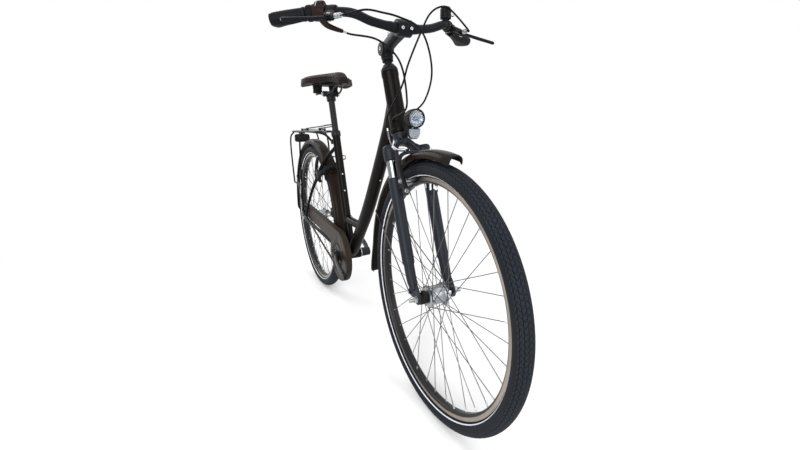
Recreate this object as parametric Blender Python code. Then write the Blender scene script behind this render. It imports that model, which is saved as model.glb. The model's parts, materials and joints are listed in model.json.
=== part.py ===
"""City bike with a wave-shaped step-through frame, at full size in metres.

+X is forward, +Y is the rider's left, +Z is up. The origin is on the ground, below the middle of the bike.
Each named mesh object is one real piece. Each empty stands on the axis of the piece that moves about it.
"""

import math

import bmesh
import bpy
from mathutils import Matrix, Vector

# Overall sizes
WHEELBASE = 1.146
WHEEL_RADIUS = 0.354
BAR_HALF_WIDTH = 0.3135

# Fits
GAP = 0.0003
RUNNING_GAP = 0.0005
MERGE_DISTANCE = 0.000002

# Wheels
TYRE_WIDTH = 0.047
TYRE_HEIGHT = 0.038
RIM_WIDTH = 0.025
RIM_WALL = 0.0018
RIM_WELL = 0.0077
RIM_DEPTH = 0.0179
RIM_FLOOR_WIDTH = 0.0152
WHEEL_SEGMENTS = 32
SPOKES = 36
SPOKE_RADIUS = 0.00125
SPOKE_CROSSING = math.radians(60)
SPOKE_STAGGER = 0.0016
AXLE_RADIUS = 0.005
FRONT_HUB_HALF = 0.0262
FRONT_FLANGE_Y = 0.0220
FRONT_FLANGE_RADIUS = 0.0320
FRONT_SHELL_RADIUS = 0.0260
REAR_HUB_HALF = 0.0330
REAR_FLANGE_Y = 0.0290
REAR_FLANGE_RADIUS = 0.0400
REAR_SHELL_RADIUS = 0.0330
FLANGE_THICKNESS = 0.0032

# Mudguards
FENDER_RADIUS = 0.385
FENDER_HALF_WIDTH = 0.027
FENDER_DEPTH = 0.021
FENDER_WALL = 0.0015
FRONT_FENDER_RADIUS = 0.382
FENDER_BOLT_RADIUS = 0.0050
WIRE_RADIUS = 0.0017

# Front end, measured along the steering axis and ahead of it, from the front axle
HEAD_ANGLE = math.radians(70.5)
RAKE = 0.042
HEAD_BOTTOM = 0.459
HEAD_LENGTH = 0.178
HEAD_RADIUS_LOW = 0.0265
HEAD_RADIUS_HIGH = 0.0235
STEERER_RADIUS = 0.0143
QUILL_RADIUS = 0.0111
LEG_AHEAD = -0.018
LEG_Y = 0.0535
LEG_RADIUS = 0.0165
LEG_RADIUS_LOW = 0.0140
STANCHION_RADIUS = 0.0140
LOWERS_TOP = 0.326
CROWN_BOTTOM = 0.373
CROWN_TOP = 0.416
FORK_TRAVEL = 0.030
FRONT_DROPOUT_Y = 0.050
DROPOUT_THICKNESS = 0.006
BAR_RADIUS = 0.0111
BAR_CENTRE_RADIUS = 0.0127

# Frame, from the rear axle
BRACKET_AHEAD = 0.483
BRACKET_DROP = 0.066
BRACKET_SHELL_RADIUS = 0.0200
BRACKET_SHELL_HALF = 0.0340
BRACKET_BORE = 0.0172
SEAT_ANGLE = math.radians(75)
SEAT_TUBE_LENGTH = 0.507
SEAT_TUBE_RADIUS = 0.0143
SEATPOST_RADIUS = 0.0127
SEATPOST_LENGTH = 0.350
SEATPOST_OUT = 0.150
SEATPOST_DOWN = 0.025
REAR_DROPOUT_Y = 0.065
STAY_RADIUS = 0.0075
SEAT_BRIDGE_RADIUS = 0.0050
CABLE_RADIUS = 0.0025

# Saddle and carrier
RAIL_RADIUS = 0.0035
RAIL_HEIGHT = -0.0440
RACK_HEIGHT = 0.4200
RACK_HALF_WIDTH = 0.0550
RACK_TUBE_RADIUS = 0.0048

# Drive
CHAIN_PITCH = 0.0127
CHAINRING_TEETH = 44
SPROCKET_TEETH = 18
CHAIN_LINE = 0.045
TOOTH_THICKNESS = 0.0026
PLATE_INNER = 0.00175
PLATE_THICKNESS = 0.0010
PLATE_HALF_HEIGHT = 0.0043
PLATE_WAIST = 0.0027
CRANK_LENGTH = 0.170
CRANK_TILT = math.radians(-10)
SPINDLE_RADIUS = 0.0085
GUARD_RADIUS = 0.103
GUARD_WALL = 0.0018
GUARD_OUTER_Y = 0.0585
GUARD_INNER_Y = 0.0355

# Brakes
PAD_GAP = 0.0033
BOSS_BELOW_TRACK = 0.028
BOSS_Y = 0.044
BOSS_PIN_RADIUS = 0.0040
NOODLE_HEIGHT = 0.3880
BRAKE_ANGLE = math.radians(52.5)

# Lock
LOCK_ANGLE = math.radians(42.5)
LOCK_RING_RADIUS = 0.052
LOCK_CENTRE_RADIUS = 0.340
LOCK_HALF_THICKNESS = 0.0100
SHACKLE_RADIUS = 0.0040
SHACKLE_TAIL = -20
SHACKLE_SPAN = 140

Y = Vector((0, 1, 0))
Z = Vector((0, 0, 1))
AXLE_HEIGHT = WHEEL_RADIUS
FRONT_AXLE = Vector(((WHEELBASE + FENDER_RADIUS - WHEEL_RADIUS) / 2, 0, AXLE_HEIGHT))
REAR_AXLE = Vector((FRONT_AXLE.x - WHEELBASE, 0, AXLE_HEIGHT))
BRACKET = REAR_AXLE + Vector((BRACKET_AHEAD, 0, -BRACKET_DROP))
STEER_UP = Vector((-math.cos(HEAD_ANGLE), 0, math.sin(HEAD_ANGLE)))
STEER_AHEAD = Vector((math.sin(HEAD_ANGLE), 0, math.cos(HEAD_ANGLE)))
SEAT_UP = Vector((-math.cos(SEAT_ANGLE), 0, math.sin(SEAT_ANGLE)))
SEAT_AHEAD = Vector((math.sin(SEAT_ANGLE), 0, math.cos(SEAT_ANGLE)))
RIM_RADIUS = WHEEL_RADIUS - TYRE_HEIGHT - GAP * 2
TRACK_RADIUS = RIM_RADIUS - 0.0050
BOSS_RADIUS = TRACK_RADIUS - BOSS_BELOW_TRACK


def front(ahead, side, up):
    """A point measured from the front axle along the bike's own axes."""
    return FRONT_AXLE + Vector((ahead, side, up))


def rear(ahead, side, up):
    """A point measured from the rear axle along the bike's own axes."""
    return REAR_AXLE + Vector((ahead, side, up))


def fork(along, ahead, side=0.0):
    """A point measured from the front axle along the steering axis and square to it."""
    return FRONT_AXLE + STEER_UP * along + STEER_AHEAD * ahead + Y * side


def on_seat_tube(distance, ahead=0.0, side=0.0):
    """A point measured up the seat tube from the bottom bracket."""
    return BRACKET + SEAT_UP * distance + SEAT_AHEAD * ahead + Y * side


def polar(centre, radius, angle, side=0.0):
    """A point on a circle round a crosswise axis, with the angle measured upward from straight ahead."""
    return centre + Vector((radius * math.cos(angle), side, radius * math.sin(angle)))


def make(name, points, faces):
    """A mesh object from points and faces, with its normals facing out."""
    mesh = bpy.data.meshes.new(name)
    mesh.from_pydata([tuple(point) for point in points], [], faces)
    work = bmesh.new()
    work.from_mesh(mesh)
    bmesh.ops.recalc_face_normals(work, faces=work.faces)
    work.to_mesh(mesh)
    work.free()
    made = bpy.data.objects.new(name, mesh)
    bpy.context.scene.collection.objects.link(made)
    return made


def loft(name, rings, closed=False):
    """A skin over rings that hold the same number of points, closed on itself or capped at both ends."""
    count = len(rings[0])
    points = [point for ring in rings for point in ring]
    faces = []
    for i in range(len(rings) if closed else len(rings) - 1):
        here, there = i * count, (i + 1) % len(rings) * count
        for j in range(count):
            k = (j + 1) % count
            faces.append((here + j, here + k, there + k, there + j))
    if not closed:
        faces.append(tuple(range(count)))
        faces.append(tuple(range(len(points) - count, len(points))))
    return make(name, points, faces)


def smooth_path(points, steps):
    """Points on a Catmull-Rom curve through the given ones, with so many steps from each to the next."""
    points = [Vector(point) for point in points]
    ends = [2 * points[0] - points[1]] + points + [2 * points[-1] - points[-2]]
    path = []
    for i in range(1, len(ends) - 2):
        a, b, c, d = ends[i - 1 : i + 3]
        for j in range(steps):
            t = j / steps
            square, cube = 2 * a - 5 * b + 4 * c - d, 3 * b - a - 3 * c + d
            path.append(0.5 * (2 * b + (c - a) * t + square * t**2 + cube * t**3))
    return path + [points[-1]]


def frames_along(path, closed=False):
    """A pair of axes square to the path at each point, carried along it without twist."""
    count = len(path)
    tangents = []
    for i in range(count):
        before = path[i - 1] if closed or i > 0 else path[0]
        after = path[(i + 1) % count] if closed or i < count - 1 else path[-1]
        tangents.append((after - before).normalized())
    across = Y if abs(tangents[0].dot(Y)) < 0.9 else Z
    first = (across - tangents[0] * across.dot(tangents[0])).normalized()
    found = []
    for tangent in tangents:
        first = (first - tangent * first.dot(tangent)).normalized()
        found.append((first, tangent.cross(first)))
    return found


def tube(name, path, radius, sides=8, closed=False):
    """A round rod along a path. The radius is one number, or one for each point."""
    path = [Vector(point) for point in path]
    radii = radius if isinstance(radius, (list, tuple)) else [radius] * len(path)
    rings = []
    for point, size, (first, second) in zip(path, radii, frames_along(path, closed)):
        turns = [2 * math.pi * (k + 0.5) / sides for k in range(sides)]
        rings.append([point + (first * math.cos(t) + second * math.sin(t)) * size for t in turns])
    return loft(name, rings, closed)


def oval_tube(name, path, half_widths, half_heights, sides=10, power=1.0):
    """A tube in the middle plane with an oval section, given by its half widths and half heights."""
    path = [Vector(point) for point in path]
    rings = []
    for i, point in enumerate(path):
        tangent = (path[min(i + 1, len(path) - 1)] - path[max(i - 1, 0)]).normalized()
        upward = tangent.cross(Y).normalized()
        ring = []
        for k in range(sides):
            turn = 2 * math.pi * (k + 0.5) / sides
            c, s = math.cos(turn), math.sin(turn)
            c, s = math.copysign(abs(c) ** power, c), math.copysign(abs(s) ** power, s)
            ring.append(point + Y * (half_widths[i] * c) + upward * (half_heights[i] * s))
        rings.append(ring)
    return loft(name, rings)


def revolve(name, profile, centre, axis=Y, segments=24, phase=0.0, ring=True):
    """Turns (along, radius) points about an axis. Without ring, the profile starts and ends on it."""
    axis = Vector(axis).normalized()
    helper = Z if abs(axis.dot(Z)) < 0.9 else Vector((1, 0, 0))
    first = (helper - axis * helper.dot(axis)).normalized()
    second = axis.cross(first)
    points, rows = [], []
    for along, radius in profile:
        row = []
        for k in range(segments if radius > 0 else 1):
            turn = phase + 2 * math.pi * k / segments
            row.append(len(points))
            points.append(centre + axis * along + (first * math.cos(turn) + second * math.sin(turn)) * radius)
        rows.append(row)
    faces = []
    for i in range(len(rows) if ring else len(rows) - 1):
        here, there = rows[i], rows[(i + 1) % len(rows)]
        for k in range(segments):
            n = (k + 1) % segments
            if len(here) == 1:
                faces.append((here[0], there[n], there[k]))
            elif len(there) == 1:
                faces.append((here[k], here[n], there[0]))
            else:
                faces.append((here[k], here[n], there[n], there[k]))
    return make(name, points, faces)


def cylinder(name, start, end, radius, sides=12, end_radius=None):
    """A plain or tapered round bar between two points."""
    start, end = Vector(start), Vector(end)
    length = (end - start).length
    profile = [(0, 0), (0, radius), (length, end_radius or radius), (length, 0)]
    return revolve(name, profile, start, end - start, sides, math.pi / sides, ring=False)


def hole(name, start, end, shaft, gap, sides):
    """A cutter whose flats clear a round shaft by the gap at every turn."""
    return cylinder(name, start, end, (shaft + gap) / math.cos(math.pi / sides), sides)


def sleeve(name, start, end, inner, outer, sides=16):
    """A pipe between two points."""
    start, end = Vector(start), Vector(end)
    length = (end - start).length
    profile = [(0, inner), (0, outer), (length, outer), (length, inner)]
    return revolve(name, profile, start, end - start, sides, math.pi / sides)


def prism(name, outline, origin, across, upward, depth):
    """A flat outline of (across, upward) points, extruded by the depth vector from the origin's plane."""
    across, upward, depth = Vector(across), Vector(upward), Vector(depth)
    base = [origin + across * u + upward * v for u, v in outline]
    return loft(name, [base, [point + depth for point in base]])


def block(name, centre, size, ahead=Vector((1, 0, 0)), upward=Z):
    """A box with its own ahead and upward directions."""
    side = upward.cross(ahead)
    half = [value / 2 for value in size]
    outline = [(-half[0], -half[2]), (half[0], -half[2]), (half[0], half[2]), (-half[0], half[2])]
    return prism(name, outline, centre - side * half[1], ahead, upward, side * size[1])


def combine(name, base, joined=(), cut=()):
    """One mesh from a base, the pieces joined to it and the cutters taken from it."""
    base.name = name
    helpers = []
    for operation, others in (("UNION", joined), ("DIFFERENCE", cut)):
        for other in others:
            modifier = base.modifiers.new(operation, "BOOLEAN")
            modifier.operation = operation
            modifier.object = other
            helpers.append(other)
    bpy.context.view_layer.update()
    graph = bpy.context.evaluated_depsgraph_get()
    mesh = bpy.data.meshes.new_from_object(base.evaluated_get(graph))
    base.modifiers.clear()
    work = bmesh.new()
    work.from_mesh(mesh)
    bmesh.ops.remove_doubles(work, verts=work.verts, dist=MERGE_DISTANCE)
    bmesh.ops.dissolve_degenerate(work, edges=work.edges, dist=MERGE_DISTANCE)
    work.to_mesh(mesh)
    work.free()
    old = base.data
    base.data = mesh
    bpy.data.meshes.remove(old)
    for helper in helpers:
        bpy.data.objects.remove(helper)
    return base


def join_apart(name, pieces):
    """Several pieces that don't touch, held in one mesh, to be joined to a base in one step."""
    work = bmesh.new()
    for piece in pieces:
        work.from_mesh(piece.data)
        bpy.data.objects.remove(piece)
    mesh = bpy.data.meshes.new(name)
    work.to_mesh(mesh)
    work.free()
    made = bpy.data.objects.new(name, mesh)
    bpy.context.scene.collection.objects.link(made)
    return made


def round_outline(radius, segments, start=0.0):
    turns = [start + 2 * math.pi * k / segments for k in range(segments)]
    return [(radius * math.cos(t), radius * math.sin(t)) for t in turns]


FINISHES = {
    "frame_black": ((0.022, 0.022, 0.026), 0.42, 0.2),
    "frame_brown": ((0.060, 0.042, 0.034), 0.55, 0.1),
    "guard_brown": ((0.115, 0.082, 0.066), 0.62, 0.0),
    "rubber": ((0.020, 0.020, 0.021), 0.85, 0.0),
    "silver": ((0.62, 0.62, 0.63), 0.32, 1.0),
    "chrome": ((0.75, 0.75, 0.77), 0.12, 1.0),
    "rim": ((0.10, 0.095, 0.09), 0.45, 0.6),
    "steel": ((0.35, 0.34, 0.33), 0.40, 1.0),
    "plastic": ((0.035, 0.033, 0.034), 0.60, 0.0),
    "lens": ((0.85, 0.86, 0.88), 0.10, 0.0),
    "red": ((0.50, 0.03, 0.03), 0.25, 0.0),
    "leather": ((0.045, 0.036, 0.033), 0.60, 0.0),
}


def finish(made, kind, axis_point=None, carrier=None):
    """Gives a piece its material and smooth shading, and sets its origin on its joint's axis."""
    colour, roughness, metallic = FINISHES[kind]
    material = bpy.data.materials.new(made.name)
    material.use_nodes = True
    shader = material.node_tree.nodes["Principled BSDF"]
    shader.inputs["Base Color"].default_value = (*colour, 1)
    shader.inputs["Roughness"].default_value = roughness
    shader.inputs["Metallic"].default_value = metallic
    material.diffuse_color = (*colour, 1)
    made.data.materials.clear()
    made.data.materials.append(material)
    made.data.shade_smooth()
    made.data.set_sharp_from_angle(angle=math.radians(40))
    if axis_point is not None:
        made.data.transform(Matrix.Translation(-axis_point))
        made.location = axis_point
    if carrier is not None:
        made.parent = carrier
        made.matrix_parent_inverse = carrier.matrix_world.inverted()
    bpy.context.view_layer.update()
    return made


def axis_empty(name, place, carrier=None):
    """An empty on the axis of a moving piece."""
    empty = bpy.data.objects.new(name, None)
    empty.empty_display_size = 0.05
    bpy.context.scene.collection.objects.link(empty)
    empty.location = place
    bpy.context.view_layer.update()
    if carrier is not None:
        empty.parent = carrier
        empty.matrix_parent_inverse = carrier.matrix_world.inverted()
        bpy.context.view_layer.update()
    return empty


def build_wheel(prefix, axle, hub_half, flange_y, flange_radius, shell_radius, phase, carrier):
    """Tyre, rim and hub with laced spokes."""
    half = TYRE_WIDTH / 2
    bed = RIM_WIDTH / 2 - RIM_WALL
    floor = RIM_RADIUS - RIM_WELL
    shoulder = RIM_RADIUS + GAP * 1.5
    right = [
        (bed - GAP, floor + GAP),
        (bed - GAP, shoulder),
        (half, shoulder + 0.0130),
        (half * 0.70, WHEEL_RADIUS - 0.0055),
    ]
    tyre_profile = right + [(0, WHEEL_RADIUS)] + [(-side, radius) for side, radius in reversed(right)]
    tyre = revolve(prefix + "_tyre", tyre_profile, axle, segments=WHEEL_SEGMENTS)
    finish(tyre, "rubber", axle, carrier)

    edge = RIM_WIDTH / 2
    inner_radius = RIM_RADIUS - RIM_DEPTH
    right = [
        (RIM_FLOOR_WIDTH / 2, inner_radius),
        (edge, RIM_RADIUS - 0.0125),
        (edge, RIM_RADIUS),
        (bed, RIM_RADIUS),
        (bed, floor),
    ]
    rim_profile = right + [(-side, radius) for side, radius in reversed(right)]
    rim = revolve(prefix + "_rim", rim_profile, axle, segments=WHEEL_SEGMENTS)
    finish(rim, "rim", axle, carrier)

    bore = AXLE_RADIUS + GAP
    thick = FLANGE_THICKNESS / 2
    right = [
        (hub_half, bore),
        (hub_half, shell_radius * 0.6),
        (flange_y + thick, shell_radius * 0.75),
        (flange_y + thick, flange_radius),
        (flange_y - thick, flange_radius),
        (flange_y - thick, shell_radius),
    ]
    shell_profile = right + [(-side, radius) for side, radius in reversed(right)]
    shell = revolve("shell", shell_profile, axle, segments=16)
    spokes = []
    end_radius = inner_radius * math.cos(math.pi / WHEEL_SEGMENTS) - RUNNING_GAP
    for hole in range(SPOKES):
        side = 1 if hole % 2 == 0 else -1
        leading = 1 if hole // 2 % 2 == 0 else -1
        rim_angle = phase + 2 * math.pi * hole / SPOKES
        hub_angle = rim_angle - leading * SPOKE_CROSSING
        layer = side * leading * SPOKE_STAGGER
        start = polar(axle, flange_radius - 0.0035, hub_angle, side * flange_y + layer)
        end = polar(axle, end_radius, rim_angle, side * 0.0020 + layer)
        spokes.append(cylinder("spoke", start, end, SPOKE_RADIUS, 3))
    hub = combine(prefix + "_hub", shell, [join_apart("spokes", spokes)])
    finish(hub, "silver", axle, carrier)


def hexagon_nut(name, centre, side_from, side_to, radius):
    outline = round_outline(radius, 6)
    return prism(name, outline, centre + Y * side_from, (1, 0, 0), Z, Y * (side_to - side_from))


def build_front_axle(carrier):
    out = FRONT_DROPOUT_Y + DROPOUT_THICKNESS + GAP
    rod = cylinder("rod", FRONT_AXLE - Y * 0.0785, FRONT_AXLE + Y * 0.0785, AXLE_RADIUS, 8)
    seat = FRONT_HUB_HALF + RUNNING_GAP
    inside = FRONT_DROPOUT_Y - GAP
    cap = cylinder("cap", FRONT_AXLE - Y * inside, FRONT_AXLE - Y * seat, 0.0160, 14)
    plug = block("plug", FRONT_AXLE + Vector((0.008, -0.039, 0.012)), (0.022, 0.012, 0.020))
    cone = cylinder("cone", FRONT_AXLE + Y * seat, FRONT_AXLE + Y * inside, 0.0100, 12)
    nuts = [hexagon_nut("nut", FRONT_AXLE, sign * out, sign * (out + 0.0095), 0.0090) for sign in (-1, 1)]
    axle = combine("front_axle", rod, [cap, plug, cone, *nuts])
    finish(axle, "steel", FRONT_AXLE, carrier)


def build_fork_lowers(carrier):
    """Two sprung lower legs with their arch, dropouts and brake bosses, as one casting."""
    legs = []
    cuts = []
    for sign in (-1, 1):
        stations = [
            (LOWERS_TOP, LEG_AHEAD, LEG_RADIUS + 0.0010),
            (LOWERS_TOP - 0.008, LEG_AHEAD, LEG_RADIUS + 0.0010),
            (LOWERS_TOP - 0.010, LEG_AHEAD, LEG_RADIUS),
            (0.095, LEG_AHEAD, LEG_RADIUS),
            (0.089, LEG_AHEAD, LEG_RADIUS_LOW),
            (0.046, LEG_AHEAD + 0.002, LEG_RADIUS_LOW - 0.0005),
            (0.024, LEG_AHEAD + 0.008, LEG_RADIUS_LOW - 0.0045),
        ]
        path = [fork(along, ahead, sign * LEG_Y) for along, ahead, _ in stations]
        legs.append(tube("leg", path, [radius for _, _, radius in stations], 12))
        face = FRONT_DROPOUT_Y
        outline = [(0.015 * math.cos(t), 0.015 * math.sin(t)) for t in [math.pi * k / 4 for k in range(4, 9)]]
        outline += [(0.008, 0.036), (-0.022, 0.046), (-0.040, 0.027), (-0.040, 0.014)]
        thick = Y * sign * DROPOUT_THICKNESS
        plate = prism("plate", outline, fork(0, 0, sign * face), STEER_AHEAD, STEER_UP, thick)
        legs.append(plate)
        boss = fork(BOSS_RADIUS, 0, sign * BOSS_Y)
        legs.append(cylinder("boss", boss - STEER_AHEAD * 0.012, boss + STEER_AHEAD * 0.0127, 0.0075, 8))
        legs.append(cylinder("pin", boss, boss + STEER_AHEAD * 0.0262, BOSS_PIN_RADIUS, 8))
        lug = fork(LOWERS_TOP - 0.022, -0.002, sign * (LEG_Y - 0.005))
        legs.append(block("lug", lug, (0.018, 0.010, 0.030), STEER_AHEAD, STEER_UP))
        bottom = LOWERS_TOP - 0.145
        bore_radius = STANCHION_RADIUS + RUNNING_GAP
        low, high = fork(bottom, LEG_AHEAD, sign * LEG_Y), fork(0.35, LEG_AHEAD, sign * LEG_Y)
        cuts.append(cylinder("bore", low, high, bore_radius, 12))
    clear = FRONT_FENDER_RADIUS + 0.0025
    inner = [(0.041, LOWERS_TOP - 0.030), (0.041, clear - 0.034), (0.029, clear - 0.006)]
    outer = [(0.054, LOWERS_TOP - 0.030), (0.053, clear - 0.028), (0.035, clear + 0.004)]
    inner.append((0.0100, clear))
    outline = inner + [(-side, up) for side, up in reversed(inner)]
    outline += [(-side, up) for side, up in outer]
    outline += [(0, clear + 0.0095)] + [(side, up) for side, up in reversed(outer)]
    arch = prism("arch", outline, fork(0, 0.003), Y, STEER_UP, STEER_AHEAD * 0.0075)
    cuts.append(cylinder("hole", FRONT_AXLE - Y * 0.08, FRONT_AXLE + Y * 0.08, AXLE_RADIUS + GAP, 8))
    lowers = combine("fork_lowers", arch, legs, cuts)
    finish(lowers, "frame_black", FRONT_AXLE, carrier)


def build_fork_upper(carrier):
    """Steerer, crown and the two chromed stanchions."""
    top = HEAD_BOTTOM + HEAD_LENGTH + 0.0235
    axis = fork(0, -RAKE)
    crown_race = HEAD_BOTTOM - GAP
    bore = (QUILL_RADIUS + GAP) / math.cos(math.pi / 14)
    profile = [
        (CROWN_TOP + 0.010, 0),
        (CROWN_TOP + 0.010, 0.0185),
        (crown_race, HEAD_RADIUS_LOW - 0.004),
        (crown_race, STEERER_RADIUS),
        (top, STEERER_RADIUS),
        (top, bore),
        (top - 0.110, bore),
        (top - 0.110, 0),
    ]
    steerer = revolve("steerer", profile, axis, STEER_UP, 14, ring=False)
    stations = [
        (-LEG_Y, -0.019, 0.397, 0.0150, 0.0150),
        (-LEG_Y * 0.6, -0.028, 0.409, 0.0150, 0.0150),
        (-LEG_Y * 0.3, -0.038, 0.4340, 0.0180, 0.0120),
        (0, -RAKE, 0.4360, 0.0190, 0.0120),
    ]
    stations += [(-side, *rest) for side, *rest in reversed(stations[:-1])]
    rings = []
    for side, ahead, along, half_ahead, half_along in stations:
        turns = [math.pi * (k + 0.5) / 5 for k in range(10)]
        ring = [fork(along + half_along * math.sin(t), ahead + half_ahead * math.cos(t), side) for t in turns]
        rings.append(ring)
    parts = [loft("beam", rings)]
    for sign in (-1, 1):
        base = fork(CROWN_BOTTOM, LEG_AHEAD, sign * LEG_Y)
        profile = [(0, 0), (0, 0.0165), (0.004, 0.0185), (0.036, 0.0185), (0.043, 0.0140), (0.043, 0)]
        parts.append(revolve("cap", profile, base, STEER_UP, 12, ring=False))
        foot = fork(LOWERS_TOP - 0.110, LEG_AHEAD, sign * LEG_Y)
        parts.append(cylinder("stanchion", foot, base + STEER_UP * 0.02, STANCHION_RADIUS, 12))
    upper = combine("fork_upper", steerer, parts)
    finish(upper, "frame_black", axis, carrier)

    base = HEAD_BOTTOM + HEAD_LENGTH + GAP
    sleeve_radius = STEERER_RADIUS + RUNNING_GAP
    profile = [
        (base, sleeve_radius),
        (base, HEAD_RADIUS_HIGH + 0.0010),
        (base + 0.010, HEAD_RADIUS_HIGH + 0.0005),
        (base + 0.018, HEAD_RADIUS_HIGH - 0.0050),
        (base + 0.022, sleeve_radius + 0.0015),
        (base + 0.022, sleeve_radius),
    ]
    cover = revolve("headset_cover", profile, axis, STEER_UP, 16)
    finish(cover, "frame_black", axis, carrier)


BAR_CONTROL = [(-0.163, 0.000, 0.687), (-0.163, 0.030, 0.6875), (-0.1686, 0.086, 0.6965)]
BAR_CONTROL.append((-0.183, 0.140, 0.7140))
GRIP_START = 0.205
GRIP_BACK = 0.0570 / 0.1035
GRIP_FALL = 0.0150 / 0.1035
CLAMP_X = -0.163
CLAMP_Z = 0.687


def bar_half(sign):
    """The handlebar's centre line from the middle to one end, a bend and then a straight grip."""
    outboard = BAR_HALF_WIDTH - 0.0093
    straight = [BAR_HALF_WIDTH - 0.1100, BAR_HALF_WIDTH - 0.0565, outboard]
    points = list(BAR_CONTROL)
    for side in straight:
        back = -0.2530 - (side - straight[0]) * GRIP_BACK
        points.append((back, side, 0.7215 - (side - straight[0]) * GRIP_FALL))
    return [front(x, sign * side, z) for x, side, z in smooth_path(points, 2)]


def bar_path():
    left = bar_half(1)
    return [point for point in reversed(bar_half(-1))] + left[1:]


def bar_tube(name, extra=0.0, ends=0.0):
    """The handlebar, or a cutter a little larger than it."""
    path = bar_path()
    if ends:
        path[0] = path[0] + (path[0] - path[1]).normalized() * ends
        path[-1] = path[-1] + (path[-1] - path[-2]).normalized() * ends
    radii = [(BAR_CENTRE_RADIUS if abs(point.y) < 0.045 else BAR_RADIUS) + extra for point in path]
    return tube(name, path, radii, 8)


def bar_at(side):
    """The handlebar's centre and direction at a sideways place. The direction points away from the middle."""
    path = bar_half(1 if side > 0 else -1)
    for before, after in zip(path, path[1:]):
        if abs(after.y) >= abs(side):
            share = (abs(side) - abs(before.y)) / (abs(after.y) - abs(before.y))
            return before.lerp(after, share), (after - before).normalized()
    return path[-1], (path[-1] - path[-2]).normalized()


def build_stem_and_bar(carrier):
    axis = fork(0, -RAKE)
    quill_foot = HEAD_BOTTOM + HEAD_LENGTH - 0.075
    profile = [
        (quill_foot, 0),
        (quill_foot, QUILL_RADIUS),
        (0.6720, QUILL_RADIUS),
        (0.6720, 0.0158),
        (0.6800, 0.0158),
        (0.6810, 0.0175),
        (0.7080, 0.0170),
        (0.7080, 0),
    ]
    quill = revolve("quill", profile, axis, STEER_UP, 12, ring=False)
    pivot = front(-0.2760, 0, 0.6540)
    barrel = cylinder("barrel", pivot - Y * 0.0180, pivot + Y * 0.0180, 0.0190, 14)
    clamp_centre = front(CLAMP_X, 0, CLAMP_Z)
    clamp = cylinder("clamp", clamp_centre - Y * 0.0215, clamp_centre + Y * 0.0215, 0.0215, 14)
    stations = [(-0.2760, 0.6540, 0.0160, 0.0165), (-0.2350, 0.6680, 0.0150, 0.0150)]
    stations.append((-0.1780, 0.6840, 0.0165, 0.0160))
    rings = []
    for x, z, half_side, half_up in stations:
        turns = [math.pi * (k + 0.5) / 4 for k in range(8)]
        ring = []
        for t in turns:
            c = math.copysign(abs(math.cos(t)) ** 0.6, math.cos(t))
            s = math.copysign(abs(math.sin(t)) ** 0.6, math.sin(t))
            ring.append(front(x - 0.3 * half_up * s, half_side * c, z + half_up * s))
        rings.append(ring)
    arm = loft("arm", rings)
    bolts = []
    for sign in (-1, 1):
        foot = clamp_centre + Vector((0.014, sign * 0.0125, -0.004))
        bolts.append(cylinder("bolt", foot, foot + Vector((0.0125, 0, 0.0005)), 0.0042, 6))
        top = front(-0.235, sign * 0.0075, 0.672)
        bolts.append(cylinder("bolt", top, top + Vector((-0.006, 0, 0.0190)), 0.0038, 6))
    stem = combine("stem", quill, [barrel, clamp, arm, *bolts], [bar_tube("bore", GAP)])
    finish(stem, "frame_black", axis, carrier)
    finish(bar_tube("handlebar"), "frame_black", axis, carrier)


def ring_on_bar(name, places, radii, sides=12):
    """A sleeve-shaped body round the handlebar through the given sideways places, to be bored for the bar."""
    return tube(name, [bar_at(place)[0] for place in places], radii, sides)


def build_grip(name, start, sign, carrier):
    """A shaped grip that flares into a palm rest towards its end."""
    end = BAR_HALF_WIDTH - 0.0078
    rings = []
    for share in (0, 0.22, 0.45, 0.68, 0.90, 1.0):
        place, along = bar_at(sign * (start + (end - 0.0015 - start) * share))
        if share == 1.0:
            place = place + along * (end - abs(place.y)) / abs(along.y)
        back = Vector((-1, 0, -0.30))
        back = (back - along * back.dot(along)).normalized()
        upward = along.cross(back) if sign > 0 else back.cross(along)
        body = 0.0150 + 0.0012 * math.sin(math.pi * share)
        wing = 0.0035 + 0.0230 * share**1.8 * (0.62 if share == 1.0 else 1.0)
        ring = []
        for k in range(12):
            turn = 2 * math.pi * (k + 0.5) / 12
            reach = body + wing * max(0.0, math.cos(turn)) ** 2
            ring.append(place + back * (reach * math.cos(turn)) + upward * (body * 1.05 * math.sin(turn)))
        rings.append(ring)
    grip = loft("grip", rings)
    grip = combine(name, grip, cut=[bar_tube("bore", GAP, GAP)])
    finish(grip, "rubber", front(CLAMP_X, 0, CLAMP_Z), carrier)


LEVER_PIVOT = (-0.176, 0.194, 0.6960)
LEVER_TIP = (-0.176, 0.3085, 0.6790)
LEVER_NORMAL = (0.426, 0.155, 0.891)
LEVER_CLAMP_Y = 0.171
BARREL_END = (-0.132, 0.1780, 0.6925)


def mirrored(point, sign):
    return Vector((point[0], sign * point[1], point[2]))


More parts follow.
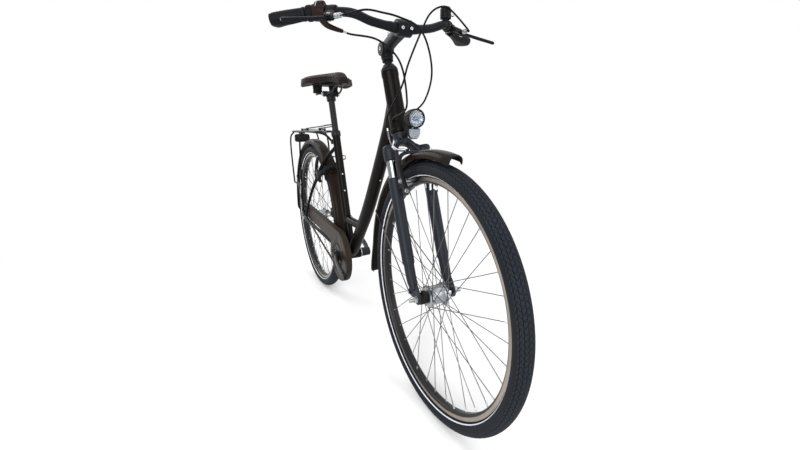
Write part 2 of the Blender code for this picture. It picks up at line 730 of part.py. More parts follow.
def build_brake_lever(suffix, sign, carrier, lever_carrier):
    """The clamped housing with its cable barrel, and the blade that turns in the housing's slot."""
    pivot = FRONT_AXLE + mirrored(LEVER_PIVOT, sign)
    tip = FRONT_AXLE + mirrored(LEVER_TIP, sign)
    normal = mirrored(LEVER_NORMAL, sign).normalized()
    place, along = bar_at(sign * LEVER_CLAMP_Y)
    places = [sign * (LEVER_CLAMP_Y + step) for step in (-0.007, 0.0, 0.007)]
    clamp = ring_on_bar("clamp", places, [0.0160, 0.0165, 0.0160])
    reach = (tip - pivot).normalized()
    ahead = reach.cross(normal) if sign > 0 else normal.cross(reach)
    rings = []
    middle = place.lerp(pivot, 0.55)
    sections = [(place, 0.0070, 0.0085), (middle, 0.0110, 0.0090), (pivot, 0.0130, 0.0085)]
    sections.append((pivot + ahead * 0.010, 0.0090, 0.0065))
    for centre, half_reach, half_up in sections:
        turns = [math.pi * (k + 0.5) / 4 for k in range(8)]
        ring = []
        for t in turns:
            c = math.copysign(abs(math.cos(t)) ** 0.6, math.cos(t))
            s = math.copysign(abs(math.sin(t)) ** 0.6, math.sin(t))
            ring.append(centre + reach * (half_reach * c) + normal * (half_up * s))
        rings.append(ring)
    body = loft("body", rings)
    barrel_end = FRONT_AXLE + mirrored(BARREL_END, sign)
    inward = (barrel_end - pivot).normalized()
    start = pivot + inward * 0.0045
    length = (barrel_end - start).length
    profile = [(0, 0), (0, 0.0052), (length - 0.018, 0.0052), (length - 0.0172, 0.0064)]
    profile += [(length, 0.0064), (length, 0)]
    barrel = revolve("barrel", profile, start, inward, 8, 0.1, ring=False)
    slot_centre = pivot + reach * 0.010 - ahead * 0.002
    slot = block("slot", slot_centre, (0.046, 0.034, 0.0086), reach, normal)
    pin = cylinder("pin", pivot - normal * 0.0075, pivot + normal * 0.0075, 0.0030, 8)
    shell = combine("lever_housing_" + suffix, body, [clamp, barrel], [slot, bar_tube("bore", GAP)])
    shell = combine(shell.name, shell, [pin])
    finish(shell, "plastic", front(CLAMP_X, 0, CLAMP_Z), carrier)

    stations = [(-0.0085, 0.0, 0.0045), (0.0, 0.0, 0.0068), (0.016, 0.001, 0.0064), (0.030, 0.004, 0.0052)]
    length = (tip - pivot).length
    stations += [(0.055, 0.006, 0.0050), (length * 0.72, 0.0035, 0.0050)]
    stations += [(length * 0.9, 0.0015, 0.0056), (length, 0.003, 0.0050)]
    rings = []
    for out, bow, half in stations:
        centre = pivot + reach * out + ahead * bow
        thick = 0.0038 if out < 0.02 else 0.0046
        turns = [math.pi * (k + 0.5) / 3 for k in range(6)]
        rings.append([centre + ahead * (half * math.cos(t)) + normal * (thick * math.sin(t)) for t in turns])
    blade = loft("blade", rings)
    eye = hole("hole", pivot - normal * 0.02, pivot + normal * 0.02, 0.0030, GAP, 8)
    blade = combine("lever_blade_" + suffix, blade, cut=[eye])
    finish(blade, "plastic", pivot, lever_carrier)


SHIFTER_START = 0.1805
SHIFTER_END = 0.2080
TWIST_END = 0.2240


def build_shifter(carrier, twist_carrier):
    """Twist shifter: a housing with its bulge and cable snout, and the ring that turns on the bar."""
    places = [-SHIFTER_START, -0.1920, -0.2042, -SHIFTER_END]
    body = ring_on_bar("body", places, [0.0180, 0.0205, 0.0210, 0.0205])
    place, along = bar_at(-(SHIFTER_START + SHIFTER_END) / 2)
    bulge_centre = place + Vector((0.003, 0, 0.012))
    bulge = cylinder("bulge", bulge_centre - along * 0.012, bulge_centre + along * 0.012, 0.0150, 12)
    snout_path = [place + Vector((0.004, -0.004, -0.014)), place + Vector((0.026, 0.012, -0.036))]
    snout_path.append(place + Vector((0.036, 0.046, -0.047)))
    snout = tube("snout", snout_path, [0.0095, 0.0075, 0.0046], 8)
    housing = combine("shifter_housing", body, [bulge, snout], [bar_tube("bore", GAP)])
    finish(housing, "plastic", place, carrier)
    places = [-(SHIFTER_END + GAP * 2), -(SHIFTER_END + TWIST_END) / 2, -(TWIST_END - GAP)]
    ring = ring_on_bar("ring", places, [0.0196, 0.0200, 0.0190])
    ring = combine("shifter_grip", ring, cut=[bar_tube("bore", RUNNING_GAP * 2)])
    middle, _ = bar_at(-(SHIFTER_END + TWIST_END) / 2)
    finish(ring, "rubber", middle, twist_carrier)


BELL_Y = 0.148


def bell_top():
    return bar_at(BELL_Y)[0] + Z * 0.0155


def bell_hinge():
    return bell_top() + Vector((0, 0.0110, 0.0115))


def build_bell(carrier, lever_carrier):
    band = ring_on_bar("band", [BELL_Y - 0.005, BELL_Y + 0.005], [0.0145, 0.0145])
    top = bell_top()
    foot = cylinder("foot", top - Z * 0.0095, top + Z * 0.004, 0.0075, 8)
    profile = [(0, 0), (0, 0.0158), (0.027, 0.0156), (0.033, 0.0100), (0.033, 0)]
    dome = revolve("dome", profile, top, Z, 14, ring=False)
    slot_centre = top + Vector((0.0, 0.0150, 0.0115))
    slot = block("slot", slot_centre, (0.014, 0.016, 0.0056))
    pin = cylinder("pin", slot_centre - Z * 0.005 - Y * 0.004, slot_centre + Z * 0.005 - Y * 0.004, 0.0016, 8)
    bell = combine("bell", dome, [foot, band], [slot, bar_tube("bore", GAP)])
    bell = combine("bell", bell, [pin])
    finish(bell, "frame_black", top, carrier)
    hinge = bell_hinge()
    outline = [(-0.0030, -0.0030), (0.0030, -0.0030), (0.0040, 0.0080), (0.0050, 0.0160)]
    outline += [(-0.0040, 0.0165), (-0.0030, 0.0080)]
    lever = prism("lever", outline, hinge - Z * 0.0022, (1, 0, 0), Y, Z * 0.0044)
    eye = hole("hole", hinge - Z * 0.01, hinge + Z * 0.01, 0.0016, GAP, 8)
    finish(combine("bell_lever", lever, cut=[eye]), "silver", hinge, lever_carrier)


def build_main_frame():
    """Head tube, wave-shaped down tube, strut, seat tube and bottom bracket shell, welded into one piece."""
    axis = fork(0, -RAKE)
    top = HEAD_BOTTOM + HEAD_LENGTH
    profile = [
        (HEAD_BOTTOM, 0),
        (HEAD_BOTTOM, HEAD_RADIUS_LOW + 0.0015),
        (HEAD_BOTTOM + 0.010, HEAD_RADIUS_LOW + 0.0015),
        (HEAD_BOTTOM + 0.0105, HEAD_RADIUS_LOW),
        (HEAD_BOTTOM + 0.070, HEAD_RADIUS_HIGH + 0.0008),
        (top - 0.0105, HEAD_RADIUS_HIGH),
        (top - 0.010, HEAD_RADIUS_HIGH + 0.0015),
        (top, HEAD_RADIUS_HIGH + 0.0015),
        (top, 0),
    ]
    head = revolve("head", profile, axis, STEER_UP, 14, ring=False)
    path = down_tube_path()
    shares = [k / (len(path) - 1) for k in range(len(path))]
    heights = [0.0250 + 0.0200 * max(0.0, 1 - share / 0.20) ** 1.2 for share in shares]
    widths = [0.0180 + 0.0030 * min(1.0, share / 0.6) for share in shares]
    down_tube = oval_tube("down_tube", path, widths, heights, 8)
    strut = cylinder("strut", on_seat_tube(0.142), path[14].lerp(path[15], 0.5), 0.0165, 12)
    seat_top = on_seat_tube(SEAT_TUBE_LENGTH)
    seat_tube = cylinder("seat_tube", BRACKET, seat_top, SEAT_TUBE_RADIUS + 0.0016, 16)
    half = BRACKET_SHELL_HALF
    shell = cylinder("shell", BRACKET - Y * half, BRACKET + Y * half, BRACKET_SHELL_RADIUS + 0.0012, 16)
    low, high = axis + STEER_UP * (HEAD_BOTTOM - 0.01), axis + STEER_UP * (top + 0.01)
    steerer_bore = hole("bore", low, high, STEERER_RADIUS, GAP, 14)
    depth = SEATPOST_LENGTH - SEATPOST_OUT + SEATPOST_DOWN + 0.005
    low, high = on_seat_tube(SEAT_TUBE_LENGTH - depth), on_seat_tube(SEAT_TUBE_LENGTH + 0.01)
    post_bore = cylinder("bore", low, high, SEATPOST_RADIUS + GAP, 16)
    cuts = [steerer_bore, post_bore]
    cuts.append(hole("bore", BRACKET - Y * 0.05, BRACKET + Y * 0.047, BRACKET_BORE - GAP, GAP, 14))
    for route in (shifter_cable_route(), rear_cable_route()):
        cuts.append(tube("port", route[-5:], CABLE_RADIUS + GAP * 2, 6))
    finish(combine("main_frame", head, [down_tube, strut, seat_tube, shell], cuts), "frame_black")


def down_tube_path():
    points = [
        front(-0.2205, 0, 0.4960),
        front(-0.2730, 0, 0.4210),
        front(-0.3380, 0, 0.3250),
        front(-0.4560, 0, 0.1620),
        BRACKET + Vector((0.0880, 0, 0.0940)),
        BRACKET,
    ]
    return smooth_path(points, 4)


def chainstay_path(sign):
    points = [(0.462, 0.020, -0.065), (0.393, 0.030, -0.056), (0.323, 0.041, -0.045), (0.223, 0.052, -0.030)]
    points += [(0.120, 0.0620, -0.0155), (0.060, 0.0670, -0.008), (0.012, 0.0680, -0.001)]
    return smooth_path([rear(x, sign * side, z) for x, side, z in points], 2)


def seat_stay_path(sign):
    """An S-bent stay: it spreads at the top, passes the lock and brake, and spreads again to the dropout."""
    start = on_seat_tube(SEAT_TUBE_LENGTH - 0.070, -0.006)
    points = [start + Y * sign * 0.011]
    points += [rear(0.300, sign * 0.0300, 0.312), rear(0.263, sign * 0.0470, 0.266)]
    points += [rear(0.183, sign * 0.0500, 0.206), rear(0.133, sign * 0.0580, 0.156)]
    points += [rear(0.060, sign * 0.0660, 0.070), rear(0.010, sign * 0.0685, 0.014)]
    return smooth_path(points, 2)


def build_rear_triangle():
    """Chainstays, seat stays, dropouts, bridges, brake bosses and the kickstand's bracket."""
    parts = []
    cuts = []
    for sign in (-1, 1):
        path = chainstay_path(sign)
        radii = [0.0080 - 0.0014 * k / (len(path) - 1) for k in range(len(path))]
        parts.append(tube("chainstay", path, radii, 6))
        path = seat_stay_path(sign)
        radii = [STAY_RADIUS - 0.0019 * max(0.0, k / (len(path) - 1) - 0.5) * 2 for k in range(len(path))]
        parts.append(tube("seat_stay", path, radii, 6))
        outline = [(-0.020, 0.012), (-0.017, -0.006), (-0.006, -0.015), (0.010, -0.014), (0.040, -0.010)]
        outline += [(0.042, 0.002), (0.026, 0.016), (0.026, 0.034), (0.004, 0.036), (-0.014, 0.034)]
        face = REAR_AXLE + Y * sign * REAR_DROPOUT_Y
        parts.append(prism("dropout", outline, face, (1, 0, 0), Z, Y * sign * DROPOUT_THICKNESS))
        pivot = polar(REAR_AXLE, BOSS_RADIUS, BRAKE_ANGLE, sign * BOSS_Y)
        square = brake_square()
        parts.append(cylinder("boss", pivot + square * 0.0300, pivot + square * 0.0060, 0.0070, 8))
        parts.append(cylinder("pin", pivot + square * 0.0200, pivot - square * 0.0075, BOSS_PIN_RADIUS, 8))
    low = rear(0.3860, 0, -0.0480)
    parts.append(cylinder("low_bridge", low - Y * 0.031, low + Y * 0.031, 0.0055, 8))
    high = seat_bridge_centre()
    parts.append(cylinder("high_bridge", high - Y * 0.036, high + Y * 0.036, SEAT_BRIDGE_RADIUS, 8))
    guard_boss = rear(0.0500, -0.0655, 0.0575)
    boss_length = 0.0655 - GUARD_OUTER_Y - GAP
    parts.append(cylinder("guard_boss", guard_boss, guard_boss + Y * boss_length, 0.0045, 6))
    stand = stand_pivot()
    parts.append(block("stand_plate", stand + Vector((0.004, -0.0135, 0.002)), (0.046, 0.0170, 0.0200)))
    parts.append(cylinder("stand_pin", stand - Y * 0.010, stand + Y * 0.0110, 0.0040, 8))
    seat_radius = SEAT_TUBE_RADIUS + 0.0016 + GAP
    shell_radius = BRACKET_SHELL_RADIUS + 0.0012 + GAP
    half = Y * (BRACKET_SHELL_HALF + 0.004)
    seat_cut = cylinder("cut", on_seat_tube(0.30), on_seat_tube(0.60), seat_radius, 16)
    shell_cut = cylinder("cut", BRACKET - half, BRACKET + half, shell_radius, 16)
    low_seat_cut = cylinder("cut", BRACKET, on_seat_tube(0.20), seat_radius, 16)
    cuts += [seat_cut, shell_cut, low_seat_cut]
    cuts.append(cylinder("hole", REAR_AXLE - Y * 0.1, REAR_AXLE + Y * 0.1, AXLE_RADIUS + GAP, 8))
    first = parts.pop(0)
    finish(combine("rear_triangle", first, parts, cuts), "frame_black")


def brake_square():
    """The running direction at the rear brake, pointing forward, square to the brake's radial direction."""
    return Vector((math.sin(BRAKE_ANGLE), 0, -math.cos(BRAKE_ANGLE)))


def seat_bridge_centre():
    return rear(0.2900, 0, 0.2860)


def stand_pivot():
    return rear(0.1030, 0.0885, -0.0190)


def build_seat_collar():
    start, end = on_seat_tube(SEAT_TUBE_LENGTH - 0.022), on_seat_tube(SEAT_TUBE_LENGTH - 0.002)
    inner = SEAT_TUBE_RADIUS + 0.0016 + GAP
    ring = cylinder("ring", start, end, inner + 0.0028, 16)
    middle = start.lerp(end, 0.5)
    ears_size = (0.0130, 0.0130, 0.0180)
    ears = block("ears", middle - SEAT_AHEAD * (inner + 0.0060), ears_size, SEAT_AHEAD, SEAT_UP)
    bolt_place = middle - SEAT_AHEAD * (inner + 0.0075)
    bolt = cylinder("bolt", bolt_place - Y * 0.0115, bolt_place + Y * 0.0115, 0.0030, 6)
    bore = cylinder("bore", start - SEAT_UP * 0.01, end + SEAT_UP * 0.01, inner, 16)
    slit_size = (0.0110, 0.0016, 0.0400)
    slit = block("slit", middle - SEAT_AHEAD * (inner + 0.0010), slit_size, SEAT_AHEAD, SEAT_UP)
    finish(combine("seat_collar", ring, [ears, bolt], [bore, slit]), "silver")


def build_bottom_bracket():
    inner = SPINDLE_RADIUS + RUNNING_GAP
    cup = BRACKET_BORE - GAP
    inside, outside = BRACKET_SHELL_HALF + GAP, BRACKET_SHELL_HALF + 0.0035
    profile = [
        (-outside, inner),
        (-outside, BRACKET_SHELL_RADIUS),
        (-inside, BRACKET_SHELL_RADIUS + 0.0005),
        (-inside, cup),
        (inside, cup),
        (inside, BRACKET_SHELL_RADIUS + 0.0005),
        (outside, BRACKET_SHELL_RADIUS),
        (outside, inner),
    ]
    finish(revolve("bottom_bracket", profile, BRACKET, Y, 16), "silver", BRACKET)


def pitch_radius(teeth):
    return CHAIN_PITCH / (2 * math.sin(math.pi / teeth))


def toothed_outline(teeth):
    """Two points a tooth: its tip and the bottom of a roller's seat."""
    pitch = pitch_radius(teeth)
    step = 2 * math.pi / teeth
    points = []
    for k in range(teeth):
        for share, reach in ((0.0, 0.0026), (0.5, -0.0040)):
            turn = (k + share) * step
            points.append(((pitch + reach) * math.cos(turn), (pitch + reach) * math.sin(turn)))
    return points


def crank_direction(sign):
    """From the spindle to a pedal eye. The right crank points forward and the left one back."""
    turn = CRANK_TILT if sign < 0 else CRANK_TILT + math.pi
    return Vector((math.cos(turn), 0, math.sin(turn)))


def crank_arm(sign):
    """A tapered arm from the spindle's boss out to the pedal eye."""
    reach = crank_direction(sign)
    square = Y.cross(reach)
    stations = [(-0.004, 0.0630, 0.0155, 0.0105), (0.020, 0.0720, 0.0150, 0.0085)]
    stations += [(0.050, 0.0800, 0.0130, 0.0070), (0.100, 0.0865, 0.0120, 0.0065)]
    stations += [(CRANK_LENGTH - 0.015, 0.0900, 0.0125, 0.0065)]
    stations += [(CRANK_LENGTH - 0.004, 0.0900, 0.0130, 0.0065)]
    rings = []
    for along, side, half_wide, half_deep in stations:
        ring = []
        for k in range(8):
            t = math.pi * (k + 0.5) / 4
            c = math.copysign(abs(math.cos(t)) ** 0.55, math.cos(t))
            s = math.copysign(abs(math.sin(t)) ** 0.55, math.sin(t))
            place = BRACKET + reach * along + square * (half_wide * c)
            ring.append(place + Y * sign * (side + half_deep * s))
        rings.append(ring)
    arm = loft("arm", rings)
    eye = BRACKET + reach * CRANK_LENGTH
    boss = cylinder("eye", eye + Y * sign * 0.0825, eye + Y * sign * 0.0975, 0.0140, 12)
    thread = cylinder("hole", eye + Y * sign * 0.07, eye + Y * sign * 0.11, 0.0070, 10)
    return arm, boss, thread


def build_cranks(carrier):
    """The right crank with its spider and the spindle, the left crank, and the chainring."""
    outside = CHAIN_LINE + TOOTH_THICKNESS / 2 + GAP
    end = 0.0620
    spindle = cylinder("spindle", BRACKET - Y * 0.0500, BRACKET + Y * end, SPINDLE_RADIUS, 12)
    boss = cylinder("boss", BRACKET - Y * outside, BRACKET - Y * 0.0790, 0.0185, 16, 0.0170)
    arm, eye, thread = crank_arm(-1)
    fingers = []
    for k in range(5):
        turn = CRANK_TILT + 2 * math.pi * (k + 0.5) / 5
        outward = Vector((math.cos(turn), 0, math.sin(turn)))
        square = Y.cross(outward)
        outline = [(0.010, -0.0110), (0.050, -0.0062), (0.0655, -0.0075)]
        outline += [(0.0655, 0.0075), (0.050, 0.0062), (0.010, 0.0110)]
        fingers.append(prism("finger", outline, BRACKET - Y * outside, outward, square, -Y * 0.0040))
    finish(combine("crank_right", boss, [spindle, arm, eye, *fingers], [thread]), "plastic", BRACKET, carrier)

    inside = BRACKET_SHELL_HALF + 0.0035 + GAP * 2
    boss = cylinder("boss", BRACKET + Y * inside, BRACKET + Y * 0.0750, 0.0180, 16, 0.0170)
    arm, eye, thread = crank_arm(1)
    bore = cylinder("bore", BRACKET + Y * 0.02, BRACKET + Y * (end + GAP), SPINDLE_RADIUS + GAP, 12)
    finish(combine("crank_left", boss, [arm, eye], [thread, bore]), "plastic", BRACKET, carrier)

    near = CHAIN_LINE - TOOTH_THICKNESS / 2
    outline = toothed_outline(CHAINRING_TEETH)
    ring = prism("ring", outline, BRACKET - Y * near, (1, 0, 0), Z, -Y * TOOTH_THICKNESS)
    middle = cylinder("middle", BRACKET - Y * 0.02, BRACKET - Y * 0.07, 0.0560, 24)
    finish(combine("chainring", ring, cut=[middle]), "steel", BRACKET, carrier)


def build_sprocket(carrier):
    near = CHAIN_LINE - TOOTH_THICKNESS / 2
    outline = toothed_outline(SPROCKET_TEETH)
    ring = prism("ring", outline, REAR_AXLE - Y * near, (1, 0, 0), Z, -Y * TOOTH_THICKNESS)
    seat = REAR_HUB_HALF + RUNNING_GAP
    driver = cylinder("driver", REAR_AXLE - Y * seat, REAR_AXLE - Y * (CHAIN_LINE + 0.0045), 0.0195, 12)
    bore = hole("bore", REAR_AXLE - Y * 0.02, REAR_AXLE - Y * 0.06, AXLE_RADIUS, GAP, 8)
    finish(combine("sprocket", ring, [driver], [bore]), "steel", REAR_AXLE, carrier)


def chain_stations():
    """Places along the chain: centre, outward direction, half height, and whether a roller starts there."""
    big, small = pitch_radius(CHAINRING_TEETH), pitch_radius(SPROCKET_TEETH)
    between = REAR_AXLE - BRACKET
    apart = between.length
    lean = math.atan2(between.z, between.x)
    spread = math.acos((big - small) / apart)
    upper, lower = lean - spread, lean + spread
    run = math.sqrt(apart**2 - (big - small) ** 2)
    stations = []
    rear_links = round((lower - upper) * small / CHAIN_PITCH)
    front_links = round((upper + 2 * math.pi - lower) * big / CHAIN_PITCH)
    run_links = round(run / CHAIN_PITCH)
    for start, end, angle, clear_start, clear_end in (
        (polar(BRACKET, big, upper), polar(REAR_AXLE, small, upper), upper, 4, 3),
        (polar(REAR_AXLE, small, lower), polar(BRACKET, big, lower), lower, 3, 4),
    ):
        outward = Vector((math.cos(angle), 0, math.sin(angle)))
        spans = run_links // 2
        for k in range(spans + 1):
            roller = k % 2 == 0 and clear_start <= 2 * k <= run_links - clear_end - 2
            stations.append((start.lerp(end, k / spans), outward, PLATE_HALF_HEIGHT * 0.85, roller))
        if angle == upper:
            centre, radius, first, last, links = REAR_AXLE, small, upper, lower, rear_links
        else:
            centre, radius, first, last, links = BRACKET, big, lower, upper + 2 * math.pi, front_links
        wraps = (links + 1) // 2 if radius == big else links
        for k in range(1, wraps):
            turn = first + (last - first) * k / wraps
            outward = Vector((math.cos(turn), 0, math.sin(turn)))
            stations.append((polar(centre, radius, turn), outward, PLATE_HALF_HEIGHT * 0.85, False))
    return stations


def build_chain():
    """Two rows of link plates, held apart in the straight runs."""
    stations = chain_stations()
    count = len(stations)
    points = []
    for place, outward, half, _ in stations:
        for side in (-1, 1):
            for depth in (PLATE_INNER, PLATE_INNER + PLATE_THICKNESS):
                for reach in (-half, half):
                    points.append(place + Y * (side * depth - CHAIN_LINE) + outward * reach)
    faces = []
    for i in range(count):
        here, there = 8 * i, 8 * ((i + 1) % count)
        roller = stations[i][3]
        for row in (0, 4):
            inner_low, inner_high, outer_low, outer_high = row, row + 1, row + 2, row + 3
            spans = [(inner_high, outer_high), (outer_high, outer_low), (outer_low, inner_low)]
            if not roller:
                spans.append((inner_low, inner_high))
            for a, b in spans:
                faces.append((here + a, here + b, there + b, there + a))
        if roller:
            faces.append((here + 0, here + 4, there + 4, there + 0))
            faces.append((here + 1, here + 5, there + 5, there + 1))
            faces.append((here + 0, here + 1, here + 5, here + 4))
            faces.append((there + 0, there + 1, there + 5, there + 4))
    finish(make("chain", points, faces), "steel")


def build_chain_guard():
    """A disc round the chainring with a cover over the upper run, open towards the wheel and below."""
    outer = BRACKET - Y * GUARD_OUTER_Y
    depth = GUARD_OUTER_Y - GUARD_INNER_Y
    end_x = -BRACKET_AHEAD - 0.0460
    high, low = BRACKET_DROP + 0.0640, BRACKET_DROP + 0.0125
    reach = math.hypot(end_x, high)
    top_turn = math.atan2(high, end_x) - math.acos(GUARD_RADIUS / reach)
    low_turn = math.radians(156)
    arc = 20
    turns = [low_turn + (top_turn + 2 * math.pi - low_turn) * k / arc for k in range(arc + 1)]
    lip = 0.0006
    disc = [((GUARD_RADIUS - lip) * math.cos(t), (GUARD_RADIUS - lip) * math.sin(t)) for t in turns]
    outline = [(end_x + lip, low + lip)] + disc + [(end_x + lip, high - lip)]
    face = prism("face", outline, outer, (1, 0, 0), Z, Y * GUARD_WALL)

    start = math.radians(250)
    turns = [start + (top_turn + 2 * math.pi - start) * k / 13 for k in range(14)]
    rim = [(GUARD_RADIUS * math.cos(t), GUARD_RADIUS * math.sin(t)) for t in turns]
    rim += [(end_x, high), (end_x, low)]
    thin = GUARD_RADIUS - GUARD_WALL
    inner = [(thin * math.cos(t), thin * math.sin(t)) for t in turns]
    inner += [(end_x + GUARD_WALL, high - GUARD_WALL), (end_x + GUARD_WALL, low)]
    wall_depth = Y * (depth + lip / 2)
    rim_wall = prism("rim_wall", rim + inner[::-1], outer - Y * (lip / 2), (1, 0, 0), Z, wall_depth)

    back = BRACKET - Y * (GUARD_INNER_Y + 0.0024)
    arms = [sleeve("seat", back, back + Y * 0.0024, BRACKET_SHELL_RADIUS + 0.0009 + GAP, 0.0310, 16)]
    for degrees in (60, -50):
        t = math.radians(degrees)
        outward = Vector((math.cos(t), 0, math.sin(t)))
        box = [(0.028, -0.008), (thin + 0.0006, -0.008), (thin + 0.0006, 0.008), (0.028, 0.008)]
        arms.append(prism("arm", box, back + Y * 0.0002, outward, Y.cross(outward), Y * 0.0020))
    cuts = [cylinder("hole", outer - Y * 0.01, outer + Y * 0.006, 0.0220, 16)]
    for degrees in (122, 183, 244, 305, 6, 64):
        slot = []
        for radius, order in ((0.0455, range(4)), (0.0510, range(3, -1, -1))):
            for k in order:
                t = math.radians(degrees - 21 + 14 * k)
                slot.append((radius * math.cos(t), radius * math.sin(t)))
        cuts.append(prism("slot", slot, outer - Y * 0.01, (1, 0, 0), Z, Y * 0.016))
    finish(combine("chain_guard", face, [rim_wall, *arms], cuts), "guard_brown")


def fender_section(radius):
    """Half of a mudguard's section as (side, radius) points, first the outside and then the inside."""
    wide, deep, wall = FENDER_HALF_WIDTH, FENDER_DEPTH, FENDER_WALL
    outside = [(wide, radius - deep), (wide - 0.0050, radius - 0.0070)]
    inside = [(wide - wall, radius - deep), (wide - 0.0050 - wall * 0.8, radius - 0.0070 - wall * 0.8)]
    return outside, inside


def fender(name, axle, radius, start, end, segments, flare=0.0):
    """A curved mudguard. The flare lifts its far end into a flap."""
    rings = []
    for k in range(segments + 1):
        turn = math.radians(start + (end - start) * k / segments)
        lift = flare * max(0.0, (k / segments - 0.84) / 0.16) ** 1.5
        outside, inside = fender_section(radius + lift)
        ring = outside + [(0, radius + lift)] + [(-side, r) for side, r in reversed(outside)]
        ring += [(-side, r) for side, r in inside] + [(0, radius + lift - FENDER_WALL)]
        ring += [(side, r) for side, r in reversed(inside)]
        rings.append([polar(axle, r, turn, side) for side, r in ring])
    return loft(name, rings)


def wrap_wire(axle, radius, degrees, foot, clear):
    """The path of a wire stay from one dropout round the back of a mudguard to the other dropout."""
    turn = math.radians(degrees)
    half = [(FENDER_HALF_WIDTH + clear, radius - FENDER_DEPTH - 0.020)]
    half.append((FENDER_HALF_WIDTH + clear, radius - FENDER_DEPTH + 0.002))
    half.append((FENDER_HALF_WIDTH - 0.0050 + clear * 1.05, radius - 0.0070 + clear * 0.8))
    path = [foot, *[polar(axle, r, turn, -side) for side, r in half]]
    path.append(polar(axle, radius + clear * 1.15, turn))
    path += [polar(axle, r, turn, side) for side, r in reversed(half)]
    path.append(Vector((foot.x, -foot.y, foot.z)))
    return path


def fender_bolt_ends():
    """Where the rear mudguard's bolt begins on the shell and ends at the seat stay bridge."""
    bridge = seat_bridge_centre() - REAR_AXLE
    turn = math.atan2(bridge.z, bridge.x)
    bolt_end = bridge.length - SEAT_BRIDGE_RADIUS - GAP
    return polar(REAR_AXLE, FENDER_RADIUS - 0.0015, turn), polar(REAR_AXLE, bolt_end, turn)


def build_rear_fender():
    shell = fender("shell", REAR_AXLE, FENDER_RADIUS, -5.3, 184, 22)
    bolt = cylinder("bolt", *fender_bolt_ends(), FENDER_BOLT_RADIUS, 8)
    finish(combine("rear_fender", shell, [bolt]), "frame_brown")

    outside = REAR_DROPOUT_Y + DROPOUT_THICKNESS + GAP
    foot = rear(-0.0145, -(outside + 0.0025), 0.0140)
    path = wrap_wire(REAR_AXLE, FENDER_RADIUS, 152, foot, WIRE_RADIUS + GAP * 1.5)
    wire = tube("wire", path, WIRE_RADIUS, 5)
    eyes = []
    for sign in (-1, 1):
        eye = rear(-0.0145, sign * outside, 0.0140)
        eyes.append(cylinder("eye", eye, eye + Y * sign * 0.0060, 0.0050, 8))
    finish(combine("rear_fender_stays", wire, eyes), "steel")


def build_front_fender(carrier):
    shell = fender("shell", FRONT_AXLE, FRONT_FENDER_RADIUS, 76, 188, 18, 0.030)
    turn = math.pi - HEAD_ANGLE
    place = FRONT_AXLE + STEER_AHEAD * 0.0068
    start = place + STEER_UP * (FRONT_FENDER_RADIUS - 0.0012)
    end = place + STEER_UP * (FRONT_FENDER_RADIUS + 0.0025 - GAP)
    bolt = cylinder("bolt", start, end, 0.0060, 8)
    finish(combine("front_fender", shell, [bolt]), "frame_brown", FRONT_AXLE, carrier)

    outside = FRONT_DROPOUT_Y + DROPOUT_THICKNESS + GAP
    foot = fork(0.0200, -0.0340, -(outside + 0.0025))
    path = wrap_wire(FRONT_AXLE, FRONT_FENDER_RADIUS, 152, foot, WIRE_RADIUS + GAP * 1.5)
    wire = tube("wire", path, WIRE_RADIUS, 5)
    eyes = []
    for sign in (-1, 1):
        eye = fork(0.0200, -0.0340, sign * outside)
        eyes.append(cylinder("eye", eye, eye + Y * sign * 0.0060, 0.0050, 8))
        middle = [path[0].lerp(path[1], 0.88), path[0].lerp(path[1], 1.0)]
        ends = [Vector((p.x, sign * abs(p.y), p.z)) for p in middle]
        eyes.append(cylinder("end_cap", ends[0], ends[1], 0.0030, 6))
    finish(combine("front_fender_stays", wire, eyes), "steel", FRONT_AXLE, carrier)


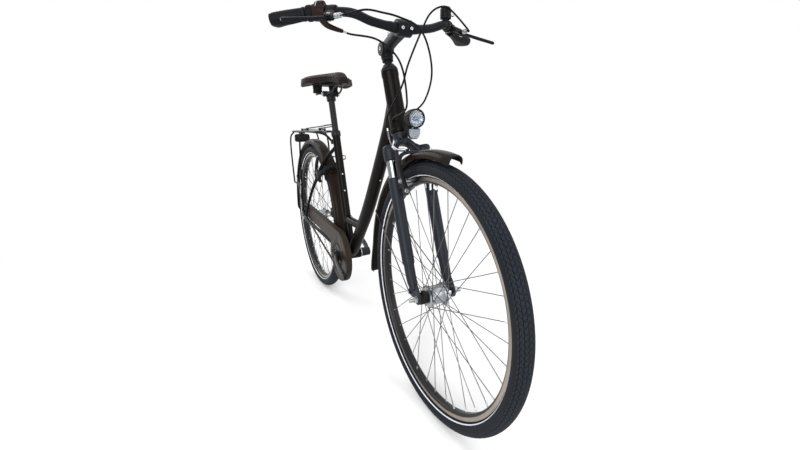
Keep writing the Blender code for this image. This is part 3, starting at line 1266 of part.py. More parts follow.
def build_rack():
    """Carrier: platform hoop with cross bars, legs to the dropouts, side hoops and the clip's pin."""
    level = RACK_HEIGHT
    half = RACK_HALF_WIDTH
    seat_rear = on_seat_tube(SEAT_TUBE_LENGTH - 0.041, -(SEAT_TUBE_RADIUS + 0.0016 + GAP))
    start = seat_rear + Vector((-0.012, 0, 0))
    points = [start + Y * -0.010, rear(0.2750, -0.026, level - 0.010), rear(0.1900, -half, level)]
    points.append(rear(-0.0500, -half, level))
    points += [rear(-0.2000, -half, level), rear(-0.2380, -half * 0.72, level), rear(-0.2480, 0, level)]
    path = smooth_path(points, 2)
    path += [Vector((p.x, -p.y, p.z)) for p in reversed(path[:-1])]
    hoop = tube("hoop", path, RACK_TUBE_RADIUS, 5)
    parts = [block("front_block", start, (0.0240, 0.0300, 0.0180), SEAT_AHEAD, SEAT_UP)]
    for ahead in (0.150, 0.010, -0.110):
        bar = rear(ahead, 0, level - 0.001)
        parts.append(cylinder("bar", bar - Y * half, bar + Y * half, 0.0040, 6))
    parts.append(cylinder("rail", rear(0.235, 0, level - 0.002), rear(-0.2440, 0, level - 0.001), 0.0035, 6))
    outside = REAR_DROPOUT_Y + DROPOUT_THICKNESS + GAP
    for sign in (-1, 1):
        eye = rear(-0.0040, sign * outside, 0.0300)
        foot = eye + Y * sign * 0.0045
        leg = [rear(-0.0100, sign * half, level - 0.001), rear(0.0000, sign * 0.0700, level - 0.060)]
        leg += [foot + Z * 0.030, foot]
        parts.append(tube("leg", smooth_path(leg, 2), RACK_TUBE_RADIUS - 0.0008, 5))
        parts.append(cylinder("eye", eye, eye + Y * sign * 0.0090, 0.0065, 8))
        low = rear(0.0020, sign * 0.0765, 0.1650)
        side_path = [rear(-0.1750, sign * half, level), rear(-0.1900, sign * 0.0730, level - 0.045)]
        side_path += [rear(-0.1400, sign * 0.0800, 0.1900), rear(-0.1150, sign * 0.0800, 0.1650), low]
        parts.append(tube("side_hoop", smooth_path(side_path, 2), 0.0038, 5))
        parts.append(block("ear", rear(0.0030, sign * half, level + 0.006), (0.0100, 0.0070, 0.0180)))
    pin = clip_pivot()
    parts.append(cylinder("clip_pin", pin - Y * half, pin + Y * half, 0.0030, 6))
    lamp_tab = rear(-0.2470, 0, level - 0.006)
    parts.append(block("lamp_tab", lamp_tab, (0.0060, 0.0340, 0.0110)))
    seat_cut = cylinder("cut", on_seat_tube(0.40), on_seat_tube(0.56), SEAT_TUBE_RADIUS + 0.0016 + GAP, 16)
    finish(combine("rack", hoop, parts, [seat_cut]), "frame_black")

    top = level - 0.0115 - GAP
    stations = [(-0.2300, 0.0300, 0.036), (-0.2400, 0.0390, 0.042)]
    stations += [(-0.2560, 0.0400, 0.044), (-0.2620, 0.0360, 0.038)]
    rings = []
    for ahead, half_side, height in stations:
        middle = top - 0.0230
        ring = []
        for k in range(8):
            t = math.pi * (k + 0.5) / 4
            c = math.copysign(abs(math.cos(t)) ** 0.4, math.cos(t))
            s = math.copysign(abs(math.sin(t)) ** 0.4, math.sin(t))
            ring.append(rear(ahead, half_side * c, middle + height / 2 * s))
        rings.append(ring)
    lamp = loft("lamp", rings)
    tab = block("tab", rear(-0.2470, 0, top - 0.004), (0.0080, 0.0300, 0.0080))
    finish(combine("rear_lamp", lamp, [tab]), "red")


def clip_pivot():
    return rear(0.0030, 0, RACK_HEIGHT + 0.0110)


def build_rack_clip(carrier):
    """A sprung wire hoop over the platform, turning on the carrier's pin."""
    pin = clip_pivot()
    points = [pin + Vector((0.004, -0.0300, 0.0040)), rear(0.060, -0.0320, RACK_HEIGHT + 0.0170)]
    points += [rear(0.240, -0.0280, RACK_HEIGHT + 0.0230), rear(0.292, -0.0200, RACK_HEIGHT + 0.0270)]
    points += [rear(0.306, 0, RACK_HEIGHT + 0.0290)]
    path = smooth_path(points, 2)
    path += [Vector((p.x, -p.y, p.z)) for p in reversed(path[:-1])]
    hoop = tube("hoop", path, 0.0025, 5)
    eyes = []
    for side in (-0.030, 0.030):
        eyes.append(cylinder("eye", pin + Y * (side - 0.005), pin + Y * (side + 0.005), 0.0062, 8))
    bore = cylinder("bore", pin - Y * 0.06, pin + Y * 0.06, 0.0030 + RUNNING_GAP, 8)
    finish(combine("rack_clip", hoop, eyes, [bore]), "frame_black", pin, carrier)


def build_rear_axle():
    inside = REAR_DROPOUT_Y - GAP
    outside = REAR_DROPOUT_Y + DROPOUT_THICKNESS + GAP
    rod = cylinder("rod", REAR_AXLE - Y * 0.0850, REAR_AXLE + Y * 0.0850, AXLE_RADIUS, 8)
    left = cylinder("cone", REAR_AXLE + Y * (REAR_HUB_HALF + RUNNING_GAP), REAR_AXLE + Y * inside, 0.0110, 12)
    sprocket_face = CHAIN_LINE + 0.0045 + RUNNING_GAP
    right = cylinder("spacer", REAR_AXLE - Y * inside, REAR_AXLE - Y * sprocket_face, 0.0090, 12)
    end = outside + 0.0095
    nuts = [hexagon_nut("nut", REAR_AXLE, sign * outside, sign * end, 0.0090) for sign in (-1, 1)]
    finish(combine("rear_axle", rod, [left, right, *nuts]), "steel", REAR_AXLE)


def lock_centre():
    return polar(REAR_AXLE, LOCK_CENTRE_RADIUS, LOCK_ANGLE)


def lock_point(turn, radius, forward=0.0):
    """A point of the lock's ring. The turn starts at the crown and grows towards the left."""
    outward = Vector((math.cos(LOCK_ANGLE), 0, math.sin(LOCK_ANGLE)))
    ahead = Vector((math.sin(LOCK_ANGLE), 0, -math.cos(LOCK_ANGLE)))
    across = outward * (radius * math.cos(turn)) + Y * (radius * math.sin(turn))
    return lock_centre() + across + ahead * forward


def build_frame_lock():
    """A C-shaped housing round the tyre, with a channel for the shackle and a slot for its thumb piece."""
    rings = []
    for k in range(17):
        turn = math.radians(-130 + 16.25 * k)
        crown = 0.0240 * max(0.0, math.cos(2 * turn)) if abs(turn) < math.pi / 4 else 0.0
        inner, outer, half = LOCK_RING_RADIUS - 0.0058, LOCK_RING_RADIUS + 0.0080 + crown, LOCK_HALF_THICKNESS
        corners = [(inner, -half), (outer, -half), (outer, half), (inner, half)]
        rings.append([lock_point(turn, radius, forward) for radius, forward in corners])
    body = loft("body", rings)
    turns = [math.radians(-136 + 17 * k) for k in range(17)]
    channel = tube("channel", [lock_point(t, LOCK_RING_RADIUS) for t in turns], SHACKLE_RADIUS + 0.0012, 8)
    slot = []
    for k in range(9):
        turn = math.radians(-20 + 130 * k / 8)
        corners = [(-0.0028, 0.0), (0.0028, 0.0), (0.0028, 0.02), (-0.0028, 0.02)]
        slot.append([lock_point(turn, LOCK_RING_RADIUS + radius, forward) for radius, forward in corners])
    start, end = fender_bolt_ends()
    reach = (end - start).normalized() * 0.020
    notch = hole("notch", start - reach, end + reach, FENDER_BOLT_RADIUS, GAP * 2, 8)
    finish(combine("frame_lock", body, cut=[channel, loft("slot", slot), notch]), "plastic")


def build_lock_shackle(carrier):
    turns = [math.radians(SHACKLE_TAIL + SHACKLE_SPAN * k / 10) for k in range(11)]
    rod = tube("rod", [lock_point(t, LOCK_RING_RADIUS) for t in turns], SHACKLE_RADIUS, 8)
    knob = math.radians(SHACKLE_TAIL + 6)
    low, high = lock_point(knob, LOCK_RING_RADIUS), lock_point(knob, LOCK_RING_RADIUS, 0.0160)
    stem = cylinder("stem", low, high, 0.0022, 6)
    inside, outside = lock_point(knob, LOCK_RING_RADIUS, 0.0105), lock_point(knob, LOCK_RING_RADIUS, 0.0200)
    head = cylinder("head", inside, outside, 0.0065, 8)
    finish(combine("lock_shackle", rod, [stem, head]), "chrome", lock_centre(), carrier)


def build_kickstand(carrier):
    pivot = stand_pivot()
    head = cylinder("head", pivot - Y * 0.0045, pivot + Y * 0.0080, 0.0105, 12)
    points = [pivot + Vector((-0.002, 0.0020, 0)), rear(0.040, 0.0935, -0.0195)]
    points.append(rear(-0.100, 0.0955, -0.0200))
    points += [rear(-0.190, 0.0985, -0.0200)]
    leg = tube("leg", smooth_path(points, 2), 0.0055, 8)
    tip = points[-1]
    shoe = block("shoe", tip + Vector((-0.011, 0.0010, -0.0010)), (0.0240, 0.0150, 0.0150))
    bore = hole("bore", pivot - Y * 0.02, pivot + Y * 0.0113, 0.0040, GAP, 8)
    finish(combine("kickstand", head, [leg, shoe], [bore]), "frame_black", pivot, carrier)


SADDLE_STATIONS = [
    (-0.1420, 0.0560, 0.0190, 0.0020),
    (-0.1320, 0.0860, 0.0270, -0.0070),
    (-0.1080, 0.1020, 0.0300, -0.0070),
    (-0.0700, 0.1050, 0.0300, -0.0070),
    (-0.0300, 0.0900, 0.0290, -0.0090),
    (0.0100, 0.0620, 0.0280, -0.0140),
    (0.0500, 0.0380, 0.0270, -0.0130),
    (0.0900, 0.0260, 0.0255, -0.0130),
    (0.1250, 0.0205, 0.0205, -0.0130),
    (0.1450, 0.0130, 0.0110, -0.0080),
]


def saddle_at(ahead, side, up):
    """A point measured from the saddle's middle, above the top of the seat post."""
    return on_seat_tube(SEAT_TUBE_LENGTH + SEATPOST_OUT) + Vector((ahead + 0.0400, side, up + 0.0470))


def saddle_ring(ahead, half_width, top, bottom, count=11):
    ring = []
    for k in range(count):
        t = math.pi * k / (count - 1)
        c = math.copysign(abs(math.cos(t)) ** 0.75, math.cos(t))
        s = math.sin(t) ** 0.55 if 0 < k < count - 1 else 0.0
        ring.append(saddle_at(ahead, half_width * c, bottom + (top - bottom) * s))
    for share in (-0.55, 0.0, 0.55):
        ring.append(saddle_at(ahead, half_width * share, bottom + 0.004))
    return ring


def saddle_bottom(ahead):
    """The height of the padded cover's underside, in the saddle's own measure."""
    for before, after in zip(SADDLE_STATIONS, SADDLE_STATIONS[1:]):
        if ahead <= after[0]:
            share = (ahead - before[0]) / (after[0] - before[0])
            return before[3] + (after[3] - before[3]) * share + 0.004
    return SADDLE_STATIONS[-1][3] + 0.004


def build_saddle(carrier):
    """Seat post, clamp, rails, base, padded cover and the two rubber springs at the back."""
    top = SEAT_TUBE_LENGTH + SEATPOST_OUT
    post = cylinder("seatpost", on_seat_tube(top - SEATPOST_LENGTH), on_seat_tube(top), SEATPOST_RADIUS, 16)
    finish(post, "steel", on_seat_tube(top), carrier)

    rail_up = RAIL_HEIGHT
    socket = cylinder("socket", on_seat_tube(top - 0.026), on_seat_tube(top + 0.006), 0.0185, 14)
    bore = cylinder("bore", on_seat_tube(top - 0.05), on_seat_tube(top + GAP), SEATPOST_RADIUS + GAP, 16)
    crown = saddle_at(-0.0400, 0, rail_up)
    yoke = cylinder("yoke", crown - Y * 0.0310, crown + Y * 0.0310, 0.0120, 10)
    neck = block("neck", crown - Z * 0.010, (0.0220, 0.0240, 0.0240))
    nuts = [hexagon_nut("nut", crown, sign * 0.0290, sign * 0.0370, 0.0080) for sign in (-1, 1)]
    rails = saddle_rail_path()
    grooves = tube("grooves", rails, RAIL_RADIUS + GAP, 5)
    clamp = combine("saddle_clamp", socket, [neck, yoke, *nuts], [bore, grooves])
    finish(clamp, "steel", on_seat_tube(top), carrier)
    finish(tube("saddle_rails", rails, RAIL_RADIUS, 5), "steel", on_seat_tube(top), carrier)

    cover = loft("saddle_cover", [saddle_ring(*station) for station in SADDLE_STATIONS])
    finish(cover, "leather", on_seat_tube(top), carrier)

    rings = []
    for ahead, half_width, _, _ in SADDLE_STATIONS[1:-1]:
        under = saddle_bottom(ahead) - GAP
        half = half_width * 0.55 - 0.002
        thick = 0.0050
        corners = [(half, 0), (half, -thick), (0, -thick), (-half, -thick), (-half, 0), (0, 0)]
        rings.append([saddle_at(ahead, side, under + up) for side, up in corners])
    finish(loft("saddle_base", rings), "plastic", on_seat_tube(top), carrier)

    for suffix, sign in (("right", -1), ("left", 1)):
        foot = saddle_at(*elastomer_foot(sign))
        height = saddle_at(0, 0, saddle_bottom(-0.1080) - GAP * 2 - 0.0050).z - foot.z
        profile = [(0, 0), (0, 0.0170), (0.004, 0.0205), (height * 0.5, 0.0185)]
        profile += [(height - 0.004, 0.0205), (height, 0.0170), (height, 0)]
        spring = revolve("elastomer_" + suffix, profile, foot, Z, 12, ring=False)
        finish(spring, "rubber", on_seat_tube(top), carrier)


def elastomer_foot(sign):
    return (-0.1080, sign * 0.0340, RAIL_HEIGHT + 0.0030 + RAIL_RADIUS + GAP)


def saddle_rail_path():
    """One steel rod: from the left rubber spring forward under the nose and back to the right one."""
    low = RAIL_HEIGHT
    high = saddle_bottom(0.09) - 0.0050 - RAIL_RADIUS - GAP * 2
    half = [(-0.1340, 0.0340, low + 0.0030), (-0.0860, 0.0338, low + 0.0030), (-0.0620, 0.0260, low + 0.0010)]
    half += [(-0.0400, 0.0225, low), (0.0000, 0.0215, low), (0.0350, 0.0180, low + 0.004)]
    half += [(0.0650, 0.0145, high - 0.0070), (0.0860, 0.0105, high - 0.0010)]
    nose = [(0.1000, 0, high)]
    points = half + nose + [(ahead, -side, up) for ahead, side, up in reversed(half)]
    return smooth_path([saddle_at(*point) for point in points], 2)


def brake_frame(wheel):
    """Radial and forward directions and the axle of the front or the rear brake."""
    if wheel == "front":
        return FRONT_AXLE, STEER_UP, STEER_AHEAD, 0.0185
    outward = Vector((math.cos(BRAKE_ANGLE), 0, math.sin(BRAKE_ANGLE)))
    return REAR_AXLE, outward, -brake_square(), 0.0


def noodle_path(wheel):
    """The bent guide pipe on top of one arm, from above the rim out to where its cable begins."""
    axle, up, ahead, middle = brake_frame(wheel)
    base = NOODLE_HEIGHT + 0.0050
    bends = [(0.0150, 0, 0), (0.0300, 0, 0), (0.0500, 0.0020, 0), (0.0610, 0.0130, 0)]
    bends += [(0.0655, 0.0290, 0), (0.0660, 0.0510, 0)]
    if wheel == "rear":
        bends[3:] = [(0.0620, 0.0070, -0.004), (0.0660, 0.0150, -0.016), (0.0600, 0.0210, -0.034)]
    sign = -1 if wheel == "front" else 1
    points = [axle + up * (base + rise) + Y * sign * side + ahead * (middle + on) for side, rise, on in bends]
    return smooth_path(points, 2)


def build_brake_arm(wheel, suffix, sign, carrier):
    """A lever arm with its pad holder, pad and pivot bore, and the cable noodle on one of the two."""
    axle, up, ahead, middle = brake_frame(wheel)

    def at(side, radius, forward=0.0):
        return axle + up * radius + Y * (sign * side) + ahead * (middle + forward)

    stations = [(0.0445, BOSS_RADIUS - 0.0105, 0.0065, 0.0053), (0.0440, BOSS_RADIUS, 0.0090, 0.0055)]
    stations += [(0.0470, 0.3080, 0.0080, 0.0055), (0.0520, 0.3480, 0.0065, 0.0050)]
    stations += [(0.0520, 0.3830, 0.0055, 0.0045), (0.0500, 0.3940, 0.0050, 0.0045)]
    rings = []
    for side, radius, half_wide, half_thick in stations:
        turns = [math.pi * (k + 0.5) / 3 for k in range(6)]
        ring = []
        for t in turns:
            c = math.copysign(abs(math.cos(t)) ** 0.6, math.cos(t))
            s = math.copysign(abs(math.sin(t)) ** 0.6, math.sin(t))
            ring.append(at(side + half_wide * c, radius, half_thick * s))
        rings.append(ring)
    arm = loft("arm", rings)
    pad_face = RIM_WIDTH / 2 + PAD_GAP
    pad = block("pad", at(pad_face + 0.0050, TRACK_RADIUS), (0.0500, 0.0100, 0.0090), ahead, up)
    post = cylinder("post", at(pad_face + 0.0085, TRACK_RADIUS), at(0.0600, TRACK_RADIUS), 0.0038, 6)
    nut = cylinder("nut", at(0.0535, TRACK_RADIUS), at(0.0590, TRACK_RADIUS), 0.0070, 6)
    parts = [pad, post, nut]
    if (wheel, sign) in (("front", -1), ("rear", 1)):
        parts.append(tube("noodle", noodle_path(wheel), 0.0021, 6))
    else:
        anchor = at(0.0500, 0.3910)
        parts.append(cylinder("anchor", anchor, anchor + ahead * 0.0085, 0.0040, 6))
    pivot = at(BOSS_Y, BOSS_RADIUS)
    reach = ahead * 0.03
    bore = hole("bore", pivot - reach, pivot + reach, BOSS_PIN_RADIUS, GAP, 8)
    name = f"{wheel}_brake_arm_{suffix}"
    finish(combine(name, arm, parts, [bore]), "silver", pivot, carrier)


def build_headlight(carrier):
    """A round lamp with a short hood on a bracket in front of the fork crown."""
    centre = front(-0.1050, 0, 0.4580)
    aim = Vector((1, 0, -0.06)).normalized()
    profile = [(-0.036, 0), (-0.036, 0.0110), (-0.028, 0.0185), (-0.010, 0.0235), (0.012, 0.0250)]
    profile += [(0.012, 0.0225), (0.008, 0.0220), (0.006, 0)]
    body = revolve("body", profile, centre, aim, 16, ring=False)
    foot = fork(0.4430, -RAKE + 0.0180)
    foot_top = centre - aim * 0.012
    post = tube("post", [foot, foot.lerp(foot_top, 0.5) + aim * 0.004, foot_top], [0.0075, 0.0085, 0.0100], 8)
    low, high = CROWN_TOP + 0.010, HEAD_BOTTOM - GAP
    narrow, wide = 0.0185 + GAP * 2, HEAD_RADIUS_LOW - 0.004 + GAP * 2
    profile = [(low - 0.02, 0), (low - 0.02, narrow), (low, narrow)]
    profile += [(high, wide), (high + 0.02, wide), (high + 0.02, 0)]
    crown = revolve("cut", profile, fork(0, -RAKE), STEER_UP, 14, ring=False)
    finish(combine("headlight", body, [post], [crown]), "plastic", centre, carrier)

    middle = front(-0.1080, 0, 0.4183)
    plate = block("plate", middle, (0.0080, 0.0320, 0.0256))
    low, high = middle + Vector((-0.002, 0, 0.008)), middle + Vector((-0.002, 0, 0.0153))
    stem = cylinder("stem", low, high, 0.0035, 8)
    lens_edge = block("rim", middle + Vector((-0.004, 0, 0)), (0.0060, 0.0350, 0.0284))
    finish(combine("front_reflector", plate, [lens_edge, stem]), "lens", middle, carrier)


def front_brake_route():
    start = FRONT_AXLE + mirrored(BARREL_END, 1)
    up = STEER_UP
    noodle = noodle_path("front")
    top = noodle[-1] + (noodle[-1] - noodle[-2]).normalized() * (GAP * 2)
    away = (start - (FRONT_AXLE + mirrored(LEVER_PIVOT, 1))).normalized()
    points = [start + away * (GAP * 3), start + away * 0.020, front(-0.1600, 0.1450, 0.7480)]
    points += [front(-0.1550, 0.1100, 0.7500)]
    points += [front(-0.1450, 0.0700, 0.7250), front(-0.1250, 0.0300, 0.6700)]
    points.append(front(-0.1080, -0.0150, 0.5920))
    points += [front(-0.0980, -0.0400, 0.5350), top + up * 0.0420 + Y * 0.006, top + up * 0.0160, top]
    return smooth_path(points, 2)


def shifter_cable_route():
    place, along = bar_at(-(SHIFTER_START + SHIFTER_END) / 2)
    start = place + Vector((0.036, 0.046, -0.047))
    away = Vector((0.010, 0.034, -0.011)).normalized()
    port = fork(HEAD_BOTTOM + 0.036, -RAKE)
    points = [start + away * 0.0010, start + away * 0.020, front(-0.1500, -0.0850, 0.6520)]
    points += [front(-0.1130, -0.0550, 0.6180), front(-0.0930, -0.0400, 0.5780)]
    points += [front(-0.0850, -0.0330, 0.5140), front(-0.0980, -0.0310, 0.4780)]
    points += [port + Vector((0.030, -0.0270, 0.008)), port + Vector((0.0080, -0.0225, -0.0060))]
    points += [port + Vector((-0.0040, -0.0200, -0.0090))]
    return smooth_path(points, 2)


def rear_cable_route():
    start = FRONT_AXLE + mirrored(BARREL_END, -1)
    away = (start - (FRONT_AXLE + mirrored(LEVER_PIVOT, -1))).normalized()
    port = front(-0.2480, 0.0150, 0.4600)
    points = [start + away * (GAP * 2.5), start + away * 0.020, front(-0.1350, -0.1150, 0.7120)]
    points.append(front(-0.1250, -0.0750, 0.7080))
    points += [front(-0.1150, -0.0350, 0.7000), front(-0.0980, 0.0100, 0.6780)]
    points.append(front(-0.0920, 0.0350, 0.6300))
    points += [front(-0.1020, 0.0500, 0.5650), front(-0.1450, 0.0520, 0.5050), front(-0.1950, 0.0400, 0.4760)]
    points += [port + Vector((0.0120, 0.0085, 0.0060)), port, port + Vector((-0.0100, -0.0060, -0.0070))]
    return smooth_path(points, 2)


def build_cables(steer_carrier):
    """The brake and shift cables. The long inner runs inside the frame's tubes aren't shown."""
    finish(tube("front_brake_cable", front_brake_route(), CABLE_RADIUS, 5), "rubber", carrier=steer_carrier)
    finish(tube("rear_brake_cable", rear_cable_route(), CABLE_RADIUS, 5), "rubber")
    finish(tube("shifter_cable", shifter_cable_route(), CABLE_RADIUS, 5), "rubber")
    noodle = noodle_path("rear")
    leaving = (noodle[-1] - noodle[-2]).normalized()
    surface = SEAT_TUBE_RADIUS + 0.0016
    port = on_seat_tube(0.4000, -(surface + GAP * 2))
    points = [noodle[-1] + leaving * (GAP * 4), noodle[-1] + leaving * 0.0120]
    points += [on_seat_tube(0.3960, -(surface + 0.0330), 0.0240)]
    points += [on_seat_tube(0.3990, -(surface + 0.0180), 0.0140)]
    points += [on_seat_tube(0.4000, -(surface + 0.0070), 0.0030), port]
    finish(tube("rear_brake_cable_end", smooth_path(points, 2), CABLE_RADIUS, 5), "rubber")


def clear_scene():
    for old in list(bpy.data.objects):
        bpy.data.objects.remove(old)


def main():
    clear_scene()
    steer_axis = fork(HEAD_BOTTOM, -RAKE)
    steering = axis_empty("steering_axis", steer_axis)
    lowers = axis_empty("fork_slide", FRONT_AXLE, steering)
    front_wheel = axis_empty("front_wheel_axis", FRONT_AXLE, lowers)
    rear_wheel = axis_empty("rear_wheel_axis", REAR_AXLE)
    crank = axis_empty("crank_axis", BRACKET)
    build_main_frame()
    build_rear_triangle()
    build_seat_collar()
    build_bottom_bracket()
    build_cranks(crank)
    build_sprocket(axis_empty("sprocket_axis", REAR_AXLE))
    build_chain()
    build_chain_guard()
    build_rear_fender()
    build_rack()
    build_rack_clip(axis_empty("rack_clip_axis", clip_pivot()))
    build_rear_axle()
    build_frame_lock()
    build_lock_shackle(axis_empty("lock_axis", lock_centre()))
    build_kickstand(axis_empty("kickstand_axis", stand_pivot()))
    build_saddle(axis_empty("seatpost_slide", on_seat_tube(SEAT_TUBE_LENGTH)))
    rear_size = (REAR_HUB_HALF, REAR_FLANGE_Y, REAR_FLANGE_RADIUS, REAR_SHELL_RADIUS)
    build_wheel("rear", REAR_AXLE, *rear_size, LOCK_ANGLE + math.pi / SPOKES, rear_wheel)
    front_size = (FRONT_HUB_HALF, FRONT_FLANGE_Y, FRONT_FLANGE_RADIUS, FRONT_SHELL_RADIUS)
    build_wheel("front", FRONT_AXLE, *front_size, 0.0, front_wheel)
    build_front_axle(lowers)
    build_fork_lowers(lowers)
    build_front_fender(lowers)
    build_fork_upper(steering)
    build_stem_and_bar(steering)
    build_headlight(steering)
    build_grip("grip_right", TWIST_END + GAP, -1, steering)
    build_grip("grip_left", GRIP_START, 1, steering)
    for suffix, sign in (("right", -1), ("left", 1)):
        hinge = axis_empty("lever_axis_" + suffix, FRONT_AXLE + mirrored(LEVER_PIVOT, sign), steering)
        build_brake_lever(suffix, sign, steering, hinge)
        for wheel, base in (("front", lowers), ("rear", None)):
            axle, up, ahead, middle = brake_frame(wheel)
            place = axle + up * BOSS_RADIUS + Y * sign * BOSS_Y + ahead * middle
            build_brake_arm(wheel, suffix, sign, axis_empty(f"{wheel}_brake_axis_{suffix}", place, base))
    shifter_place, _ = bar_at(-(SHIFTER_END + TWIST_END) / 2)
    build_shifter(steering, axis_empty("twist_axis", shifter_place, steering))
    build_bell(steering, axis_empty("bell_lever_axis", bell_hinge(), steering))
    build_cables(steering)


main()
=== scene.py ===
"""A unisex city bike with a wave-shaped step-through frame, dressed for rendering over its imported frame.

+X is forward, +Y is the rider's left and +Z is up, in metres. Each class below is one sub-assembly: it holds
its sizes as fields, builds its meshes and gives each piece its finish and the body that it rides on.
"""

import json
import logging
import math
from dataclasses import dataclass, field
from enum import Enum
from typing import Callable, Iterable, Optional, Sequence

import bmesh
import bpy
from mathutils import Matrix, Vector

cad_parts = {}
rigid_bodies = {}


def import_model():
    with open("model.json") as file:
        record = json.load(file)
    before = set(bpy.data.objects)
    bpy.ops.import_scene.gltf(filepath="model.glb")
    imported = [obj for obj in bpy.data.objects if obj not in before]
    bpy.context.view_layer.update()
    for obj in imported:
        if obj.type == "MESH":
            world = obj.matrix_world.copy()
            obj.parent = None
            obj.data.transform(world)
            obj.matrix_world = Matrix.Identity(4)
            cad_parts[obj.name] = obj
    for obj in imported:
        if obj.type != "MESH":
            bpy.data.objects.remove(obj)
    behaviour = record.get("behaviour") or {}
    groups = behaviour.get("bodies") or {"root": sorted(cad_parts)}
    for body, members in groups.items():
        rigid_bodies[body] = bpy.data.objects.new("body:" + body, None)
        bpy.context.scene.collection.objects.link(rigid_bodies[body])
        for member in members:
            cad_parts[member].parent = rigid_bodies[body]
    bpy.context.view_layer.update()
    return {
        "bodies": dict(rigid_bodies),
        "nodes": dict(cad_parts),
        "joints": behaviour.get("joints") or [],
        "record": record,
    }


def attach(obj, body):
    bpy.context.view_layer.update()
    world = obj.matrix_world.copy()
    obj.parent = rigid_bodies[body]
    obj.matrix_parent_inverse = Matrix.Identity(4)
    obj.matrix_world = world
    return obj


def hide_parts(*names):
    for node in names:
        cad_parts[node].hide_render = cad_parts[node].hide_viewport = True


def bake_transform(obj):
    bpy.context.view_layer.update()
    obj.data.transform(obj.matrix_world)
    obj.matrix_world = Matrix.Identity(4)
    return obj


LOG = logging.getLogger("city_bike")

Y = Vector((0, 1, 0))
Z = Vector((0, 0, 1))
HEAD_ANGLE = math.radians(70.5)
SEAT_ANGLE = math.radians(75)
WHEEL_RADIUS = 0.354
FRONT_AXLE = Vector((0.5885, 0, WHEEL_RADIUS))
REAR_AXLE = Vector((-0.5575, 0, WHEEL_RADIUS))
BRACKET = Vector((-0.0745, 0, 0.288))
STEER_UP = Vector((-math.cos(HEAD_ANGLE), 0, math.sin(HEAD_ANGLE)))
STEER_AHEAD = Vector((math.sin(HEAD_ANGLE), 0, math.cos(HEAD_ANGLE)))
SEAT_UP = Vector((-math.cos(SEAT_ANGLE), 0, math.sin(SEAT_ANGLE)))
SEAT_AHEAD = Vector((math.sin(SEAT_ANGLE), 0, math.cos(SEAT_ANGLE)))
RAKE = 0.042
HEAD_BOTTOM = 0.459
HEAD_LENGTH = 0.178
GAP = 0.0003
REAR_PHASE = math.radians(42.5) + math.pi / 36
BRIDGE = Vector((0.290, 0, 0.286))
BRIDGE_TURN = math.atan2(BRIDGE.z, BRIDGE.x)
BRAKE_TURN = math.radians(52.5)
BOSS_RADIUS = 0.2824
BOSS_SIDE = 0.044
RIM_DEPTH = 0.0179
STAND_PIVOT = REAR_AXLE + Vector((0.1030, 0.0885, -0.0190))
SHIFTER_PLACE = -0.19425
SHIFTER_OUTLET = Vector((0.036, 0.046, -0.047))


def front(ahead: float, side: float, up: float) -> Vector:
    """A point measured from the front axle along the bike's own axes."""
    return FRONT_AXLE + Vector((ahead, side, up))


def rear(ahead: float, side: float, up: float) -> Vector:
    """A point measured from the rear axle along the bike's own axes."""
    return REAR_AXLE + Vector((ahead, side, up))


def fork(along: float, ahead: float, side: float = 0.0) -> Vector:
    """A point measured from the front axle along the steering axis and square to it."""
    return FRONT_AXLE + STEER_UP * along + STEER_AHEAD * ahead + Y * side


def on_seat_tube(distance: float, ahead: float = 0.0, side: float = 0.0) -> Vector:
    """A point measured up the seat tube from the bottom bracket."""
    return BRACKET + SEAT_UP * distance + SEAT_AHEAD * ahead + Y * side


def polar(centre: Vector, radius: float, angle: float, side: float = 0.0) -> Vector:
    """A point on a circle round a crosswise axis, with the angle measured upward from straight ahead."""
    return centre + Vector((radius * math.cos(angle), side, radius * math.sin(angle)))


def heading(angle: float) -> Vector:
    """The direction at an angle, measured upward from straight ahead."""
    return Vector((math.cos(angle), 0, math.sin(angle)))


def circle(radius: float, turns: Iterable[float]) -> list[tuple[float, float]]:
    """Flat points on a circle, one for each angle."""
    return [(radius * math.cos(turn), radius * math.sin(turn)) for turn in turns]


def there_and_back(path: Sequence[Vector]) -> list[Vector]:
    """A path that ends in the middle plane, continued on the other side of it."""
    return [*path, *[Vector((point.x, -point.y, point.z)) for point in reversed(path[:-1])]]


def square_to(axis: Vector) -> tuple[Vector, Vector]:
    """Two directions square to an axis and to each other."""
    helper = Z if abs(axis.dot(Z)) < 0.9 else Vector((1, 0, 0))
    first = (helper - axis * helper.dot(axis)).normalized()
    return first, axis.cross(first)


def mirrored(point: Sequence[float], sign: int) -> Vector:
    """The same point on the left (1) or on the right (-1)."""
    return Vector((point[0], sign * point[1], point[2]))


def smooth_path(points: Sequence[Sequence[float]], steps: int) -> list[Vector]:
    """Points on a curve through the given ones.

    Args:
        points: the places that the curve passes.
        steps: how many points there are from each place to the next.

    Returns:
        The points of a Catmull-Rom curve, the last place included.
    """
    given = [Vector(point) for point in points]
    ends = [2 * given[0] - given[1]] + given + [2 * given[-1] - given[-2]]
    path = []
    for i in range(1, len(ends) - 2):
        a, b, c, d = ends[i - 1 : i + 3]
        for j in range(steps):
            t = j / steps
            square, cube = 2 * a - 5 * b + 4 * c - d, 3 * b - a - 3 * c + d
            path.append(0.5 * (2 * b + (c - a) * t + square * t**2 + cube * t**3))
    return path + [given[-1]]


def squircle(turn: float, power: float) -> tuple[float, float]:
    """Cosine and sine of a turn, pushed towards a rounded square as the power drops below 1."""
    c, s = math.cos(turn), math.sin(turn)
    return math.copysign(abs(c) ** power, c), math.copysign(abs(s) ** power, s)


def rounded(count: int, power: float) -> list[tuple[float, float]]:
    """The corners of a section between a circle and a square."""
    return [squircle(2 * math.pi * (k + 0.5) / count, power) for k in range(count)]


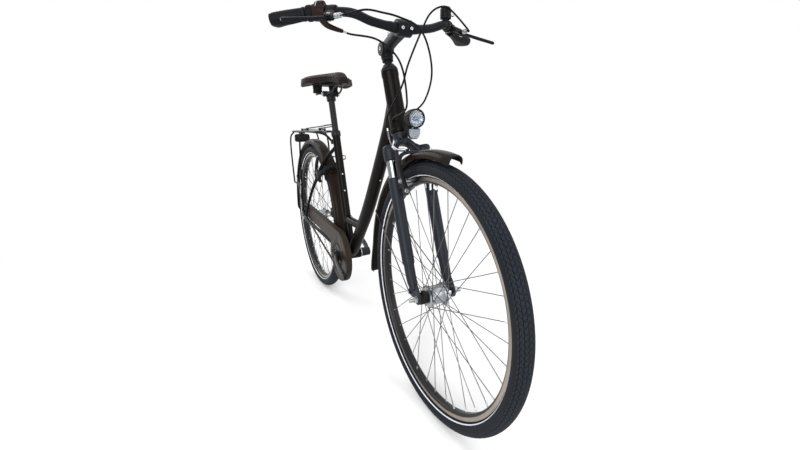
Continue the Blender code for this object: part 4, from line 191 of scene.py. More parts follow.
def frames_along(path: Sequence[Vector], closed: bool = False) -> list[tuple[Vector, Vector]]:
    """A pair of axes square to the path at each point, carried along it without twist."""
    count = len(path)
    tangents = []
    for i in range(count):
        before = path[i - 1] if closed or i > 0 else path[0]
        after = path[(i + 1) % count] if closed or i < count - 1 else path[-1]
        tangents.append((after - before).normalized())
    across = Y if abs(tangents[0].dot(Y)) < 0.9 else Z
    first = (across - tangents[0] * across.dot(tangents[0])).normalized()
    found = []
    for tangent in tangents:
        first = (first - tangent * first.dot(tangent)).normalized()
        found.append((first, tangent.cross(first)))
    return found


def in_scene(name: str, data: bpy.types.ID) -> bpy.types.Object:
    """A new object with the given data, linked to the scene."""
    made = bpy.data.objects.new(name, data)
    bpy.context.scene.collection.objects.link(made)
    return made


class Shape:
    """The points and faces of one piece, gathered from simple forms before they become a mesh."""

    def __init__(self) -> None:
        """Starts with no points and no faces."""
        self.points: list[Vector] = []
        self.faces: list[tuple[int, ...]] = []
        self.marks: list[int] = []
        self.places: list[list[tuple[float, float]]] = []

    def add(
        self,
        points: Sequence[Vector],
        faces: Sequence[Sequence[int]],
        mark: int = 0,
        places: Optional[Sequence[Sequence[tuple[float, float]]]] = None,
    ) -> None:
        """Adds one form.

        Args:
            points: its points.
            faces: its faces, as numbers into those points.
            mark: which of the piece's finishes it takes.
            places: the pattern coordinates of each face's corners, in metres.
        """
        base = len(self.points)
        self.points += list(points)
        for i, face in enumerate(faces):
            self.faces.append(tuple(base + k for k in face))
            self.marks.append(mark)
            self.places.append(list(places[i]) if places else [(0.0, 0.0)] * len(face))

    def loft(
        self, rings: Sequence[Sequence[Vector]], closed: bool = False, mark: int = 0, caps: bool = True
    ) -> None:
        """A skin over rings that hold the same number of points."""
        count = len(rings[0])
        points = [point for ring in rings for point in ring]
        centres = [sum(ring, Vector()) / count for ring in rings]
        girth = sum((rings[0][(j + 1) % count] - rings[0][j]).length for j in range(count))
        run = 0.0
        faces, places = [], []
        for i in range(len(rings) if closed else len(rings) - 1):
            there_i = (i + 1) % len(rings)
            here, there = i * count, there_i * count
            after = run + (centres[there_i] - centres[i]).length
            for j in range(count):
                k = (j + 1) % count
                faces.append((here + j, here + k, there + k, there + j))
                low, high = girth * j / count, girth * (j + 1) / count
                places.append([(run, low), (run, high), (after, high), (after, low)])
            run = after
        if caps and not closed:
            for ring in (range(count), range(len(points) - count, len(points))):
                faces.append(tuple(ring))
                places.append([(0.0, 0.0)] * count)
        self.add(points, faces, mark, places)

    def tube(
        self,
        path: Sequence[Sequence[float]],
        radius: float | Sequence[float],
        sides: int = 16,
        closed: bool = False,
        mark: int = 0,
    ) -> None:
        """A round rod along a path. The radius is one number, or one for each point."""
        places = [Vector(point) for point in path]
        radii = list(radius) if isinstance(radius, (list, tuple)) else [radius] * len(places)
        rings = []
        for point, size, (first, second) in zip(places, radii, frames_along(places, closed)):
            turns = [2 * math.pi * (k + 0.5) / sides for k in range(sides)]
            rings.append([point + (first * math.cos(t) + second * math.sin(t)) * size for t in turns])
        self.loft(rings, closed, mark)

    def lathe(
        self,
        profile: Sequence[tuple[float, float]],
        centre: Vector,
        axis: Vector = Y,
        segments: int = 32,
        ring: bool = False,
        mark: int = 0,
        marks: Optional[Sequence[int]] = None,
    ) -> None:
        """Turns (along, radius) points about an axis.

        Args:
            profile: the points. Without ring, the profile starts and ends on the axis.
            centre: where along is 0.
            axis: the direction of the axis.
            segments: how many faces go round.
            ring: whether the profile closes on itself.
            mark: which finish the faces take.
            marks: a finish for each step of the profile, in place of mark.
        """
        axis = Vector(axis).normalized()
        first, second = square_to(axis)
        points: list[Vector] = []
        rows = []
        for along, radius in profile:
            row = []
            for k in range(segments if radius > 0 else 1):
                turn = 2 * math.pi * (k + 0.5) / segments
                row.append(len(points))
                spoke = first * math.cos(turn) + second * math.sin(turn)
                points.append(centre + axis * along + spoke * radius)
            rows.append(row)
        widest = max(radius for _, radius in profile)
        run = 0.0
        for i in range(len(rows) if ring else len(rows) - 1):
            here, there = rows[i], rows[(i + 1) % len(rows)]
            step = Vector(profile[(i + 1) % len(rows)]) - Vector(profile[i])
            faces, places = [], []
            for k in range(segments):
                n = (k + 1) % segments
                low, high = 2 * math.pi * widest * k / segments, 2 * math.pi * widest * (k + 1) / segments
                if len(here) == 1:
                    faces.append((here[0], there[n], there[k]))
                    places.append([(low, run), (high, run + step.length), (low, run + step.length)])
                elif len(there) == 1:
                    faces.append((here[k], here[n], there[0]))
                    places.append([(low, run), (high, run), (low, run + step.length)])
                else:
                    faces.append((here[k], here[n], there[n], there[k]))
                    places.append([(low, run), (high, run), (high, run + step.length), (low, run + step.length)])
            run += step.length
            chosen = marks[i] if marks else mark
            base = len(self.points)
            for face, place in zip(faces, places):
                self.faces.append(tuple(base + number for number in face))
                self.marks.append(chosen)
                self.places.append(place)
        self.points += points

    def rod(
        self,
        start: Vector,
        end: Vector,
        radius: float,
        sides: int = 20,
        end_radius: Optional[float] = None,
        edge: float = 0.0,
        mark: int = 0,
    ) -> None:
        """A plain or tapered bar between two points, with its rims broken by a small edge."""
        start, end = Vector(start), Vector(end)
        length = (end - start).length
        last = radius if end_radius is None else end_radius
        edge = min(edge or min(radius, last) * 0.12, length * 0.3)
        profile = [
            (0, 0), (0, radius - edge), (edge, radius), (length - edge, last), (length, last - edge),
            (length, 0),
        ]
        self.lathe(profile, start, end - start, sides, mark=mark)

    def prism(
        self,
        outline: Sequence[tuple[float, float]],
        origin: Vector,
        across: Sequence[float],
        upward: Sequence[float],
        depth: Vector,
        edge: float = 0.0,
        mark: int = 0,
    ) -> None:
        """A flat outline of (across, upward) points, extruded by the depth vector, its rims broken if asked."""
        across, upward, depth = Vector(across), Vector(upward), Vector(depth)
        middle = sum((Vector(point) for point in outline), Vector((0, 0))) / len(outline)

        def ring(shrink: float, share: float) -> list[Vector]:
            """The outline at a share of the depth, drawn in by a length."""
            made = []
            for point in outline:
                inward = middle - Vector(point)
                moved = Vector(point) + inward.normalized() * min(shrink, inward.length * 0.5)
                made.append(origin + across * moved.x + upward * moved.y + depth * share)
            return made

        if edge > 0:
            share = edge / depth.length
            rings = [ring(edge, 0), ring(0, share), ring(0, 1 - share), ring(edge, 1)]
        else:
            rings = [ring(0, 0), ring(0, 1)]
        self.loft(rings, mark=mark)

    def sweep(
        self,
        stations: Sequence[Sequence[float]],
        steps: int,
        count: int,
        power: float,
        place: Callable[..., Vector],
    ) -> None:
        """A rounded body through sections that change along it.

        Args:
            stations: rows of numbers that place and size a section, smoothed into each other.
            steps: how many sections there are from each station to the next.
            count: how many corners a section has.
            power: how square the sections are, from 0 for a square to 1 for a circle.
            place: gives a corner's point from its cosine, its sine and the section's numbers.
        """
        rows = smooth_path(stations, steps)
        self.loft([[place(c, s, *row) for c, s in rounded(count, power)] for row in rows])

    def block(
        self,
        centre: Vector,
        size: Sequence[float],
        ahead: Vector = Vector((1, 0, 0)),
        upward: Vector = Z,
        power: float = 0.25,
        mark: int = 0,
    ) -> None:
        """A box of (ahead, side, up) size with rounded long edges and broken rims."""
        side = upward.cross(ahead)
        outline = []
        for c, s in rounded(24, power):
            outline.append((size[0] / 2 * c, size[2] / 2 * s))
        edge = min(size) * 0.12
        self.prism(outline, centre - side * size[1] / 2, ahead, upward, side * size[1], edge, mark)

    def nut(self, centre: Vector, axis: Vector, radius: float, height: float, mark: int = 0) -> None:
        """A hexagon nut with a broken rim, standing on its centre."""
        axis = Vector(axis).normalized()
        first, second = square_to(axis)
        outline = circle(radius, (math.pi * k / 3 for k in range(6)))
        self.prism(outline, centre, first, second, axis * height, radius * 0.10, mark)

    def cap_screw(self, centre: Vector, axis: Vector, radius: float, height: float, mark: int = 0) -> None:
        """A round screw head with a six-sided socket, standing on its centre."""
        axis = Vector(axis).normalized()
        edge = radius * 0.14
        profile = [
            (0, 0), (0, radius), (height - edge, radius), (height, radius - edge), (height, radius * 0.55),
        ]
        profile += [(height * 0.45, radius * 0.50), (height * 0.45, 0)]
        self.lathe(profile, centre, axis, 18, mark=mark)

    def build(self, name: str, *finishes: "Finish", angle: float = 38.0) -> bpy.types.Object:
        """The piece as an object at the origin, smooth but for edges sharper than the angle.

        Args:
            name: the object's name.
            finishes: one for each mark that was used.
            angle: in degrees, the sharpest fold that stays smooth.

        Returns:
            The object, linked to the scene.
        """
        mesh = bpy.data.meshes.new(name)
        mesh.from_pydata([tuple(point) for point in self.points], [], self.faces)
        layer = mesh.uv_layers.new(name="metres")
        corner = 0
        for polygon, mark, places in zip(mesh.polygons, self.marks, self.places):
            polygon.material_index = mark
            for place in places:
                layer.data[corner].uv = place
                corner += 1
        for finish in finishes:
            mesh.materials.append(finish.material())
        work = bmesh.new()
        work.from_mesh(mesh)
        bmesh.ops.recalc_face_normals(work, faces=work.faces)
        work.to_mesh(mesh)
        work.free()
        mesh.shade_smooth()
        mesh.set_sharp_from_angle(angle=math.radians(angle))
        return in_scene(name, mesh)


def settle(piece: bpy.types.Object, body: str, slot: str, *nodes: str) -> bpy.types.Object:
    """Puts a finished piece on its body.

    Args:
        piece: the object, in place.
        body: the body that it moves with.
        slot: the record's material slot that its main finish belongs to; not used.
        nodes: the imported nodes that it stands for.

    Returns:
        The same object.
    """
    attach(piece, body)
    if nodes:
        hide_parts(*nodes)
    LOG.info("%s rides on %s", piece.name, body)
    return piece


class Pattern(Enum):
    """What a finish adds to its plain colour."""

    PLAIN = "fine grain only"
    BRUSHED = "lines along the piece"
    LEATHER = "cells with creases"
    TREAD = "slanted grooves"


class Nodes:
    """Adds nodes to a tree. Each input takes a plain value, a socket, or a node for its first output."""

    def __init__(self, tree: bpy.types.NodeTree) -> None:
        """Works on the given tree."""
        self.tree = tree

    def feed(self, target: bpy.types.NodeSocket, value: object) -> None:
        """Links what comes from another node to an input, or sets its default."""
        if isinstance(value, bpy.types.Node):
            value = value.outputs[0]
        if isinstance(value, bpy.types.NodeSocket):
            self.tree.links.new(value, target)
        elif value is not None:
            target.default_value = value

    def add(self, kind: str, inputs: Optional[dict] = None, **settings: object) -> bpy.types.Node:
        """A new node.

        Args:
            kind: its type.
            inputs: what its inputs take, by name or number.
            settings: its own properties.

        Returns:
            The node.
        """
        node = self.tree.nodes.new(kind)
        for key, value in settings.items():
            setattr(node, key, value)
        for key, value in (inputs or {}).items():
            self.feed(node.inputs[key], value)
        return node

    def math(self, operation: str, first: object, second: object = None) -> bpy.types.NodeSocket:
        """One step of arithmetic on two sockets or numbers."""
        return self.add("ShaderNodeMath", {0: first, 1: second}, operation=operation).outputs[0]

    def mix(self, share: object, first: object, second: object) -> bpy.types.NodeSocket:
        """A colour between two colours."""
        inputs = {"Factor": share, "A": first, "B": second}
        return self.add("ShaderNodeMix", inputs, data_type="RGBA").outputs["Result"]


def node_group(
    name: str, kind: str, inputs: dict, outputs: dict[str, str], fill: Callable,
) -> bpy.types.NodeTree:
    """A node group that several pieces share, built at its first use.

    Args:
        name: the group's name.
        kind: Shader or Geometry.
        inputs: for each input its kind of socket, and its default if it has one.
        outputs: for each output its kind of socket.
        fill: adds the group's nodes, from its inputs, and says what each output takes.

    Returns:
        The group's tree.
    """
    found = bpy.data.node_groups.get(name)
    if found:
        return found
    tree = bpy.data.node_groups.new(name, kind + "NodeTree")
    for label, (socket, *default) in inputs.items():
        made = tree.interface.new_socket(label, in_out="INPUT", socket_type="NodeSocket" + socket)
        if default:
            made.default_value = default[0]
    for label, socket in outputs.items():
        tree.interface.new_socket(label, in_out="OUTPUT", socket_type="NodeSocket" + socket)
    nodes = Nodes(tree)
    nodes.add("NodeGroupOutput", fill(nodes, nodes.add("NodeGroupInput").outputs))
    return tree


class ShaderParts:
    """The node groups that several finishes share, each built once."""

    @staticmethod
    def mottle() -> bpy.types.NodeTree:
        """Large soft changes of colour and roughness, and fine grain as height."""

        def fill(nodes: Nodes, given: bpy.types.NodeOutputs) -> dict[str, object]:
            """Two noises: the large one shifts colour and roughness, the small one is the grain."""
            where = given["Vector"]
            large = nodes.add(
                "ShaderNodeTexNoise", {"Vector": where, "Scale": given["Mottle Scale"], "Detail": 5.0},
            )
            small = nodes.add(
                "ShaderNodeTexNoise", {"Vector": where, "Scale": given["Grain Scale"], "Detail": 2.0},
            )
            share = nodes.add("ShaderNodeMapRange", {"Value": large, "From Min": 0.3, "From Max": 0.7})
            change = nodes.math("MULTIPLY", nodes.math("SUBTRACT", large, 0.5), given["Spread"])
            return {
                "Colour": nodes.mix(share, given["Colour"], given["Shade"]),
                "Roughness": nodes.math("ADD", given["Roughness"], change),
                "Height": small,
            }

        inputs = {
            "Vector": ("Vector",),
            "Colour": ("Color", (0.5, 0.5, 0.5, 1)),
            "Shade": ("Color", (0.4, 0.4, 0.4, 1)),
            "Mottle Scale": ("Float", 8.0),
            "Roughness": ("Float", 0.5),
            "Spread": ("Float", 0.1),
            "Grain Scale": ("Float", 900.0),
        }
        outputs = {"Colour": "Color", "Roughness": "Float", "Height": "Float"}
        return node_group("mottle_and_grain", "Shader", inputs, outputs, fill)

    @staticmethod
    def lines() -> bpy.types.NodeTree:
        """Fine lines drawn out along the pattern's first axis, as height."""

        def fill(nodes: Nodes, given: bpy.types.NodeOutputs) -> dict[str, object]:
            """A noise that is stretched along one axis."""
            sizes = {"X": given["Along"], "Y": given["Across"], "Z": given["Across"]}
            join = nodes.add("ShaderNodeCombineXYZ", sizes)
            stretch = nodes.add("ShaderNodeVectorMath", {0: given["Vector"], 1: join}, operation="MULTIPLY")
            takes = {"Vector": stretch, "Scale": 1.0, "Detail": 3.0}
            return {"Height": nodes.add("ShaderNodeTexNoise", takes)}

        inputs = {"Vector": ("Vector",), "Along": ("Float", 30.0), "Across": ("Float", 3000.0)}
        return node_group("drawn_lines", "Shader", inputs, {"Height": "Float"}, fill)

    @staticmethod
    def cells() -> bpy.types.NodeTree:
        """Leather cells, as height that falls into the creases."""

        def fill(nodes: Nodes, given: bpy.types.NodeOutputs) -> dict[str, object]:
            """Cells whose height levels off a little way in from their edges."""
            takes = {"Vector": given["Vector"], "Scale": given["Scale"]}
            cell = nodes.add("ShaderNodeTexVoronoi", takes, feature="DISTANCE_TO_EDGE")
            return {"Height": nodes.add("ShaderNodeMapRange", {"Value": cell, "From Max": 0.18})}

        inputs = {"Vector": ("Vector",), "Scale": ("Float", 420.0)}
        return node_group("leather_cells", "Shader", inputs, {"Height": "Float"}, fill)

    @staticmethod
    def grooves() -> bpy.types.NodeTree:
        """Slanted grooves in bands either side of a strip's middle, with lines between them, as height."""
        band_width, groove, line = 0.0092, 0.13, 0.11

        def fill(nodes: Nodes, given: bpy.types.NodeOutputs) -> dict[str, object]:
            """Measures each point's band and its place in the pitch, then takes the nearer hollow."""
            do = nodes.math
            split = nodes.add("ShaderNodeSeparateXYZ", {0: given["Vector"]}).outputs
            across = do("ABSOLUTE", do("SUBTRACT", split["Y"], given["Middle"]))
            band = do("DIVIDE", across, band_width)
            side = do("SUBTRACT", do("MULTIPLY", do("MODULO", do("FLOOR", band), 2.0), 2.0), 1.0)
            lean = do("MULTIPLY", do("MULTIPLY", across, side), given["Slant"])
            phase = do("FRACT", do("DIVIDE", do("ADD", split["X"], lean), given["Pitch"]))
            cut = do("MINIMUM", do("ABSOLUTE", do("SUBTRACT", phase, 0.5)), groove)
            edge = do("MINIMUM", do("ABSOLUTE", do("SUBTRACT", do("FRACT", band), 0.5)), line)
            return {"Height": do("MINIMUM", do("DIVIDE", cut, groove), do("DIVIDE", edge, line))}

        inputs = {
            "Vector": ("Vector",), "Middle": ("Float", 0.0), "Pitch": ("Float", 0.0115),
            "Slant": ("Float", 0.8),
        }
        return node_group("slanted_grooves", "Shader", inputs, {"Height": "Float"}, fill)


@dataclass(frozen=True)
class Finish:
    """One surface of the bike: its colours, gloss and relief."""

    name: str
    slot: str
    colour: tuple[float, float, float]
    shade: tuple[float, float, float]
    roughness: float = 0.5
    spread: float = 0.12
    metallic: float = 0.0
    mottle: float = 9.0
    grain: float = 900.0
    relief: float = 0.0001
    pattern: Pattern = Pattern.PLAIN
    strength: float = 0.8
    pattern_size: float = 420.0
    pattern_middle: float = 0.0
    specular: float = 0.2
    transmission: float = 0.0

    def material(self) -> bpy.types.Material:
        """The finish as a node material, made at its first use."""
        found = bpy.data.materials.get(self.name)
        if found:
            return found
        made = bpy.data.materials.new(self.name)
        made.use_nodes = True
        nodes = Nodes(made.node_tree)
        where = nodes.add("ShaderNodeTexCoord").outputs
        takes = {
            "Vector": where["Object"],
            "Colour": (*self.colour, 1),
            "Shade": (*self.shade, 1),
            "Mottle Scale": self.mottle,
            "Roughness": self.roughness,
            "Spread": self.spread,
            "Grain Scale": self.grain,
        }
        base = nodes.add("ShaderNodeGroup", takes, node_tree=ShaderParts.mottle()).outputs
        takes = {"Distance": self.relief, "Strength": 0.5, "Height": base["Height"]}
        colour, normal = base["Colour"], nodes.add("ShaderNodeBump", takes).outputs[0]
        if self.pattern is not Pattern.PLAIN:
            colour, normal = self._patterned(nodes, where, colour, normal)
        takes = {
            "Base Color": colour,
            "Roughness": base["Roughness"],
            "Metallic": self.metallic,
            "Specular IOR Level": 0.5 if self.metallic else self.specular,
            "Transmission Weight": self.transmission,
            "Normal": normal,
        }
        for key, value in takes.items():
            nodes.feed(made.node_tree.nodes["Principled BSDF"].inputs[key], value)
        return made

    def _patterned(
        self, nodes: Nodes, where: bpy.types.NodeOutputs, colour: bpy.types.NodeSocket, normal: bpy.types.NodeSocket
    ) -> tuple[bpy.types.NodeSocket, bpy.types.NodeSocket]:
        """Adds the finish's own pattern as a second bump, and paints shade into the hollows of a tread.

        Args:
            nodes: the material's nodes.
            where: its texture coordinates.
            colour: the colour so far.
            normal: the normal so far.

        Returns:
            The colour and the normal with the pattern on them.
        """
        if self.pattern is Pattern.TREAD:
            takes = {"Middle": self.pattern_middle, "Pitch": self.pattern_size, "Slant": 1.3}
            tree, place, depth = ShaderParts.grooves(), "UV", 0.0014
        elif self.pattern is Pattern.BRUSHED:
            takes = {"Across": self.pattern_size}
            tree, place, depth = ShaderParts.lines(), "UV", 0.00006
        else:
            takes = {"Scale": self.pattern_size}
            tree, place, depth = ShaderParts.cells(), "Object", 0.0003
        height = nodes.add("ShaderNodeGroup", {**takes, "Vector": where[place]}, node_tree=tree).outputs[0]
        # Painted shade: a tread's groove hollows are darkened to 0.12 of its colour, as shade lying in the grooves.
        if self.pattern is Pattern.TREAD:
            colour = nodes.mix(height, (*[value * 0.12 for value in self.colour], 1), colour)
        takes = {"Distance": depth, "Strength": self.strength, "Height": height, "Normal": normal}
        return colour, nodes.add("ShaderNodeBump", takes).outputs[0]


FRAME_PAINT = Finish(
    "frame_paint", "frame_black", (0.0032, 0.0027, 0.0027), (0.0058, 0.0047, 0.0042), 0.28, specular=0.05,
)
FORK_PAINT = Finish(
    "fork_paint", "frame_black", (0.0082, 0.0112, 0.0160), (0.0118, 0.0150, 0.0205), 0.44, specular=0.14,
)
MUDGUARD = Finish(
    "mudguard_brown", "frame_brown", (0.0085, 0.0056, 0.0043), (0.0150, 0.0098, 0.0075), 0.26, specular=0.04,
)
BAR_PAINT = Finish(
    "bar_paint", "frame_black", (0.0060, 0.0068, 0.0088), (0.0085, 0.0096, 0.0118), 0.34, specular=0.05,
)
GUARD = Finish(
    "guard_plastic", "guard_brown", (0.0190, 0.0138, 0.0105), (0.0290, 0.0215, 0.0165), 0.42, grain=1500.0,
    specular=0.07,
)
TREAD = Finish(
    "tyre_tread", "tyre_rubber", (0.0125, 0.0155, 0.0210), (0.0175, 0.0210, 0.0280), 0.72,
    pattern=Pattern.TREAD, pattern_size=0.0132, strength=1.0, specular=0.08,
)
SIDEWALL = Finish(
    "tyre_sidewall", "tyre_rubber", (0.0080, 0.0090, 0.0110), (0.0110, 0.0120, 0.0145), 0.62, specular=0.08,
)
STRIPE = Finish(
    "reflecting_stripe", "tyre_rubber", (0.62, 0.65, 0.70), (0.50, 0.53, 0.58), 0.40, specular=0.5,
)
GRIP_RUBBER = Finish(
    "grip_skin", "grip_rubber", (0.0046, 0.0050, 0.0058), (0.0072, 0.0076, 0.0086), 0.52,
    pattern=Pattern.LEATHER, pattern_size=700.0, strength=0.3, specular=0.06,
)
CABLE = Finish(
    "cable_jacket", "cable_sleeve", (0.0038, 0.0040, 0.0046), (0.0055, 0.0058, 0.0066), 0.40, specular=0.04,
)
SILVER = Finish(
    "cast_silver", "silver", (0.36, 0.38, 0.40), (0.27, 0.285, 0.30), 0.36, metallic=1.0,
    pattern=Pattern.BRUSHED, pattern_size=2600.0,
)
BOLT = Finish(
    "bolt_steel", "silver", (0.46, 0.47, 0.48), (0.34, 0.35, 0.36), 0.28, metallic=1.0, grain=2500.0,
)
CHROME = Finish(
    "hard_chrome", "chrome", (0.26, 0.27, 0.285), (0.20, 0.21, 0.225), 0.14, spread=0.04, metallic=1.0,
)
RIM_BLACK = Finish(
    "rim_black", "rim", (0.0085, 0.0085, 0.0095), (0.0130, 0.0130, 0.0140), 0.36, specular=0.15,
)
BRAKE_TRACK = Finish(
    "brake_track", "rim", (0.34, 0.30, 0.26), (0.235, 0.205, 0.178), 0.34, metallic=1.0,
    pattern=Pattern.BRUSHED, pattern_size=4200.0,
)
SPOKE_STEEL = Finish("spoke_steel", "silver", (0.105, 0.105, 0.11), (0.070, 0.070, 0.075), 0.34, metallic=1.0)
STEEL = Finish(
    "worked_steel", "steel", (0.105, 0.105, 0.11), (0.070, 0.070, 0.074), 0.38, metallic=1.0,
    pattern=Pattern.BRUSHED, pattern_size=2400.0,
)
CHAIN_STEEL = Finish("chain_steel", "steel", (0.070, 0.062, 0.055), (0.040, 0.036, 0.032), 0.42, metallic=1.0)
PLASTIC = Finish(
    "moulded_plastic", "plastic", (0.0085, 0.0085, 0.0095), (0.0120, 0.0120, 0.0130), 0.50, grain=1800.0,
    specular=0.06,
)
SHIFTER_RED = Finish(
    "shifter_plastic", "plastic", (0.0120, 0.0074, 0.0068), (0.0175, 0.0105, 0.0095), 0.42, specular=0.06,
)
CRANK_PAINT = Finish(
    "crank_paint", "crank_black", (0.0080, 0.0083, 0.0095), (0.0115, 0.0118, 0.0130), 0.40, specular=0.14,
)
LENS = Finish(
    "clear_lens", "lens", (0.78, 0.84, 0.90), (0.72, 0.78, 0.85), 0.04, spread=0.02, specular=0.5, transmission=0.92,
)
LAMP_MIRROR = Finish(
    "lamp_mirror", "lens", (0.62, 0.68, 0.74), (0.20, 0.24, 0.28), 0.10, metallic=1.0, mottle=130.0,
)
REFLECTOR = Finish(
    "reflector_face", "lens", (0.24, 0.27, 0.31), (0.15, 0.17, 0.20), 0.16, mottle=240.0, specular=0.5,
)
LAMP_RED = Finish("lamp_red", "red_lens", (0.30, 0.010, 0.010), (0.22, 0.008, 0.008), 0.12, specular=0.5)
SADDLE_SKIN = Finish(
    "saddle_skin", "leather", (0.0105, 0.0080, 0.0070), (0.0160, 0.0122, 0.0105), 0.50,
    pattern=Pattern.LEATHER, pattern_size=520.0, strength=0.22, specular=0.05,
)
THREAD = Finish("sewing_thread", "leather", (0.0180, 0.0160, 0.0150), (0.0240, 0.0215, 0.0200), 0.8)
SPRING_RUBBER = Finish(
    "spring_rubber", "grip_rubber", (0.0080, 0.0080, 0.0085), (0.0110, 0.0110, 0.0115), 0.55, specular=0.05,
)


def apply_modifiers(piece: bpy.types.Object) -> None:
    """Makes what a piece's modifiers show its own mesh."""
    bpy.context.view_layer.update()
    shown = piece.evaluated_get(bpy.context.evaluated_depsgraph_get())
    mesh, old = bpy.data.meshes.new_from_object(shown), piece.data
    piece.modifiers.clear()
    piece.data = mesh
    bpy.data.meshes.remove(old)


def cut_away(piece: bpy.types.Object, finish: Finish, *tools: Shape) -> None:
    """Cuts closed forms out of a piece, and gives the cut faces its finish."""
    cutters = [tool.build("cutter", finish) for tool in tools]
    for cutter in cutters:
        cut = piece.modifiers.new("cut", "BOOLEAN")
        cut.operation, cut.solver, cut.object = "DIFFERENCE", "EXACT", cutter
    apply_modifiers(piece)
    for cutter in cutters:
        bpy.data.objects.remove(cutter)


class Repeats:
    """Geometry Nodes that repeat a small form round an axis or along a path."""

    @classmethod
    def round_tree(cls) -> bpy.types.NodeTree:
        """Copies turned about a crosswise axis through a centre."""

        def fill(nodes: Nodes, given: bpy.types.NodeOutputs) -> dict[str, object]:
            """Moves the form to the origin, turns its copies there and moves them back."""
            away = nodes.add("ShaderNodeVectorMath", {0: given["Centre"], "Scale": -1.0}, operation="SCALE")
            form = nodes.add("GeometryNodeTransform", {"Geometry": given["Geometry"], "Translation": away})
            step = nodes.math("DIVIDE", 2 * math.pi, given["Count"])
            turn = nodes.math("MULTIPLY", step, nodes.add("GeometryNodeInputIndex"))
            takes = {
                "Points": nodes.add("GeometryNodePoints", {"Count": given["Count"]}),
                "Instance": form,
                "Rotation": nodes.add("ShaderNodeCombineXYZ", {"Y": turn}),
            }
            copies = nodes.add("GeometryNodeInstanceOnPoints", takes)
            home = nodes.add("GeometryNodeTransform", {"Geometry": copies, "Translation": given["Centre"]})
            return cls._painted(nodes, home, given["Material"])

        inputs = {
            "Geometry": ("Geometry",), "Count": ("Int", 8), "Centre": ("Vector",), "Material": ("Material",),
        }
        return node_group("repeat_round", "Geometry", inputs, {"Geometry": "Geometry"}, fill)

    @staticmethod
    def _painted(nodes: Nodes, copies: bpy.types.Node, material: bpy.types.NodeSocket) -> dict[str, object]:
        """The copies as plain mesh with their material."""
        real = nodes.add("GeometryNodeRealizeInstances", {0: copies})
        return {"Geometry": nodes.add("GeometryNodeSetMaterial", {"Geometry": real, "Material": material})}

    @classmethod
    def path_tree(cls) -> bpy.types.NodeTree:
        """Copies of a form set along a path at even steps, turned to follow it."""

        def fill(nodes: Nodes, given: bpy.types.NodeOutputs) -> dict[str, object]:
            """Divides the path evenly and sets a copy of the form on each point."""
            curve = nodes.add("GeometryNodeMeshToCurve", {"Mesh": given["Geometry"]})
            tangent = {"Vector": nodes.add("GeometryNodeInputTangent")}
            takes = {
                "Points": nodes.add("GeometryNodeResampleCurve", {"Curve": curve, "Count": given["Count"]}),
                "Instance": nodes.add(
                    "GeometryNodeObjectInfo", {"Object": given["Form"]},
                ).outputs["Geometry"],
                "Rotation": nodes.add("FunctionNodeAlignRotationToVector", tangent, axis="X", pivot_axis="Y"),
            }
            return cls._painted(nodes, nodes.add("GeometryNodeInstanceOnPoints", takes), given["Material"])

        inputs = {
            "Geometry": ("Geometry",), "Form": ("Object",), "Count": ("Int", 8), "Material": ("Material",),
        }
        return node_group("repeat_along_path", "Geometry", inputs, {"Geometry": "Geometry"}, fill)

    @staticmethod
    def _bake(
        piece: bpy.types.Object, tree: bpy.types.NodeTree, values: dict[str, object],
    ) -> bpy.types.Object:
        """Runs a tree on an object and keeps its result as a plain mesh."""
        modifier = piece.modifiers.new("repeat", "NODES")
        modifier.node_group = tree
        for item in tree.interface.items_tree:
            if item.item_type == "SOCKET" and item.in_out == "INPUT" and item.name in values:
                modifier[item.identifier] = values[item.name]
        piece.update_tag()
        apply_modifiers(piece)
        return piece

    @classmethod
    def around(cls, form: bpy.types.Object, count: int, centre: Vector, finish: Finish) -> bpy.types.Object:
        """Turns one form into a ring of them about a crosswise axis.

        Args:
            form: the object that holds one form, in its first place.
            count: how many there are.
            centre: a point on the axis.
            finish: what they are made of.

        Returns:
            The same object with all of them in its mesh.
        """
        values = {"Count": count, "Centre": tuple(centre), "Material": finish.material()}
        return cls._bake(form, cls.round_tree(), values)

    @classmethod
    def along(
        cls, name: str, form: bpy.types.Object, path: Sequence[Vector], count: int, finish: Finish, closed: bool = True
    ) -> bpy.types.Object:
        """Sets copies of a form along a path.

        Args:
            name: the new object's name.
            form: one form round the origin, its length along +X. It is removed.
            path: the points that the copies follow.
            count: how many there are.
            finish: what they are made of.
            closed: whether the path joins its own start.

        Returns:
            A new object with all the copies.
        """
        mesh = bpy.data.meshes.new(name)
        edges = [(i, i + 1) for i in range(len(path) - 1)]
        if closed:
            edges.append((len(path) - 1, 0))
        mesh.from_pydata([tuple(point) for point in path], edges, [])
        made = in_scene(name, mesh)
        values = {"Form": form, "Count": count, "Material": finish.material()}
        cls._bake(made, cls.path_tree(), values)
        bpy.data.objects.remove(form)
        return made


